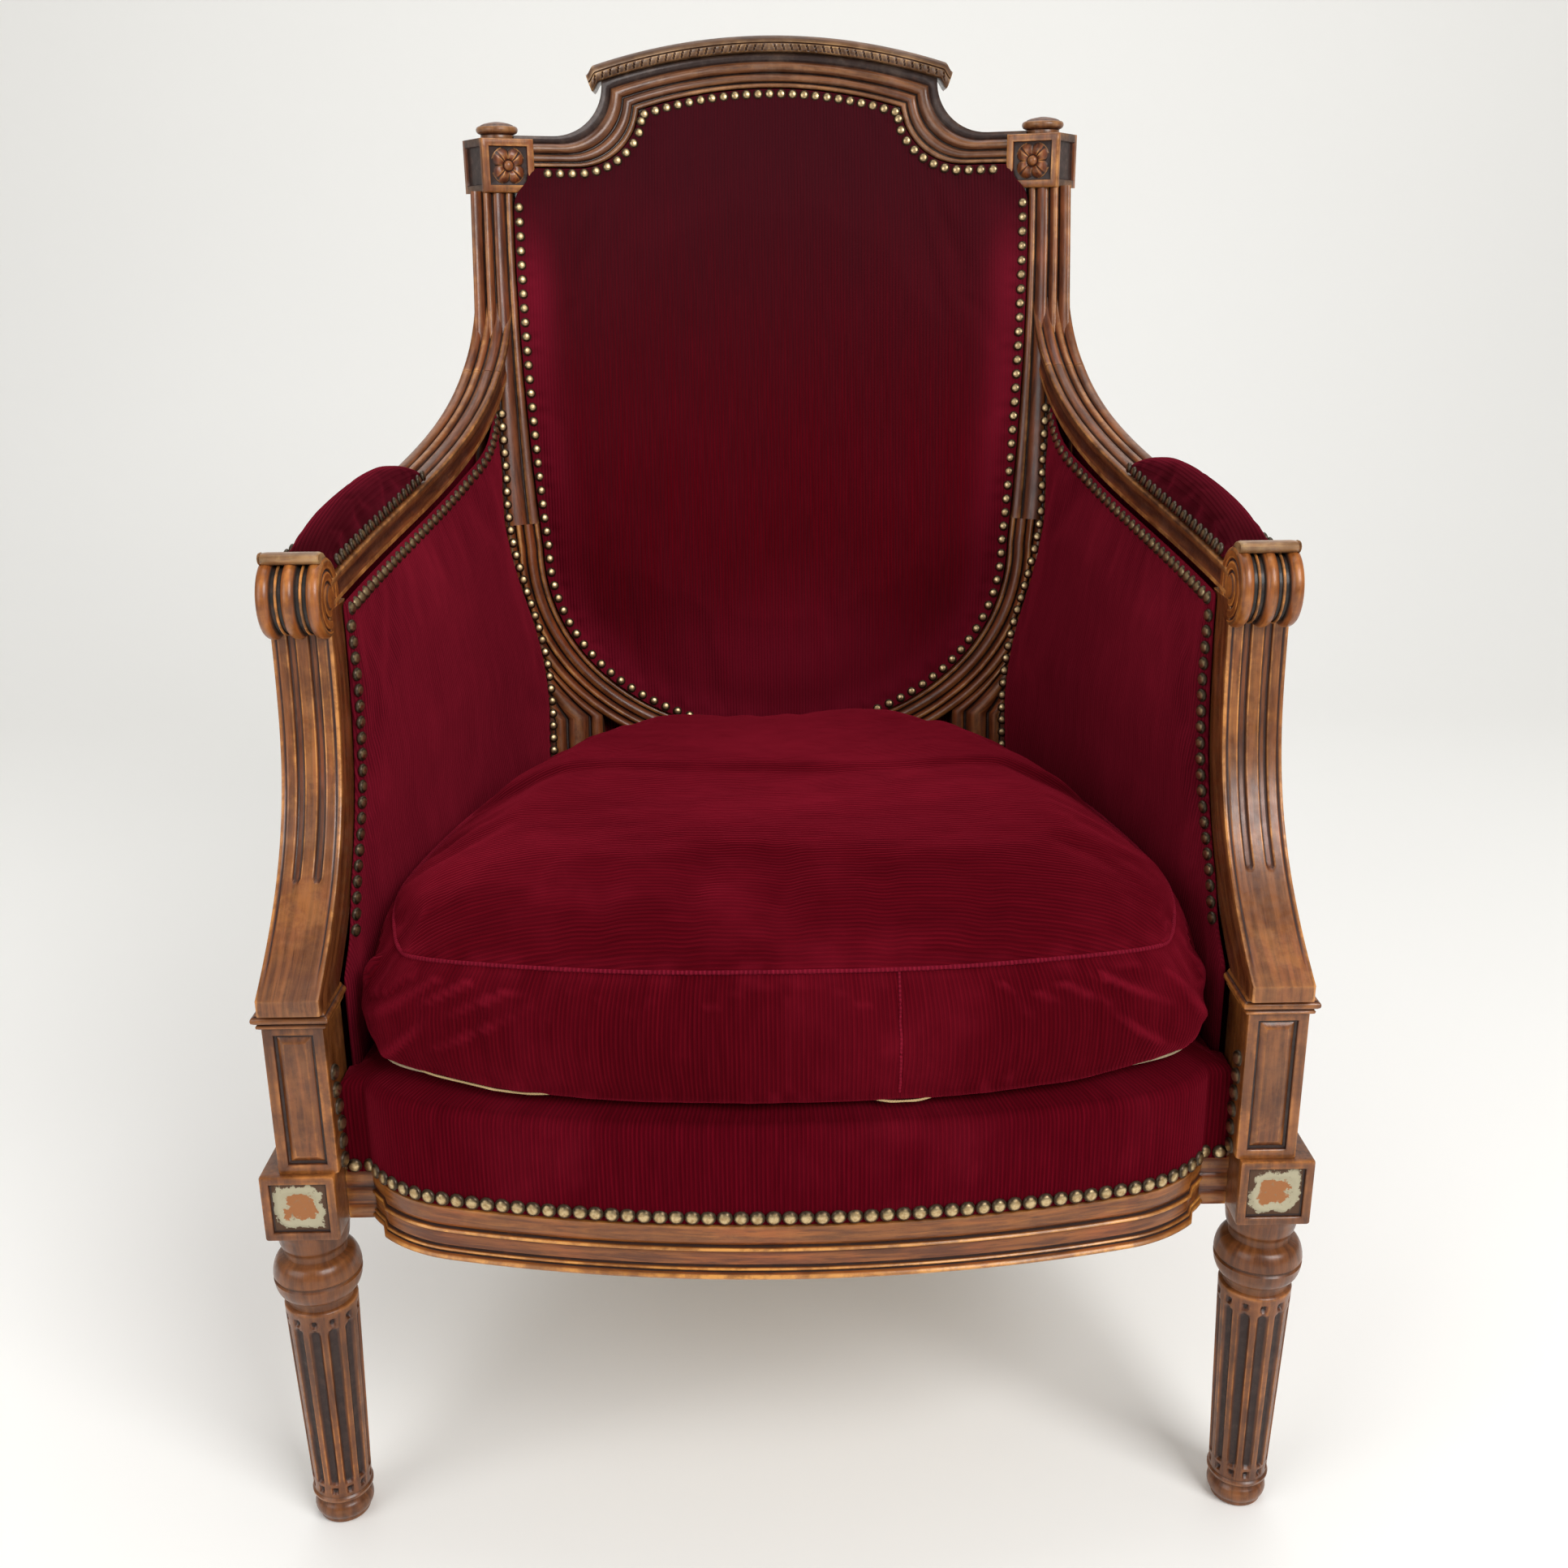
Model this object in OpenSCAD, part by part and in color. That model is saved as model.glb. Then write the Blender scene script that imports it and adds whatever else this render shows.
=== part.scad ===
// Bergere armchair: moulded wooden frame, upholstered back, sides and seat,
// and a loose cushion that lifts off the seat.
// +X is to the right as seen from the front, +Y is to the back, +Z is up.
// Every piece that comes in a pair is drawn for the right side and mirrored.

/* [Overall] */
// Distance between the axes of the two front legs
leg_span = 600; // [580:5:640]
// Height of the underside of the seat rails
rail_bottom_z = 222; // [212:1:232]
// Height of the seat rails and of the leg blocks
rail_h = 45; // [40:1:50]
// Distance from the front leg axis back to the front of the corner blocks
back_reach = 562; // [545:1:580]
// Distance between the two rear legs, axis to axis
rear_span = 356; // [350:1:362]
// Backward lean of the back in degrees
back_rake = 11; // [9:0.5:13]
// How far the back curves backwards in its middle
back_bow = 55; // [45:1:62]

/* [Legs] */
// Width of the square block at the top of a leg
block_w = 46; // [42:1:50]
// Largest radius of the turned bulb under the block
bulb_r = 27.5; // [25:0.5:30]
// Radius of the fluted shaft at its top
shaft_top_r = 23; // [21:0.5:24.5]
// Radius of the fluted shaft at its bottom
shaft_low_r = 18.5; // [16:0.5:20]
// Radius of the foot where it stands on the floor
foot_r = 16.5; // [14:0.5:18]
// Number of flutes round a leg
flute_count = 12; // [8:1:14]
// Radius of the cutter that makes one flute
flute_r = 3.4; // [2.5:0.1:4.2]
// Backward tilt of the rear legs in degrees
rear_tilt = 7; // [0:0.5:9]

/* [Arms] */
// Width of the post that stands on a front block
dado_w = 37; // [34:1:40]
// Height of the underside of the moulded ledge that caps the post
ledge_z = 366; // [358:1:374]
// Thickness of that ledge
ledge_h = 11; // [8:0.5:14]
// Width of the arm support and of the arm at its front
arm_w = 38; // [35:0.5:40]
// Width of the arm where it meets the back post
arm_rear_w = 29; // [26:0.5:31]
// Thickness of the arm at its front
arm_h = 19; // [17:0.5:22]
// Thickness of the arm where it meets the back post
arm_rear_h = 27; // [24:0.5:29]
// Radius of the scroll at the front of the arm
scroll_r = 25; // [22:0.5:27]
// Height of the middle of the scroll
scroll_z = 603; // [595:1:612]

/* [Back] */
// Height of the underside of the corner block of the back
top_block_z = 848; // [840:1:856]
// Height of the corner block of the back
top_block_h = 42.5; // [38:0.5:46]
// Distance from the middle to the centre of a corner block
top_block_x = 230.4; // [227:0.2:234]
// Inward turn of the corner blocks in degrees
top_block_turn = 30; // [24:1:34]
// Width of the moulded hoop round the lower half of the back panel
hoop_w = 28; // [25:0.5:30]
// Depth of the wood of the back from front to rear
wood_d = 32; // [28:1:36]
// Half of the width of the back panel at the top of the hoop
panel_half_w = 202.5; // [200:0.5:205]
// Height of the middle of the hoop
hoop_z = 556; // [550:1:562]
// Distance from the middle of the hoop down to the panel's lowest point
hoop_drop = 173.5; // [168:0.5:178]
// Height of the crown of the back panel above the underside of the corner blocks
panel_rise = 85.5; // [81:0.5:88]
// Height of the underside of the crest cap at its middle
cap_z = 962; // [958:0.5:966]
// Thickness of the crest cap
cap_h = 13.5; // [11:0.5:16]
// Half of the length of the crest cap
cap_half = 153; // [149:1:156]

/* [Upholstery] */
// Height of the front edge of the fixed seat
seat_z = 322; // [316:1:328]
// Height that the fixed seat rises above its edge
seat_crown = 10; // [6:0.5:12]
// Thickness of a side panel at its edge
side_edge_t = 4; // [3:0.5:5]
// How far a side panel swells inwards
side_swell = 8; // [4:0.5:11]
// Thickness of the cloth that closes the outside of back and sides
cover_t = 3; // [2:0.5:4]
// Height of the pad on the arm
arm_pad_h = 22; // [14:1:26]
// How far the back panel swells forwards
back_swell = 14; // [8:1:18]

/* [Cushion] */
// Half of the width of the cushion at its front
cushion_half_w = 262; // [250:1:263]
// Height of the border of the cushion between its seams
cushion_border = 74; // [60:1:84]
// Height of the crown of the cushion above its upper seam
cushion_crown = 27; // [18:1:34]
// How far the border of the cushion swells between its seams
cushion_swell = 6; // [3:0.5:7]

/* [Inside the seat] */
// Width of one webbing strap
strap_w = 50; // [40:1:56]
// Thickness of one webbing strap
strap_t = 2; // [1.5:0.1:3]
// Wire radius of a seat spring
spring_wire_r = 1.8; // [1.5:0.1:2.2]
// Outer radius of a seat spring
spring_r = 34; // [28:1:38]
// Turns of wire in a seat spring
spring_turns = 4; // [3:1:5]
// Clearance between wooden pieces that are fitted together
fit_gap = 0.15; // [0.1:0.05:0.3]
// Clearance between soft pieces and their neighbours
soft_gap = 0.3; // [0.2:0.05:0.5]

/* [Hidden] */
$fn = 48;

wood = "sienna";
velvet = "darkred";
linen = "tan";
steel = "silver";

// Overrun of a cut past the face that it opens
over = 1;

// Relief of the mouldings: depth of the grooves below the highest bead
relief = 4.6;
// Set-back of the wood under the cloth edge of the front rail
rebate = 3.5;
// Height of the cloth edge on the front rail
rebate_h = 10;

rail_top_z = rail_bottom_z + rail_h;
leg_x = leg_span / 2;
rear_x = rear_span / 2;

// Places along Y are counted from the front leg axis, then centred
front_nose = 72;
cap_back = 30;
top_ref_z = top_block_z + top_block_h / 2;
panel_top_z = top_block_z + panel_rise;
rear_most = back_reach + tan(back_rake) * (cap_z + cap_h - top_ref_z) + back_bow + cap_back;
leg_y = -(rear_most - front_nose) / 2;

// Front face of the wood of the back: raked and curved in plan
function back_y(x, z) = leg_y + back_reach + tan(back_rake) * (z - top_ref_z)
    + back_bow * (1 - pow(x / top_block_x, 2));

function lerp(a, b, t) = a + (b - a) * t;
function clamp01(t) = min(1, max(0, t));
function smooth(t) = let(c = clamp01(t)) c * c * (3 - 2 * c);
function bezier(p, t) = pow(1 - t, 3) * p[0] + 3 * pow(1 - t, 2) * t * p[1]
    + 3 * (1 - t) * t * t * p[2] + pow(t, 3) * p[3];
function arc(c, r, a0, a1, n) = [for (i = [0 : n]) let(a = lerp(a0, a1, i / n)) c + r * [cos(a), sin(a)]];

module side(s) {
    mirror([s < 0 ? 1 : 0, 0, 0]) children();
}

// Solid between rings of equal length; the last two points of a ring are its rear corners
module loft(rings) {
    n = len(rings[0]);
    m = len(rings);
    half = floor((n - 2) / 2);
    pts = [for (r = rings) each r];
    skin = [for (k = [0 : m - 2], i = [0 : n - 1]) let(a = k * n + i, b = k * n + (i + 1) % n)
        each [[a, b, a + n], [b, b + n, a + n]]];
    function end(o, flip) = [for (i = [0 : n - 4])
        let(c = i < half ? n - 1 : n - 2, t = [o + i, o + i + 1, o + c])
        flip ? [t[2], t[1], t[0]] : t];
    function wedge(o, flip) = let(t = [o + half, o + n - 2, o + n - 1]) flip ? [t[2], t[1], t[0]] : t;
    o1 = (m - 1) * n;
    polyhedron(pts, concat(skin, end(0, true), [wedge(0, true)], end(o1, false), [wedge(o1, false)]), 10);
}

// Solid between two grids of points that face each other
module slab(outer, inner) {
    m = len(outer);
    n = len(outer[0]);
    size = m * n;
    function at(i, j) = i * n + j;
    pts = concat([for (r = outer) each r], [for (r = inner) each r]);
    faces = [for (i = [0 : m - 2], j = [0 : n - 2])
        let(a = at(i, j), b = at(i + 1, j), c = at(i + 1, j + 1), d = at(i, j + 1))
        each [[a, b, c], [a, c, d], [size + a, size + c, size + b], [size + a, size + d, size + c]]];
    rim = concat([for (i = [0 : m - 1]) at(i, 0)], [for (j = [1 : n - 1]) at(m - 1, j)],
        [for (i = [m - 2 : -1 : 0]) at(i, n - 1)], [for (j = [n - 2 : -1 : 1]) at(0, j)]);
    k = len(rim);
    walls = [for (q = [0 : k - 1]) let(a = rim[q], b = rim[(q + 1) % k])
        each [[b, a, size + a], [b, size + a, size + b]]];
    polyhedron(pts, concat(faces, walls), 10);
}

// Closed solid made of rings round one middle point: first and last rings close on a point
module turned(low, rings, high) {
    n = len(rings[0]);
    m = len(rings);
    pts = concat([for (r = rings) each r], [low, high]);
    skin = [for (k = [0 : m - 2], i = [0 : n - 1]) let(j = (i + 1) % n)
        each [[k * n + i, k * n + n + i, k * n + j], [k * n + j, k * n + n + i, k * n + n + j]]];
    fans = [for (i = [0 : n - 1]) let(j = (i + 1) % n)
        each [[m * n, i, j], [m * n + 1, (m - 1) * n + j, (m - 1) * n + i]]];
    polyhedron(pts, concat(skin, fans), 10);
}

// Shares across a moulded band and shares of the relief, from its inner to its outer edge
band_shares = [[0, 0.9], [0.08, 0.5], [0.16, 0.5], [0.2, 1], [0.33, 0.25], [0.43, 0.25], [0.49, 0.95],
    [0.56, 0.1], [0.66, 0.1], [0.72, 0.95], [0.79, 0.15], [0.91, 0.15], [1, 0.9]];
// The same for the foot of the back post: three reeds and a flat strip for the side panel
stile_shares = [[0, 0.8], [0.04, 0.2], [0.12, 0.2], [0.17, 1], [0.24, 0.1], [0.32, 0], [0.42, 0.1],
    [0.47, 1], [0.52, 0.2], [0.6, 0.2], [0.64, 0.6], [0.82, 0.6], [1, 0.6]];

// Widening of the wooden edge of the back panel from the hoop up to the corner blocks
side_flare = 15.5;
// Height above the middle of the hoop at which it is joined to the back posts
hoop_rise = 21;
hoop_joint_z = hoop_z + hoop_rise;
// Glue line between curved pieces that lie side by side
glue_gap = 0.5;

function inner_x(z) = z >= hoop_z
    ? panel_half_w + side_flare * (1 - pow(1 - (z - hoop_z) / (top_block_z - hoop_z), 2))
    : panel_half_w * sqrt(1 - pow((hoop_z - z) / hoop_drop, 2));
function hoop_outer_x(z) = z >= hoop_z ? inner_x(z) + hoop_w
    : (panel_half_w + hoop_w) * sqrt(max(0, 1 - pow((hoop_z - z) / (hoop_drop + hoop_w), 2)));

// Line along which a side panel is nailed to its back post
stile_low_x = 202;
stile_spread = 35;
stile_low_z = 420;
stile_high_z = 600;
function stile_nail_x(z) =
    stile_low_x + stile_spread * smooth((z - stile_low_z) / (stile_high_z - stile_low_z));

// Ring of a piece of the back, across from point a to point b, both given as [x, z]
function back_ring(a, b, shares, depth, proud = 0) = concat(
    [for (s = shares) let(p = lerp(a, b, s[0])) [p[0], back_y(p[0], p[1]) + relief * s[1] - proud, p[1]]],
    [for (p = [b, a]) [p[0], back_y(p[0], p[1]) + depth, p[1]]]);

// Turned and fluted leg that hangs below its block; heights are shares of the leg's height
foot_top_share = 0.08;
shaft_top_share = 0.757;
bulb_mid_share = 0.845;
bulb_half_share = 0.062;
neck_share = 0.915;
collar_share = 0.935;
// Radii as shares of the bulb
neck_r_share = 0.72;
groove_r_share = 0.78;
foot_bulge = 2;
foot_round = 6;
foot_curve_share = 0.84;
flute_margin = 10;
flute_sink_share = 0.45;

module leg_turning(h) {
    foot_h = h * foot_top_share;
    groove_r = bulb_r * groove_r_share;
    rotate_extrude() polygon(concat(
        [[0, 0], [foot_r, 0]],
        [for (a = [-50 : 20 : 50]) [foot_r + foot_round * (cos(a) - cos(50)),
            foot_h * (1 + foot_curve_share * sin(a)) / 2]],
        [[shaft_low_r - foot_bulge, foot_h], [shaft_low_r, foot_h + foot_bulge],
            [shaft_top_r, h * shaft_top_share - foot_bulge],
                [shaft_top_r - foot_bulge, h * shaft_top_share],
            [groove_r, h * shaft_top_share + foot_bulge]],
        [for (a = [-80 : 20 : 80]) [groove_r + (bulb_r - groove_r) * cos(a),
            h * (bulb_mid_share + bulb_half_share * sin(a))]],
        [[bulb_r * neck_r_share, h * neck_share]],
        [for (a = [0 : 18 : 90]) [lerp(bulb_r * neck_r_share, block_w / 2 - foot_bulge, sin(a)),
            h * (1 - (1 - collar_share) * cos(a))]],
        [[block_w / 2 - foot_bulge, h + over], [0, h + over]]));
}

module flute(h) {
    low = h * foot_top_share + flute_margin;
    high = h * shaft_top_share - flute_margin;
    taper = atan((shaft_top_r - shaft_low_r) / (h * (shaft_top_share - foot_top_share)));
    run = (high - low) / cos(taper);
    translate([shaft_low_r + flute_r * flute_sink_share, 0, low]) rotate([0, taper, 0]) {
        cylinder(r = flute_r, h = run, $fn = 20);
        sphere(r = flute_r, $fn = 20);
        translate([0, 0, run]) sphere(r = flute_r, $fn = 20);
    }
}

module turned_leg(h) {
    difference() {
        leg_turning(h);
        for (i = [0 : flute_count - 1]) rotate([0, 0, 360 * i / flute_count]) flute(h);
    }
}

// Flat tenon that enters a piece along +X, and a round dowel that enters it downwards
tenon_t = 11;
tenon_h = 26;
tenon_len = 14;
dowel_r = 6;
dowel_len = 14;
module tenon(gap = 0) {
    translate([-over, -tenon_t / 2 - gap, -tenon_h / 2 - gap])
        cube([tenon_len + over + gap, tenon_t + gap * 2, tenon_h + gap * 2]);
}
module dowel(gap = 0) {
    translate([0, 0, -dowel_len - gap]) cylinder(r = dowel_r + gap, h = dowel_len + gap + over);
}

// Seat frame in plan: the outer faces of the rails
side_rail_t = 40;
side_rail_bow = 20;
front_rail_t = 32;
rail_set_in = 5;
rail_mid_z = rail_bottom_z + rail_h / 2;
block_proud_share = 0.2;
rear_y = back_y(rear_x, rail_mid_z) + block_w / 2 - wood_d * block_proud_share;
side_front_y = leg_y + block_w / 2 + fit_gap;
side_rear_y = rear_y - block_w / 2 - fit_gap;
front_tenon_in = 4;
front_tenon_y = leg_y + front_tenon_in;
side_tenon_in = 18;
side_front_x = leg_x + block_w / 2 - rail_set_in;
side_rear_x = rear_x + block_w / 2;
function side_rail_x(y) = let(s = (y - side_front_y) / (side_rear_y - side_front_y))
    lerp(side_front_x, side_rear_x, s) + 4 * side_rail_bow * s * (1 - s);

module side_tenons(gap = 0) {
    translate([side_front_x - side_tenon_in, side_front_y, rail_mid_z]) rotate([0, 0, -90]) tenon(gap);
    translate([side_rear_x - side_tenon_in, side_rear_y, rail_mid_z]) rotate([0, 0, 90]) tenon(gap);
}
module front_tenon(gap = 0) {
    translate([leg_x - block_w / 2 - fit_gap, front_tenon_y, rail_mid_z]) tenon(gap);
}
rear_tenon_y = back_y(rear_x, rail_mid_z) + wood_d / 2;
module rear_tenon(gap = 0) {
    translate([rear_x - block_w / 2 - fit_gap, rear_tenon_y, rail_mid_z]) tenon(gap);
}

// Front leg in one piece with its block and its post, capped by a moulded ledge
block_panel_share = 0.76;
panel_d = 2.5;
dado_inset = 4;
dado_shift = 7;
dado_d = 41;
dado_margin = 7;
ledge_out = 4.5;
// Layers of the ledge: shares of its overhang, and of its thickness at their foot and in height
ledge_shares = [[0.5, 0, 0.3], [1, 0.3, 0.45], [0.6, 0.75, 0.25]];
dado_x = leg_x - dado_shift;
dado_front_y = leg_y - block_w / 2 + dado_inset;
ledge_top_z = ledge_z + ledge_h;
support_shift = 1.5;
support_x = dado_x - support_shift;
support_dowel_share = 0.6;
support_dowel_y = dado_front_y + dado_d * support_dowel_share;
module support_foot_dowel(gap = 0) {
    translate([support_x, support_dowel_y, ledge_top_z + fit_gap]) dowel(gap);
}

module front_leg() {
    color(wood) difference() {
        union() {
            translate([leg_x, leg_y, 0]) turned_leg(rail_bottom_z);
            translate([leg_x - block_w / 2, leg_y - block_w / 2, rail_bottom_z])
                cube([block_w, block_w, rail_h]);
            translate([dado_x - dado_w / 2, dado_front_y, rail_top_z])
                cube([dado_w, dado_d, ledge_z - rail_top_z + over]);
            for (s = ledge_shares) translate([dado_x - dado_w / 2 - ledge_out * s[0],
                dado_front_y - ledge_out * s[0], ledge_z + ledge_h * s[1]])
                cube([dado_w + ledge_out * s[0] * 2, dado_d + ledge_out * s[0], ledge_h * s[2]]);
        }
        translate([leg_x - block_w * block_panel_share / 2, leg_y - block_w / 2 - over,
            rail_mid_z - block_w * block_panel_share / 2])
            cube([block_w * block_panel_share, panel_d + over, block_w * block_panel_share]);
        translate([dado_x - dado_w / 2 + dado_margin, dado_front_y - over, rail_top_z + dado_margin])
            cube([dado_w - dado_margin * 2, panel_d + over, ledge_z - rail_top_z - dado_margin * 2]);
        support_foot_dowel(fit_gap);
        front_tenon(fit_gap);
        side_tenons(fit_gap);
    }
}

// Scroll at the front of the arm
scroll_run = 80;
scroll_y = leg_y + scroll_run;
reed_d = 3;
scroll_gap = 0.3;
// Shares of the scroll's width and of the depth of its grooves
scroll_shares = [[0, 1], [0.02, 0.35], [0.08, 0.05], [0.16, 0], [0.24, 0.05], [0.3, 0.35],
    [0.32, 1], [0.34, 1],
    [0.36, 0.35], [0.42, 0.05], [0.5, 0], [0.58, 0.05], [0.64, 0.35], [0.66, 1], [0.68, 1],
    [0.7, 0.35], [0.76, 0.05], [0.84, 0], [0.92, 0.05], [0.98, 0.35], [1, 1]];
eye_r_share = 0.28;
eye_d = 1.5;
module scroll_core(r_extra = 0) {
    rotate([0, 90, 0]) cylinder(r = scroll_r + r_extra, h = arm_w + over * 2 + r_extra, center = true);
}
module scroll() {
    rotate([0, 90, 0]) translate([0, 0, -arm_w / 2]) rotate_extrude()
        polygon(concat([[0, 0]], [for (s = scroll_shares) [scroll_r - reed_d * s[1],
            arm_w * s[0]]], [[0, arm_w]]));
    rotate([0, 90, 0]) cylinder(r = scroll_r * eye_r_share, h = arm_w + eye_d * 2, center = true);
}
scroll_dowel_low_share = 1.5;
scroll_dowel_share = 1.3;
module scroll_dowel(gap = 0) {
    translate([support_x, scroll_y + scroll_r / 2, scroll_z - scroll_r * scroll_dowel_low_share])
        cylinder(r = dowel_r + gap, h = scroll_r * scroll_dowel_share + gap);
}

// Arm support: an S-shaped console; both edges are curves of the height
support_d = 40;
support_slope = 6;
rear_slope = 9;
front_run = 100;
rear_run = 87;
toe_h = 10;
front_foot_z = ledge_top_z + toe_h;
support_drop = 8;
support_top_z = scroll_z - support_drop;
support_back = 2;
support_front_top_y = scroll_y - support_back;
flute_depth = 3;
flute_w = 7.5;
flute_gap = 8;
flute_low_z = 440;
flute_high_z = 566;
function support_front_y(z) =
    let(s = clamp01((z - front_foot_z) / (support_top_z - scroll_r - front_foot_z)))
    support_front_top_y - support_slope * (1 - s) - front_run * pow(1 - s, 3);
function support_rear_y(z) = let(s = clamp01((z - ledge_top_z) / (support_top_z - scroll_r - ledge_top_z)))
    support_front_top_y + support_d - rear_slope * (1 - s) - rear_run * pow(1 - s, 3);
function z_steps(a, b, n) = [for (i = [0 : n]) lerp(a, b, i / n)];

module arm_support() {
    edge_z = z_steps(front_foot_z, support_top_z, 20);
    back_z = z_steps(support_top_z, ledge_top_z + fit_gap, 20);
    cut_z = z_steps(flute_low_z, flute_high_z, 12);
    color(wood) union() {
        difference() {
            translate([support_x - arm_w / 2, 0, 0]) rotate([90, 0, 90]) linear_extrude(arm_w)
                polygon(concat([[support_front_y(front_foot_z), ledge_top_z + fit_gap]],
                    [for (z = edge_z) [support_front_y(z), z]], [for (z = back_z) [support_rear_y(z), z]]));
            translate([support_x, scroll_y, scroll_z]) scroll_core(scroll_gap);
            for (k = [-1, 1]) translate([support_x + k * (flute_w + flute_gap) / 2 - flute_w / 2, 0, 0])
                rotate([90, 0, 90]) linear_extrude(flute_w) polygon(concat(
                    [for (z = cut_z) [support_front_y(z) - over, z]],
                    [for (i = [len(cut_z) - 1 : -1 : 0]) [support_front_y(cut_z[i]) + flute_depth,
                        cut_z[i]]]));
        }
        support_foot_dowel();
        scroll_dowel();
    }
}

// Arm: a reeded rail that sweeps back from the scroll and up into the back post
arm_bow = 12;
arm_post_x = 236;
arm_front_run = 87;
arm_front_y = leg_y + arm_front_run;
arm_front_rise = 11;
arm_run = 250;
arm_run_rise = 26;
arm_drop = 115;
arm_top_z = 770;
arm_seam_share = 0.78;
seam_gap_share = 0.001;
arm_relief_share = 0.7;
arm_curve = let(y3 = back_y(arm_post_x, arm_top_z)) [
    [arm_front_y, scroll_z + arm_front_rise],
    [arm_front_y + arm_run, scroll_z + arm_front_rise + arm_run_rise],
    [y3 - arm_drop * tan(back_rake), arm_top_z - arm_drop],
    [y3, arm_top_z]];
arm_turn_share = 0.9;
arm_turn = 2 * back_bow / top_block_x * arm_turn_share;
arm_turn_from = 0.55;
function arm_x(y) = let(s = (y - arm_front_y) / (arm_curve[3][0] - arm_front_y))
    lerp(support_x, arm_post_x, s) + 4 * arm_bow * s * (1 - s);
function arm_width(t) = lerp(arm_w, arm_rear_w, t);
function arm_depth(t) = lerp(arm_h, arm_rear_h, t);
arm_step_share = 0.01;
function arm_dir(t) = let(d =
    bezier(arm_curve, t + arm_step_share) - bezier(arm_curve, t - arm_step_share)) d / norm(d);
function arm_down(t) = let(d = arm_dir(t)) [d[1], -d[0]];
// Point of the arm at share t, dx across and deep below its top face
function arm_point(t, dx, deep) = let(p = bezier(arm_curve, t), q = p + arm_down(t) * deep,
        turn = arm_turn * smooth((t - arm_turn_from) / (1 - arm_turn_from)))
    [arm_x(p[0]) + dx, q[0] - turn * dx, q[1]];
function arm_ring(t, sink = 0) = let(w = arm_width(t)) concat(
    [for (s = band_shares) arm_point(t, w * (s[0] - 1 / 2), relief * s[1] * arm_relief_share + sink)],
    [for (k = [1 / 2, -1 / 2]) arm_point(t, w * k, arm_depth(t) + sink)]);
// Share of the arm at which it passes a place along Y
function arm_share_at(y, a = 0, b = 1, n = 12) = n == 0 ? (a + b) / 2
    : bezier(arm_curve, (a + b) / 2)[0] < y ? arm_share_at(y, (a + b) / 2, b, n - 1)
        : arm_share_at(y, a, (a + b) / 2, n - 1);

lip_t = 5;
lip_d = 17;
module seam_dowel(gap = 0) {
    p = arm_point(arm_seam_share, 0, arm_depth(arm_seam_share) / 2);
    d = arm_dir(arm_seam_share);
    translate(p) rotate([atan2(d[1], d[0]) - 90, 0, 0]) translate([0, 0, -dowel_len - gap])
        cylinder(r = dowel_r + gap, h = dowel_len * 2 + gap);
}
module armrest() {
    color(wood) difference() {
        union() {
            loft([for (i = [14 : -1 : 0]) arm_ring((arm_seam_share - seam_gap_share) * i / 14)]);
            translate([support_x, scroll_y, scroll_z]) scroll();
            translate([support_x - arm_w / 2 + over, scroll_y - lip_d / 2 - lip_t,
                scroll_z + scroll_r - over])
                cube([arm_w - over * 2, lip_d, lip_t]);
        }
        scroll_dowel(fit_gap);
        seam_dowel(fit_gap);
    }
}

// Back post in one piece from the rear foot to the corner block
stile_foot_x = 156;
stile_taper_z = 388;
stile_taper_h = 88;
heel_sink = 5;
foot_trim = 60;
block_recess_margin = 6;
function post_outer_x(z) = z >= arm_top_z ? stile_low_x + stile_spread + top_nail_inset
    : z >= stile_taper_z ? stile_nail_x(z)
        + nail_inset - (nail_inset - top_nail_inset) * smooth((z - hoop_joint_z) / (arm_top_z - hoop_joint_z))
    : lerp(rear_x + block_w / 2, stile_nail_x(z) + nail_inset,
        smooth((z - stile_taper_z + stile_taper_h) / stile_taper_h));
nail_inset = 20;
top_nail_inset = 14;
function post_inner_x(z) =
    max(lerp(rear_x - block_w / 2, stile_foot_x, clamp01((z - rail_top_z) / hoop_rise)),
    z > stile_taper_z ? hoop_outer_x(z) + glue_gap : 0);
function post_ring(z) = z >= hoop_joint_z
    ? back_ring([inner_x(z), z], [post_outer_x(z), z], band_shares, wood_d)
    : back_ring([post_inner_x(z), z], [post_outer_x(z), z], stile_shares, wood_d);
module top_block(gap = 0) {
    translate([top_block_x, back_y(top_block_x, top_ref_z) + block_w / 2 - panel_d, top_block_z - gap])
        rotate([0, 0, -top_block_turn]) translate([-block_w / 2 - gap, -block_w / 2 - gap, 0])
        cube([block_w + gap * 2, block_w + gap * 2, top_block_h + gap * 2]);
}
module in_top_block() {
    translate([top_block_x, back_y(top_block_x, top_ref_z) + block_w / 2 - panel_d, top_block_z])
        rotate([0, 0, -top_block_turn]) children();
}
// Tenon of the crest in the inner side of a corner block
crest_tenon_t = 12;
crest_tenon_h = 14;
crest_tenon_shift = 8;
crest_tenon_z = 32;
crest_root = 5;
module crest_tenon(gap = 0) {
    in_top_block() translate([-block_w / 2 - crest_root, -crest_tenon_shift - crest_tenon_t / 2 - gap,
        crest_tenon_z - crest_tenon_h / 2 - gap])
        cube([tenon_len + crest_root + gap, crest_tenon_t + gap * 2, crest_tenon_h + gap * 2]);
}
module finial_dowel(gap = 0) {
    in_top_block() translate([0, 0, top_block_h + fit_gap]) dowel(gap);
}
hoop_dowel_in = 14;
module hoop_dowel(gap = 0) {
    translate([inner_x(hoop_joint_z) + hoop_dowel_in,
        back_y(inner_x(hoop_joint_z) + hoop_dowel_in, hoop_joint_z)
        + wood_d / 2, hoop_joint_z - dowel_len]) cylinder(r = dowel_r + gap, h = dowel_len * 2 + gap);
}

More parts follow.
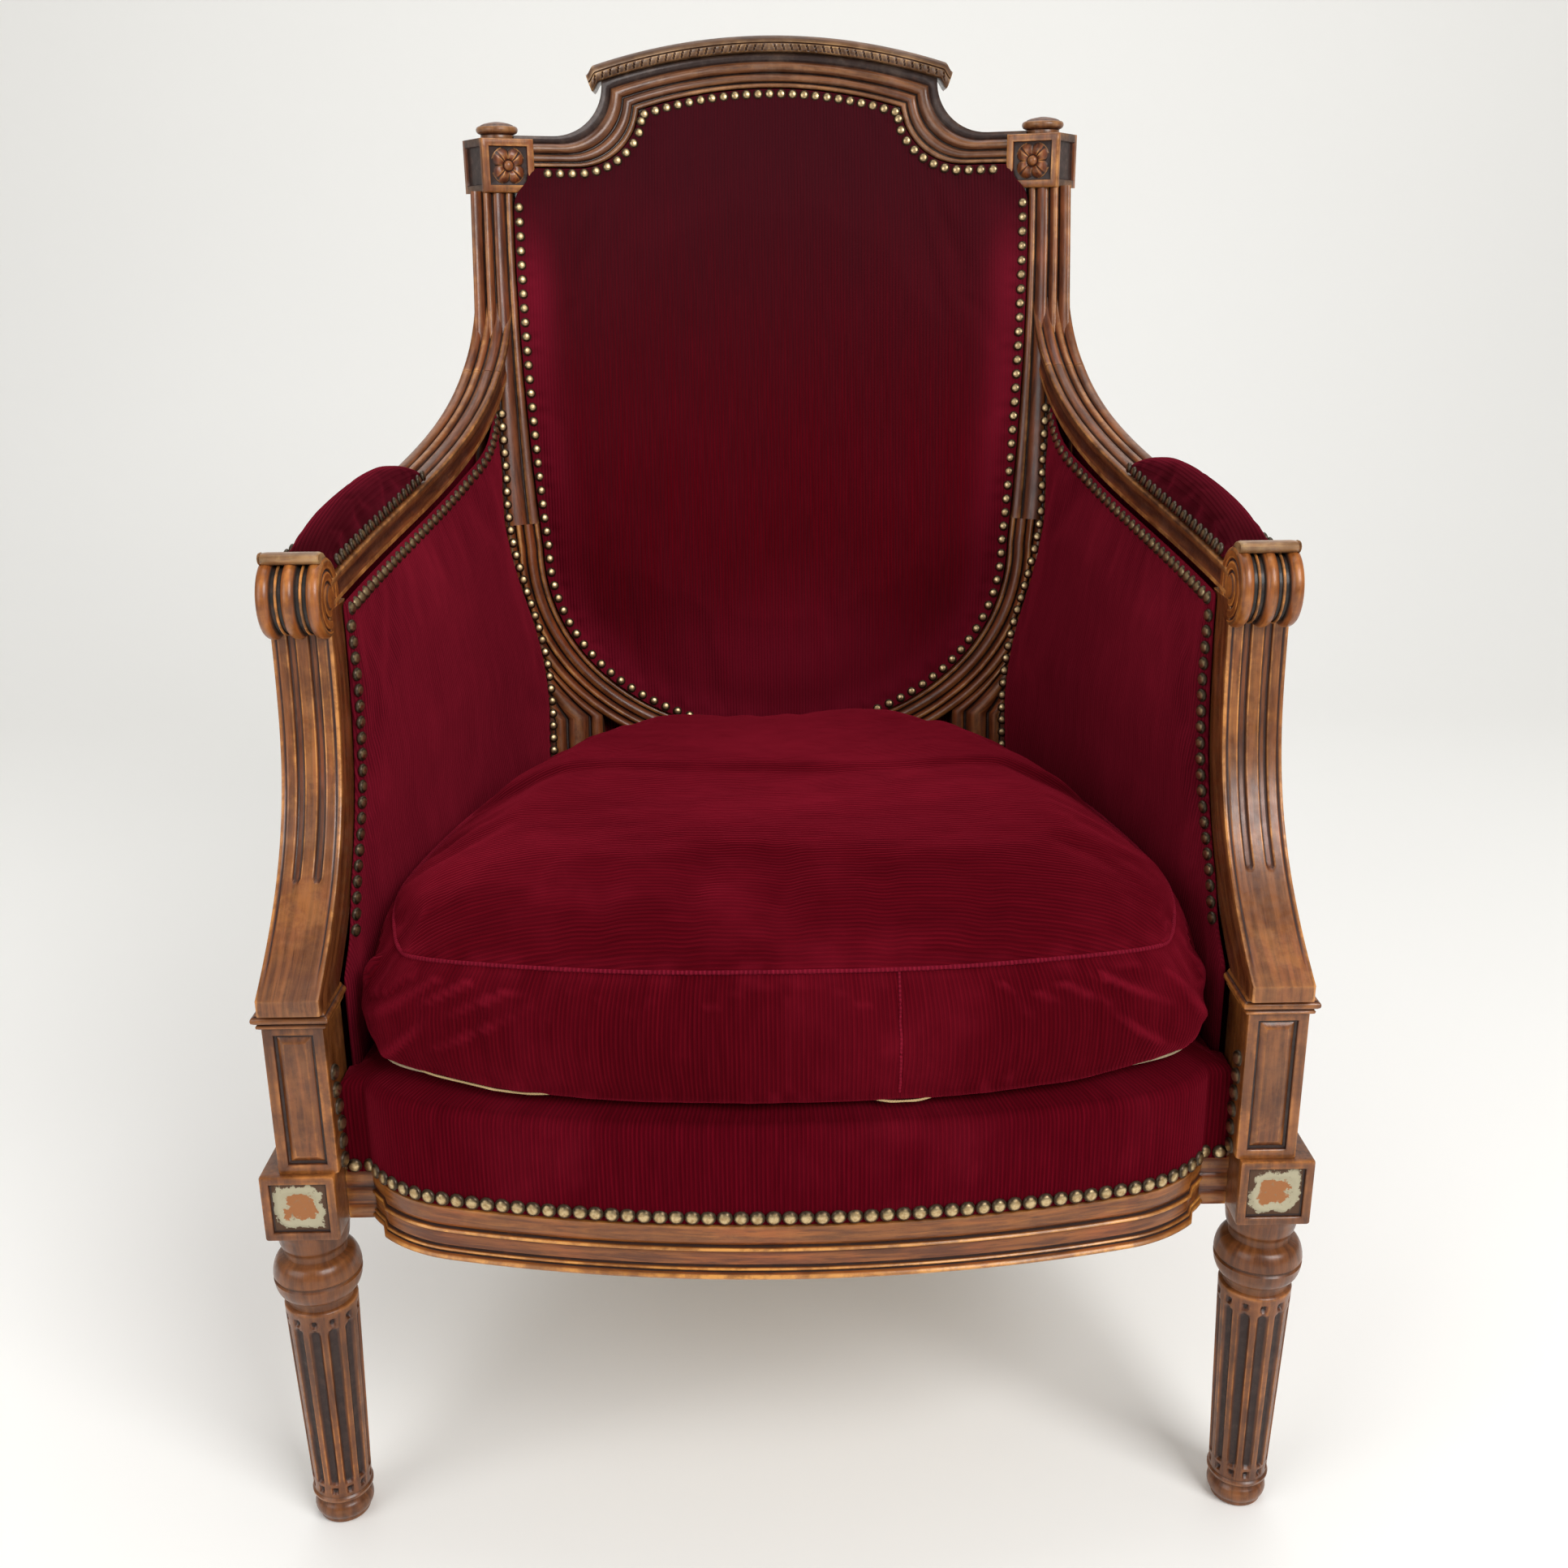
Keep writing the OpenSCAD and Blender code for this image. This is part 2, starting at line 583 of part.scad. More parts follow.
module rear_leg() {
    rise = block_w / 2 * tan(rear_tilt);
    h = (rail_bottom_z + rise + (foot_r + foot_bulge) * sin(rear_tilt)) / cos(rear_tilt);
    translate([rear_x, rear_y, rail_bottom_z + rise]) rotate([rear_tilt, 0, 0])
        translate([0, 0, -h]) turned_leg(h);
}

// Ring hidden in the upper part of a post, which ties its two mouldings together
post_root = 4;
function root_ring(z) = back_ring([post_inner_x(hoop_joint_z) + post_root, z],
    [post_outer_x(z) - post_root, z],
    [for (s = stile_shares) [s[0], 1]], wood_d - post_root, -post_root);

module back_post() {
    low_z = z_steps(rail_top_z - over, hoop_joint_z - glue_gap, 22);
    high_z = z_steps(hoop_joint_z, top_block_z + over, 14);
    recess = block_w - block_recess_margin * 2;
    color(wood) difference() {
        union() {
            loft(concat([root_ring(hoop_joint_z + post_root)],
                [for (z = flipped(low_z))
                    back_ring([post_inner_x(z), z], [post_outer_x(z), z], stile_shares, wood_d)]));
            loft([for (z = flipped(high_z))
                back_ring([inner_x(z), z], [post_outer_x(z), z], band_shares, wood_d)]);
            loft([for (i = [6 : -1 : 0]) let(t = lerp(arm_seam_share + seam_gap_share, 1, i / 6))
                arm_ring(t, heel_sink * i / 6)]);
            translate([rear_x - block_w / 2, rear_y - block_w / 2, rail_bottom_z])
                cube([block_w, block_w, rail_h]);
            rear_leg();
            in_top_block() translate([-block_w / 2, -block_w / 2, 0]) cube([block_w, block_w, top_block_h]);
        }
        translate([rear_x - block_w * 2, rear_y - block_w * 2, -foot_trim])
            cube([block_w * 4, block_w * 4, foot_trim]);
        in_top_block() translate([-recess / 2, -block_w / 2 - over, block_recess_margin])
            cube([recess, panel_d + over, top_block_h - block_recess_margin * 2]);
        in_top_block() translate([block_w / 2 - panel_d, -recess / 2, block_recess_margin])
            cube([panel_d + over, recess, top_block_h - block_recess_margin * 2]);
        side_tenons(fit_gap);
        rear_tenon(fit_gap);
        crest_tenon(fit_gap);
        finial_dowel(fit_gap);
        hoop_dowel(fit_gap);
    }
    color(wood) seam_dowel_upper();
}
module seam_dowel_upper() {
    t = arm_seam_share;
    d = arm_dir(t);
    translate(arm_point(t, 0, arm_depth(t) / 2)) rotate([atan2(d[1], d[0]) - 90, 0, 0])
        translate([0, 0, -dowel_len]) cylinder(r = dowel_r, h = dowel_len + over);
}

// Turned button on top of a corner block
button_r = 17.5;
button_neck_r = 14;
button_base_h = 3.5;
button_h = 14;
module finial() {
    color(wood) in_top_block() translate([0, 0, top_block_h + fit_gap]) {
        rotate_extrude() polygon(concat([[0, 0], [button_neck_r, 0], [button_neck_r, button_base_h]],
            [for (a = [-30 : 15 : 90]) [button_r * cos(a),
                button_base_h + (button_h - button_base_h) * (1 + 2 * sin(a)) / 3]]));
        dowel();
    }
}

// Crest: an arched and moulded rail that drops in a scooped shoulder to the corner blocks
arch_r = 366.5;
arch_end_x = 112.7;
scoop_r = 52.5;
scoop_x = 165;
scoop_drop = 12.5;
scoop_z = panel_top_z - scoop_drop;
crown_r = 441;
crown_end_x = 143.6;
shoulder_r = 41.4;
shoulder_x = 185;
shoulder_drop = 27;
shoulder_z = cap_z - shoulder_drop;
crest_end_x = 216;
crest_d = 28;
arch_cz = panel_top_z - arch_r;
crown_cz = cap_z - crown_r;
function arch_z(x, r, cz) = cz + sqrt(r * r - x * x);
// Direction of a point seen from the middle of an arc, counted on past the start angle
function turn_of(dx, dz, from = 0) = let(a = atan2(dz, dx)) a < from ? a + 360 : a;
crest_inner = concat(
    [for (i = [0 : 6]) let(x = arch_end_x * i / 6) [x, arch_z(x, arch_r, arch_cz)]],
    [for (i = [1 : 6]) let(a =
        lerp(turn_of(arch_end_x - scoop_x, arch_z(arch_end_x, arch_r, arch_cz) - scoop_z, 180), 270, i / 6))
        [scoop_x + scoop_r * cos(a), scoop_z + scoop_r * sin(a)]],
    [for (i = [1 : 3]) [lerp(scoop_x, crest_end_x, i / 3), scoop_z - scoop_r]]);
crest_outer = concat(
    [for (i = [0 : 6]) let(x = crown_end_x * i / 6) [x, arch_z(x, crown_r, crown_cz)]],
    [for (i = [1 : 6]) let(a =
        lerp(turn_of(crown_end_x - shoulder_x, arch_z(crown_end_x, crown_r, crown_cz) - shoulder_z), 270, i / 6))
        [shoulder_x + shoulder_r * cos(a), shoulder_z + shoulder_r * sin(a)]],
    [for (i = [1 : 3]) [lerp(shoulder_x, crest_end_x, i / 3), shoulder_z - shoulder_r]]);
function flipped(p) = [for (i = [len(p) - 1 : -1 : 0]) p[i]];
function mirrored(p) = [for (i = [len(p) - 1 : -1 : 1]) [-p[i][0], p[i][1]]];
function both(p) = concat(mirrored(p), p);

cap_dowel_x = 80;
cap_dowel_r = 4;
cap_dowel_rise = 7;
module cap_dowels(gap = 0) {
    for (s = [-1, 1]) translate([s * cap_dowel_x, back_y(cap_dowel_x, cap_z) + crest_d / 2,
        arch_z(cap_dowel_x, crown_r, crown_cz) - dowel_len])
            cylinder(r = cap_dowel_r + gap, h = dowel_len + cap_dowel_rise + gap);
}
module crest_rail() {
    inner = both(crest_inner);
    outer = both(crest_outer);
    color(wood) difference() {
        union() {
            difference() {
                loft([for (i = [0 : len(inner) - 1]) back_ring(inner[i], outer[i], band_shares, crest_d)]);
                for (s = [-1, 1]) side(s) top_block(fit_gap);
            }
            for (s = [-1, 1]) side(s) crest_tenon();
        }
        cap_dowels(fit_gap);
    }
}

cap_proud = 4.5;
cap_shares = [[0, 1], [0.1, 0.4], [0.3, 0.05], [0.5, 0], [0.7, 0.05], [0.9, 0.4], [1, 1]];
module crest_cap() {
    low_r = crown_r + fit_gap * 2;
    a_end = asin(cap_half / crown_r);
    color(wood) union() {
        loft([for (i = [-12 : 12]) let(a = a_end * i / 12) back_ring(
            [low_r * sin(a), crown_cz + low_r * cos(a)],
            [(crown_r + cap_h) * sin(a), crown_cz + (crown_r + cap_h) * cos(a)], cap_shares,
                cap_back, cap_proud)]);
        cap_dowels();
    }
}

// Hoop: moulded U round the lower half of the panel
module back_hoop() {
    top = hoop_joint_z - fit_gap;
    ends = [inner_x(hoop_joint_z), top];
    inner = concat([[ends[0], top]],
        [for (a = [0 : 7.5 : 180]) [panel_half_w * cos(a), hoop_z - hoop_drop * sin(a)]],
        [[-ends[0], top]]);
    outer = concat([[ends[0] + hoop_w, top]],
        [for (a = [0 : 7.5 : 180]) [(panel_half_w + hoop_w) * cos(a),
            hoop_z - (hoop_drop + hoop_w) * sin(a)]],
        [[-ends[0] - hoop_w, top]]);
    color(wood) union() {
        loft([for (i = [0 : len(inner) - 1]) back_ring(inner[i], outer[i], band_shares, wood_d)]);
        for (s = [-1, 1]) side(s) hoop_dowel();
    }
}

// Front seat rail: bowed in plan, with rounded corners that run into the leg blocks
nose_bead = 5;
bow_r = 845;
bow_end_x = 204.9;
corner_r = 90;
rail_recess = 2;
bow_a = asin(bow_end_x / bow_r);
bow_cy = leg_y - front_nose + nose_bead + bow_r;
corner_c = [(bow_r - corner_r) * sin(bow_a), bow_cy - (bow_r - corner_r) * cos(bow_a)];
straight_y = leg_y - rail_recess;
front_end_x = leg_x - block_w / 2 - fit_gap;
function corner_end_a(e) = asin((straight_y - e - corner_c[1]) / (corner_r + e));
function front_outline(e, end_x) = concat(
    [for (i = [0 : 8]) let(a = bow_a * i / 8) [(bow_r + e) * sin(a), bow_cy - (bow_r + e) * cos(a)]],
    [for (i = [1 : 5]) let(a = lerp(bow_a - 90, corner_end_a(e), i / 5))
        corner_c + (corner_r + e) * [cos(a), sin(a)]],
    [[end_x, straight_y - e]]);
function front_inside(t) = concat(
    [for (i = [0 : 8]) let(a = bow_a * i / 8) [(bow_r - t) * sin(a), bow_cy - (bow_r - t) * cos(a)]],
    [[corner_c[0] + corner_r / 2, straight_y + t], [front_end_x, straight_y + t]]);
module front_plan(e, t) {
    polygon(concat(both(front_outline(e, front_end_x)), flipped(both(front_inside(t)))));
}
// Bands of the rail: share of the bead's projection, and shares of the height at their foot and in height
front_rail_shares = [[1, 0, 0.12], [0.5, 0.12, 0.08], [0, 0.2, 0.3], [0.55, 0.5, 0.07], [0.1, 0.57, 0.43]];
module front_seat_rail() {
    band_h = rail_h - rebate_h;
    color(wood) union() {
        for (s = front_rail_shares) translate([0, 0, rail_bottom_z + band_h * s[1]])
            linear_extrude(band_h * s[2]) front_plan(nose_bead * s[0], front_rail_t);
        translate([0, 0, rail_top_z - rebate_h]) linear_extrude(rebate_h) front_plan(-rebate, front_rail_t);
        for (s = [-1, 1]) side(s) front_tenon();
    }
}

module side_plan(inset, t) {
    y = [for (i = [0 : 14]) lerp(side_front_y, side_rear_y, i / 14)];
    polygon(concat([for (v = y) [side_rail_x(v) - inset, v]],
        [for (v = flipped(y)) [side_rail_x(v) - t, v]]));
}
module side_seat_rail() {
    color(wood) union() {
        translate([0, 0, rail_bottom_z]) linear_extrude(rail_h - rebate_h) side_plan(0, side_rail_t);
        translate([0, 0, rail_top_z - rebate_h]) linear_extrude(rebate_h) side_plan(rebate, side_rail_t);
        side_tenons();
    }
}

rear_rail_t = 30;
rear_end_x = rear_x - block_w / 2 - fit_gap;
module rear_plan(gap = 0) {
    x = [for (i = [-10 : 10]) rear_end_x * i / 10];
    polygon(concat([for (v = x) [v, back_y(v, rail_mid_z) - gap]],
        [for (v = flipped(x)) [v, back_y(v, rail_mid_z) + rear_rail_t]]));
}
module rear_seat_rail() {
    color(wood) union() {
        translate([0, 0, rail_bottom_z]) linear_extrude(rail_h) rear_plan();
        for (s = [-1, 1]) side(s) rear_tenon();
    }
}

// Glued braces across the four inner corners of the seat frame
brace_t = 22;
brace_h = 26;
brace_low = 6;
brace_front_x = 236;
brace_front_in = 62;
brace_rear_x = 150;
brace_rear_in = 34;
brace_len = 130;
brace_front_turn = 48;
brace_rear_turn = 40;
module corner_braces() {
    color(wood) for (s = [-1, 1]) side(s) translate([0, 0, rail_bottom_z + brace_low])
        linear_extrude(brace_h) {
        difference() {
            translate([brace_front_x, leg_y + brace_front_in]) rotate(brace_front_turn)
                square([brace_len, brace_t], center = true);
            front_plan(0, front_rail_t + fit_gap);
            side_plan(-block_w, side_rail_t + fit_gap);
            translate([front_end_x - fit_gap, leg_y - block_w / 2]) square(block_w);
        }
        difference() {
            translate([brace_rear_x, rear_y - brace_rear_in]) rotate(-brace_rear_turn)
                square([brace_len, brace_t], center = true);
            rear_plan(fit_gap);
            side_plan(-block_w, side_rail_t + fit_gap);
            translate([rear_end_x, rear_y - block_w / 2 - fit_gap]) square([block_w * 2, block_w * 2]);
            translate([0, rear_y + block_w / 2]) square(block_w * 4);
        }
    }
}

// Straps tacked under the rails: one layer from front to back, one across below it
strap_pitch = 72;
strap_shares = [-1.5, -0.5, 0.5, 1.5];
cross_strap_share = [0.1, 0.26, 0.42, 0.58, 0.74];
strap_front_in = 20;
strap_side_in = 15;
strap_rear_in = 20;
module webbing() {
    top = rail_bottom_z - fit_gap;
    rear = back_y(0, rail_mid_z) + strap_rear_in / 2;
    color(linen) union() {
        for (k = strap_shares) let(x = strap_pitch * k, y = leg_y - front_nose + strap_front_in * 2)
            translate([x - strap_w / 2, y, top - strap_t])
                cube([strap_w, rear - y - strap_rear_in, strap_t]);
        for (s = cross_strap_share)
            let(y = lerp(side_front_y, side_rear_y, s), x = side_rail_x(y + strap_w / 2) - strap_side_in)
            translate([-x, y - strap_w / 2, top - strap_t * 2]) cube([x * 2, strap_w, strap_t]);
    }
}

// Plan of the fixed seat: front edge with its border, then the side panels, then the back
pad_lap = 14;
pad_rise = 40;
pad_bow = 10;
panel_low_z = rail_top_z + soft_gap;
pad_x0 = support_x - arm_w / 2 - soft_gap;
function pad_front_y(z) = support_rear_y(max(z, ledge_top_z)) + soft_gap
    - (pad_lap + soft_gap) * smooth((z - ledge_top_z - toe_h) / pad_rise);
function pad_end_y(z) = back_y(stile_nail_x(z), z) - soft_gap;
function arm_inner_x(y) = arm_x(y) - arm_width(arm_share_at(y)) / 2 - soft_gap;
pad_turn_in = 397;
pad_turn_y = leg_y + pad_turn_in;
pad_turn_run = 110;
function pad_x(s, y, z) = let(
        low = lerp(pad_x0, stile_low_x, s) + 4 * pad_bow * s * (1 - s),
        high = lerp(min(pad_x0, arm_inner_x(y)), stile_low_x + stile_spread,
            smooth((y - pad_turn_y) / pad_turn_run)))
    lerp(low, high, smooth((z - stile_low_z) / (stile_high_z - stile_low_z)));
function seat_side_x(y) =
    let(s = clamp01((y - pad_front_y(panel_low_z)) / (pad_end_y(panel_low_z) - pad_front_y(panel_low_z))))
    pad_x(s, y, panel_low_z) - side_edge_t - soft_gap;

rear_lap = 16;
rear_lap_from = 150;
rear_lap_run = 40;
seat_rear_gap = 1;
function seat_rear_y(x) = back_y(x, panel_low_z) - seat_rear_gap
    + rear_lap * smooth((rear_lap_from - abs(x)) / rear_lap_run);
dado_side_x = dado_x - dado_w / 2 - soft_gap;
dado_rear_y = dado_front_y + dado_d;
seat_side_share = [0, 0.15, 0.3, 0.45, 0.6, 0.75, 0.88, 0.97];
seat_rear_share = [0.97, 0.86, 0.76, 0.66, 0.5, 0.3, 0];
// Points [x, y, 1 where the border hangs over the front rail], drawn in by e all round
function seat_half(e) = let(
        y0 = dado_rear_y - soft_gap * 4 - e, y1 = dado_rear_y - soft_gap * 2,
        xr = seat_side_x(pad_end_y(panel_low_z)), y2 = seat_rear_y(xr) - soft_gap)
    concat([for (p = front_outline(-soft_gap / 2 - e, dado_side_x - e)) [p[0], p[1], 1]],
        [[dado_side_x - e, straight_y + soft_gap + e, 0], [dado_side_x - e, y0, 0]],
        [for (s = seat_side_share)
            let(y = lerp(y1, y2, s)) [seat_side_x(y) - e, y - e * (s > 1 / 2 ? s : 0), 0]],
        [for (s = seat_rear_share) let(x = xr * s) [x * (1 - e / xr), seat_rear_y(x) - e, 0]]);
function ring_of(half) = concat(half,
    [for (i = [len(half) - 2 : -1 : 1]) [-half[i][0], half[i][1], half[i][2]]]);
seat_mid_in = 240;
seat_mid = [0, leg_y + seat_mid_in];
function seat_ring(e, zf, zs, shrink = 0) = [for (p = ring_of(seat_half(e)))
    [p[0] * (1 - shrink), lerp(p[1], seat_mid[1], shrink), p[2] == 1 ? zf : zs]];

// Solid between an upper and an under skin, each a stack of rings that closes on a point
module shell(upper, top, under, bottom) {
    n = len(upper[0]);
    m = len(upper);
    k = len(under);
    pts = concat([for (r = upper) each r], [for (r = under) each r], [top, bottom]);
    o = m * n;
    t = o + k * n;
    up = [for (r = [0 : m - 2], i = [0 : n - 1]) let(j = (i + 1) % n, a = r * n)
        each [[a + i, a + n + i, a + j], [a + j, a + n + i, a + n + j]]];
    down = [for (r = [0 : k - 2], i = [0 : n - 1]) let(j = (i + 1) % n, a = o + r * n)
        each [[a + i, a + j, a + n + i], [a + j, a + n + j, a + n + i]]];
    ends = [for (i = [0 : n - 1]) let(j = (i + 1) % n)
        each [[t, (m - 1) * n + j, (m - 1) * n + i], [t + 1, o + (k - 1) * n + i, o + (k - 1) * n + j],
            [i, j, o + i], [j, o + j, o + i]]];
    polyhedron(pts, concat(up, down, ends), 10);
}

canvas_rise = 17;
canvas_t = 1.2;
canvas_in = 8;
canvas_shares = [[0, 0], [0.14, 0.35], [0.32, 0.8], [0.55, 0.97]];
function canvas_rings(e, lift) = [for (s = canvas_shares) let(z = panel_low_z + lift + canvas_rise * s[1])
    seat_ring(e, z, z, s[0])];
module spring_canvas() {
    color(linen) shell(canvas_rings(canvas_in, canvas_t),
        [seat_mid[0], seat_mid[1], panel_low_z + canvas_rise + canvas_t],
        canvas_rings(canvas_in, 0), [seat_mid[0], seat_mid[1], panel_low_z + canvas_rise]);
}

seat_cover_t = 3;
border_low_z = rail_top_z - rebate_h + soft_gap * 2;
edge_round = 6;
// Shrink towards the middle, and height above the edge as a share of the crown
seat_crown_shares = [[0.05, 0.6], [0.11, 0.92], [0.17, 1]];
function seat_rings(e, drop, zf, zs) = concat(
    [seat_ring(e, zf, zs), seat_ring(e, seat_z - edge_round - drop, seat_z - edge_round - drop),
        seat_ring(e + edge_round / 2, seat_z - drop, seat_z - drop)],
    [for (s = seat_crown_shares) let(z = seat_z + seat_crown * s[1] - drop)
        seat_ring(e + edge_round / 2, z, z, s[0])]);
module seat_cover() {
    color(velvet) shell(seat_rings(0, 0, border_low_z, panel_low_z),
        [seat_mid[0], seat_mid[1], seat_z + seat_crown],
        seat_rings(seat_cover_t, seat_cover_t, border_low_z, panel_low_z),
        [seat_mid[0], seat_mid[1], seat_z + seat_crown - seat_cover_t]);
}
module seat_stuffing() {
    e = seat_cover_t + soft_gap * 2;
    low = panel_low_z + canvas_t + soft_gap * 2;
    color(linen) shell(seat_rings(e, e, low, low), [seat_mid[0], seat_mid[1], seat_z + seat_crown - e],
        canvas_rings(canvas_in, canvas_t + soft_gap * 2),
        [seat_mid[0], seat_mid[1], panel_low_z + canvas_rise + canvas_t + soft_gap * 2]);
}

// Coil springs between the straps and the canvas
spring_steps = 7;
spring_x = 112;
spring_row_in = 95;
spring_row_pitch = 120;
spring_rows = 3;
spring_top_gap = 3;
module spring_coil() {
    low = rail_bottom_z + spring_wire_r + soft_gap;
    high = panel_low_z + canvas_rise - spring_wire_r - spring_top_gap;
    n = spring_turns * spring_steps;
    rings = [for (i = [0 : n]) let(a = 360 * i / spring_steps,
        r = spring_r * (1 - spring_waist_share * sin(180 * i / n)) - spring_wire_r)
        [for (b = [0 : 90 : 270]) [(r + spring_wire_r * cos(b)) * cos(a),
            (r + spring_wire_r * cos(b)) * sin(a),
            lerp(low, high, i / n) + spring_wire_r * sin(b)]]];
    function mid(r) = (r[0] + r[2]) / 2;
    turned(mid(rings[0]), [for (r = rings) flipped(r)], mid(rings[n]));
}
spring_waist_share = 0.25;
module seat_springs() {
    color(steel) for (i = [0 : spring_rows - 1], k = [-1 : 1])
        translate([spring_x * k, leg_y + spring_row_in + spring_row_pitch * i, 0]) spring_coil();
}

// Edge of the back panel as seen from the front, right half from the crown down to the lowest point
panel_inset = 1;
block_clear_x = 196;
block_side_x = 197;
function panel_half(e) = concat(
    [for (i = [0 : 6]) let(x = arch_end_x * i / 6) [x, arch_z(x, arch_r - e, arch_cz)]],
    [for (i = [1 : 6]) let(a =
        lerp(turn_of(arch_end_x - scoop_x, arch_z(arch_end_x, arch_r, arch_cz) - scoop_z, 180), 270, i / 6))
        [scoop_x + (scoop_r + e) * cos(a), scoop_z + (scoop_r + e) * sin(a)]],
    [[(scoop_x + block_clear_x) / 2, scoop_z - scoop_r - e], [block_clear_x - e, scoop_z - scoop_r - e],
        [block_side_x - e, top_block_z - e]],
    [for (z = z_steps(top_block_z - hoop_w / 2, hoop_z, 11)) [inner_x(z) - e, z]],
    [for (a = [7.5 : 7.5 : 90]) [(panel_half_w - e) * cos(a), hoop_z - (hoop_drop - e) * sin(a)]]);
panel_mid_rise = 90;
panel_mid_z = hoop_z + panel_mid_rise;
inner_ring_share = 0.5;
function panel_point(p, r, dy) =
    let(x = p[0] * r, z = lerp(panel_mid_z, p[1], r)) [x, back_y(x, z) + dy, z];
function panel_outline(e) = let(h = panel_half(e))
    flipped(concat(h, [for (i = [len(h) - 2 : -1 : 1]) [-h[i][0], h[i][1]]]));
back_edge_out = 1;
back_pad_d = 20;
back_swell_shares = [[1, 0], [0.95, 0.3], [0.85, 0.66], [0.68, 0.9], [0.4, 1]];
module back_pad() {
    edge = panel_outline(panel_inset);
    color(velvet) turned(panel_point([0, panel_mid_z], 0, back_pad_d),
        concat([for (r = [inner_ring_share, 1]) [for (p = edge) panel_point(p, r, back_pad_d)]],
            [for (s = back_swell_shares) [for (p = edge)
                panel_point(p, s[0], -back_edge_out - back_swell * s[1])]]),
        panel_point([0, panel_mid_z], 0, -back_edge_out - back_swell));
}
back_cover_in = 23;
module back_outer_cover() {
    edge = panel_outline(panel_inset);
    color(velvet) turned(panel_point([0, panel_mid_z], 0, back_cover_in + cover_t),
        concat([for (r = [inner_ring_share, 1]) [for (p = edge)
            panel_point(p, r, back_cover_in + cover_t)]],
            [for (r = [1, inner_ring_share]) [for (p = edge) panel_point(p, r, back_cover_in)]]),
        panel_point([0, panel_mid_z], 0, back_cover_in));
}

// Side panels: inner pad and outer cover between the arm support, the arm, the back post and the rail
pad_top_gap = 2;
pad_ref_z = 590;
pad_ref_rear_z = 640;
swell_from_z = 430;
swell_run = 60;
function arm_under_z(y) = let(t = arm_share_at(y))
    bezier(arm_curve, t)[1] - arm_depth(t) / arm_dir(t)[0] - pad_top_gap;
function side_top_z(s) = arm_under_z(lerp(pad_front_y(pad_ref_z), pad_end_y(pad_ref_rear_z), s));
function swell_at(s, z, top) = side_swell * sqrt(4 * s * (1 - s)) * smooth((z - swell_from_z) / swell_run)
    * smooth((top - z) / swell_run);
module side_pad() {
    grid = [for (i = [0 : 14]) let(s = i / 14, top = side_top_z(s)) [for (j = [0 : 12]) let(
        z = lerp(panel_low_z, top, j / 12),
            y = lerp(pad_front_y(z), pad_end_y(z), s)) [pad_x(s, y, z), y, z, swell_at(s, z, top)]]];
    color(velvet) slab([for (r = grid) [for (p = r) [p[0] - side_edge_t - p[3], p[1], p[2]]]],
        [for (r = grid) [for (p = r) [p[0], p[1], p[2]]]]);
}
cover_front_out = 27;
cover_rear_out = 16;
module side_outer_cover() {
    grid = [for (i = [0 : 12]) let(s = i / 12, top = side_top_z(s)) [for (j = [0 : 10]) let(
        z = lerp(panel_low_z, top, j / 10), out = lerp(cover_front_out, cover_rear_out, s),
        y0 = support_rear_y(max(z, ledge_top_z)) + soft_gap * 4,
        y1 = back_y(stile_nail_x(z) + cover_rear_out + cover_t, z) - soft_gap, y = lerp(y0, y1, s))
        [pad_x(s, y, z) + out, y, z]]];
    color(velvet) slab(grid, [for (r = grid) [for (p = r) p + [cover_t, 0, 0]]]);
}

// Padded top of the arm
arm_pad_from = 104;
arm_pad_to = 320;
arm_pad_edge = 1;
arm_pad_margin = 1.5;
// Fullness of the pad towards its ends and its sides
end_power = 0.4;
side_power = 0.5;
side_round = 3;
// Widening of the pad towards its crown, as a share of its width
arm_pad_bulge_share = 0.1;
module arm_pad() {
    t0 = arm_share_at(leg_y + arm_pad_from);
    t1 = arm_share_at(leg_y + arm_pad_to);
    function rise(a, b) = arm_pad_edge
        + arm_pad_h * pow(max(0, sin(180 * a)), end_power) * pow(max(0, 1 - pow(abs(2 * b - 1), side_round)), side_power);
    grid = [for (i = [0 : 16]) let(t = lerp(t0, t1, i / 16), w = arm_width(t) - arm_pad_margin * 2)
        [for (j = [0 : 8]) let(up = rise(i / 16, j / 8), dx = w * (j / 8 - 1 / 2))
            [arm_point(t, dx, -soft_gap),
                arm_point(t, dx * (1 + arm_pad_bulge_share * up / arm_pad_h), -soft_gap - up)]]];
    color(velvet) slab([for (r = grid) [for (p = r) p[1]]], [for (r = grid) [for (p = r) p[0]]]);
}

// Loose cushion: plan as shares of half width and depth, and how far the seam sags there
cushion_shares = [[0, 0, 0], [0.2, 0.002, 0], [0.4, 0.01, 0], [0.6, 0.027, 0.05],
    [0.76, 0.046, 0.2], [0.87, 0.066, 0.5],
    [0.94, 0.088, 0.85], [0.98, 0.118, 1], [0.996, 0.155, 0.85], [1, 0.205, 0.5],
        [0.995, 0.26, 0.2], [0.98, 0.33, 0.05],
    [0.945, 0.45, 0], [0.88, 0.62, 0], [0.8, 0.78, 0.05], [0.755, 0.88, 0.3], [0.725, 0.945, 0.8],
        [0.68, 0.985, 1],
    [0.6, 1, 0.6], [0.42, 1.015, 0.1], [0.2, 1.025, 0], [0, 1.03, 0]];
cushion_d = 515;
cushion_front = 53;
cushion_sag = 20;
cushion_front_y = leg_y - cushion_front;
cushion_mid_share = 0.45;
cushion_mid_y = cushion_front_y + cushion_d * cushion_mid_share;
base_cloth_t = 1.5;
cushion_low_z = seat_z + seat_crown + soft_gap;
cover_low_z = cushion_low_z + base_cloth_t + soft_gap;
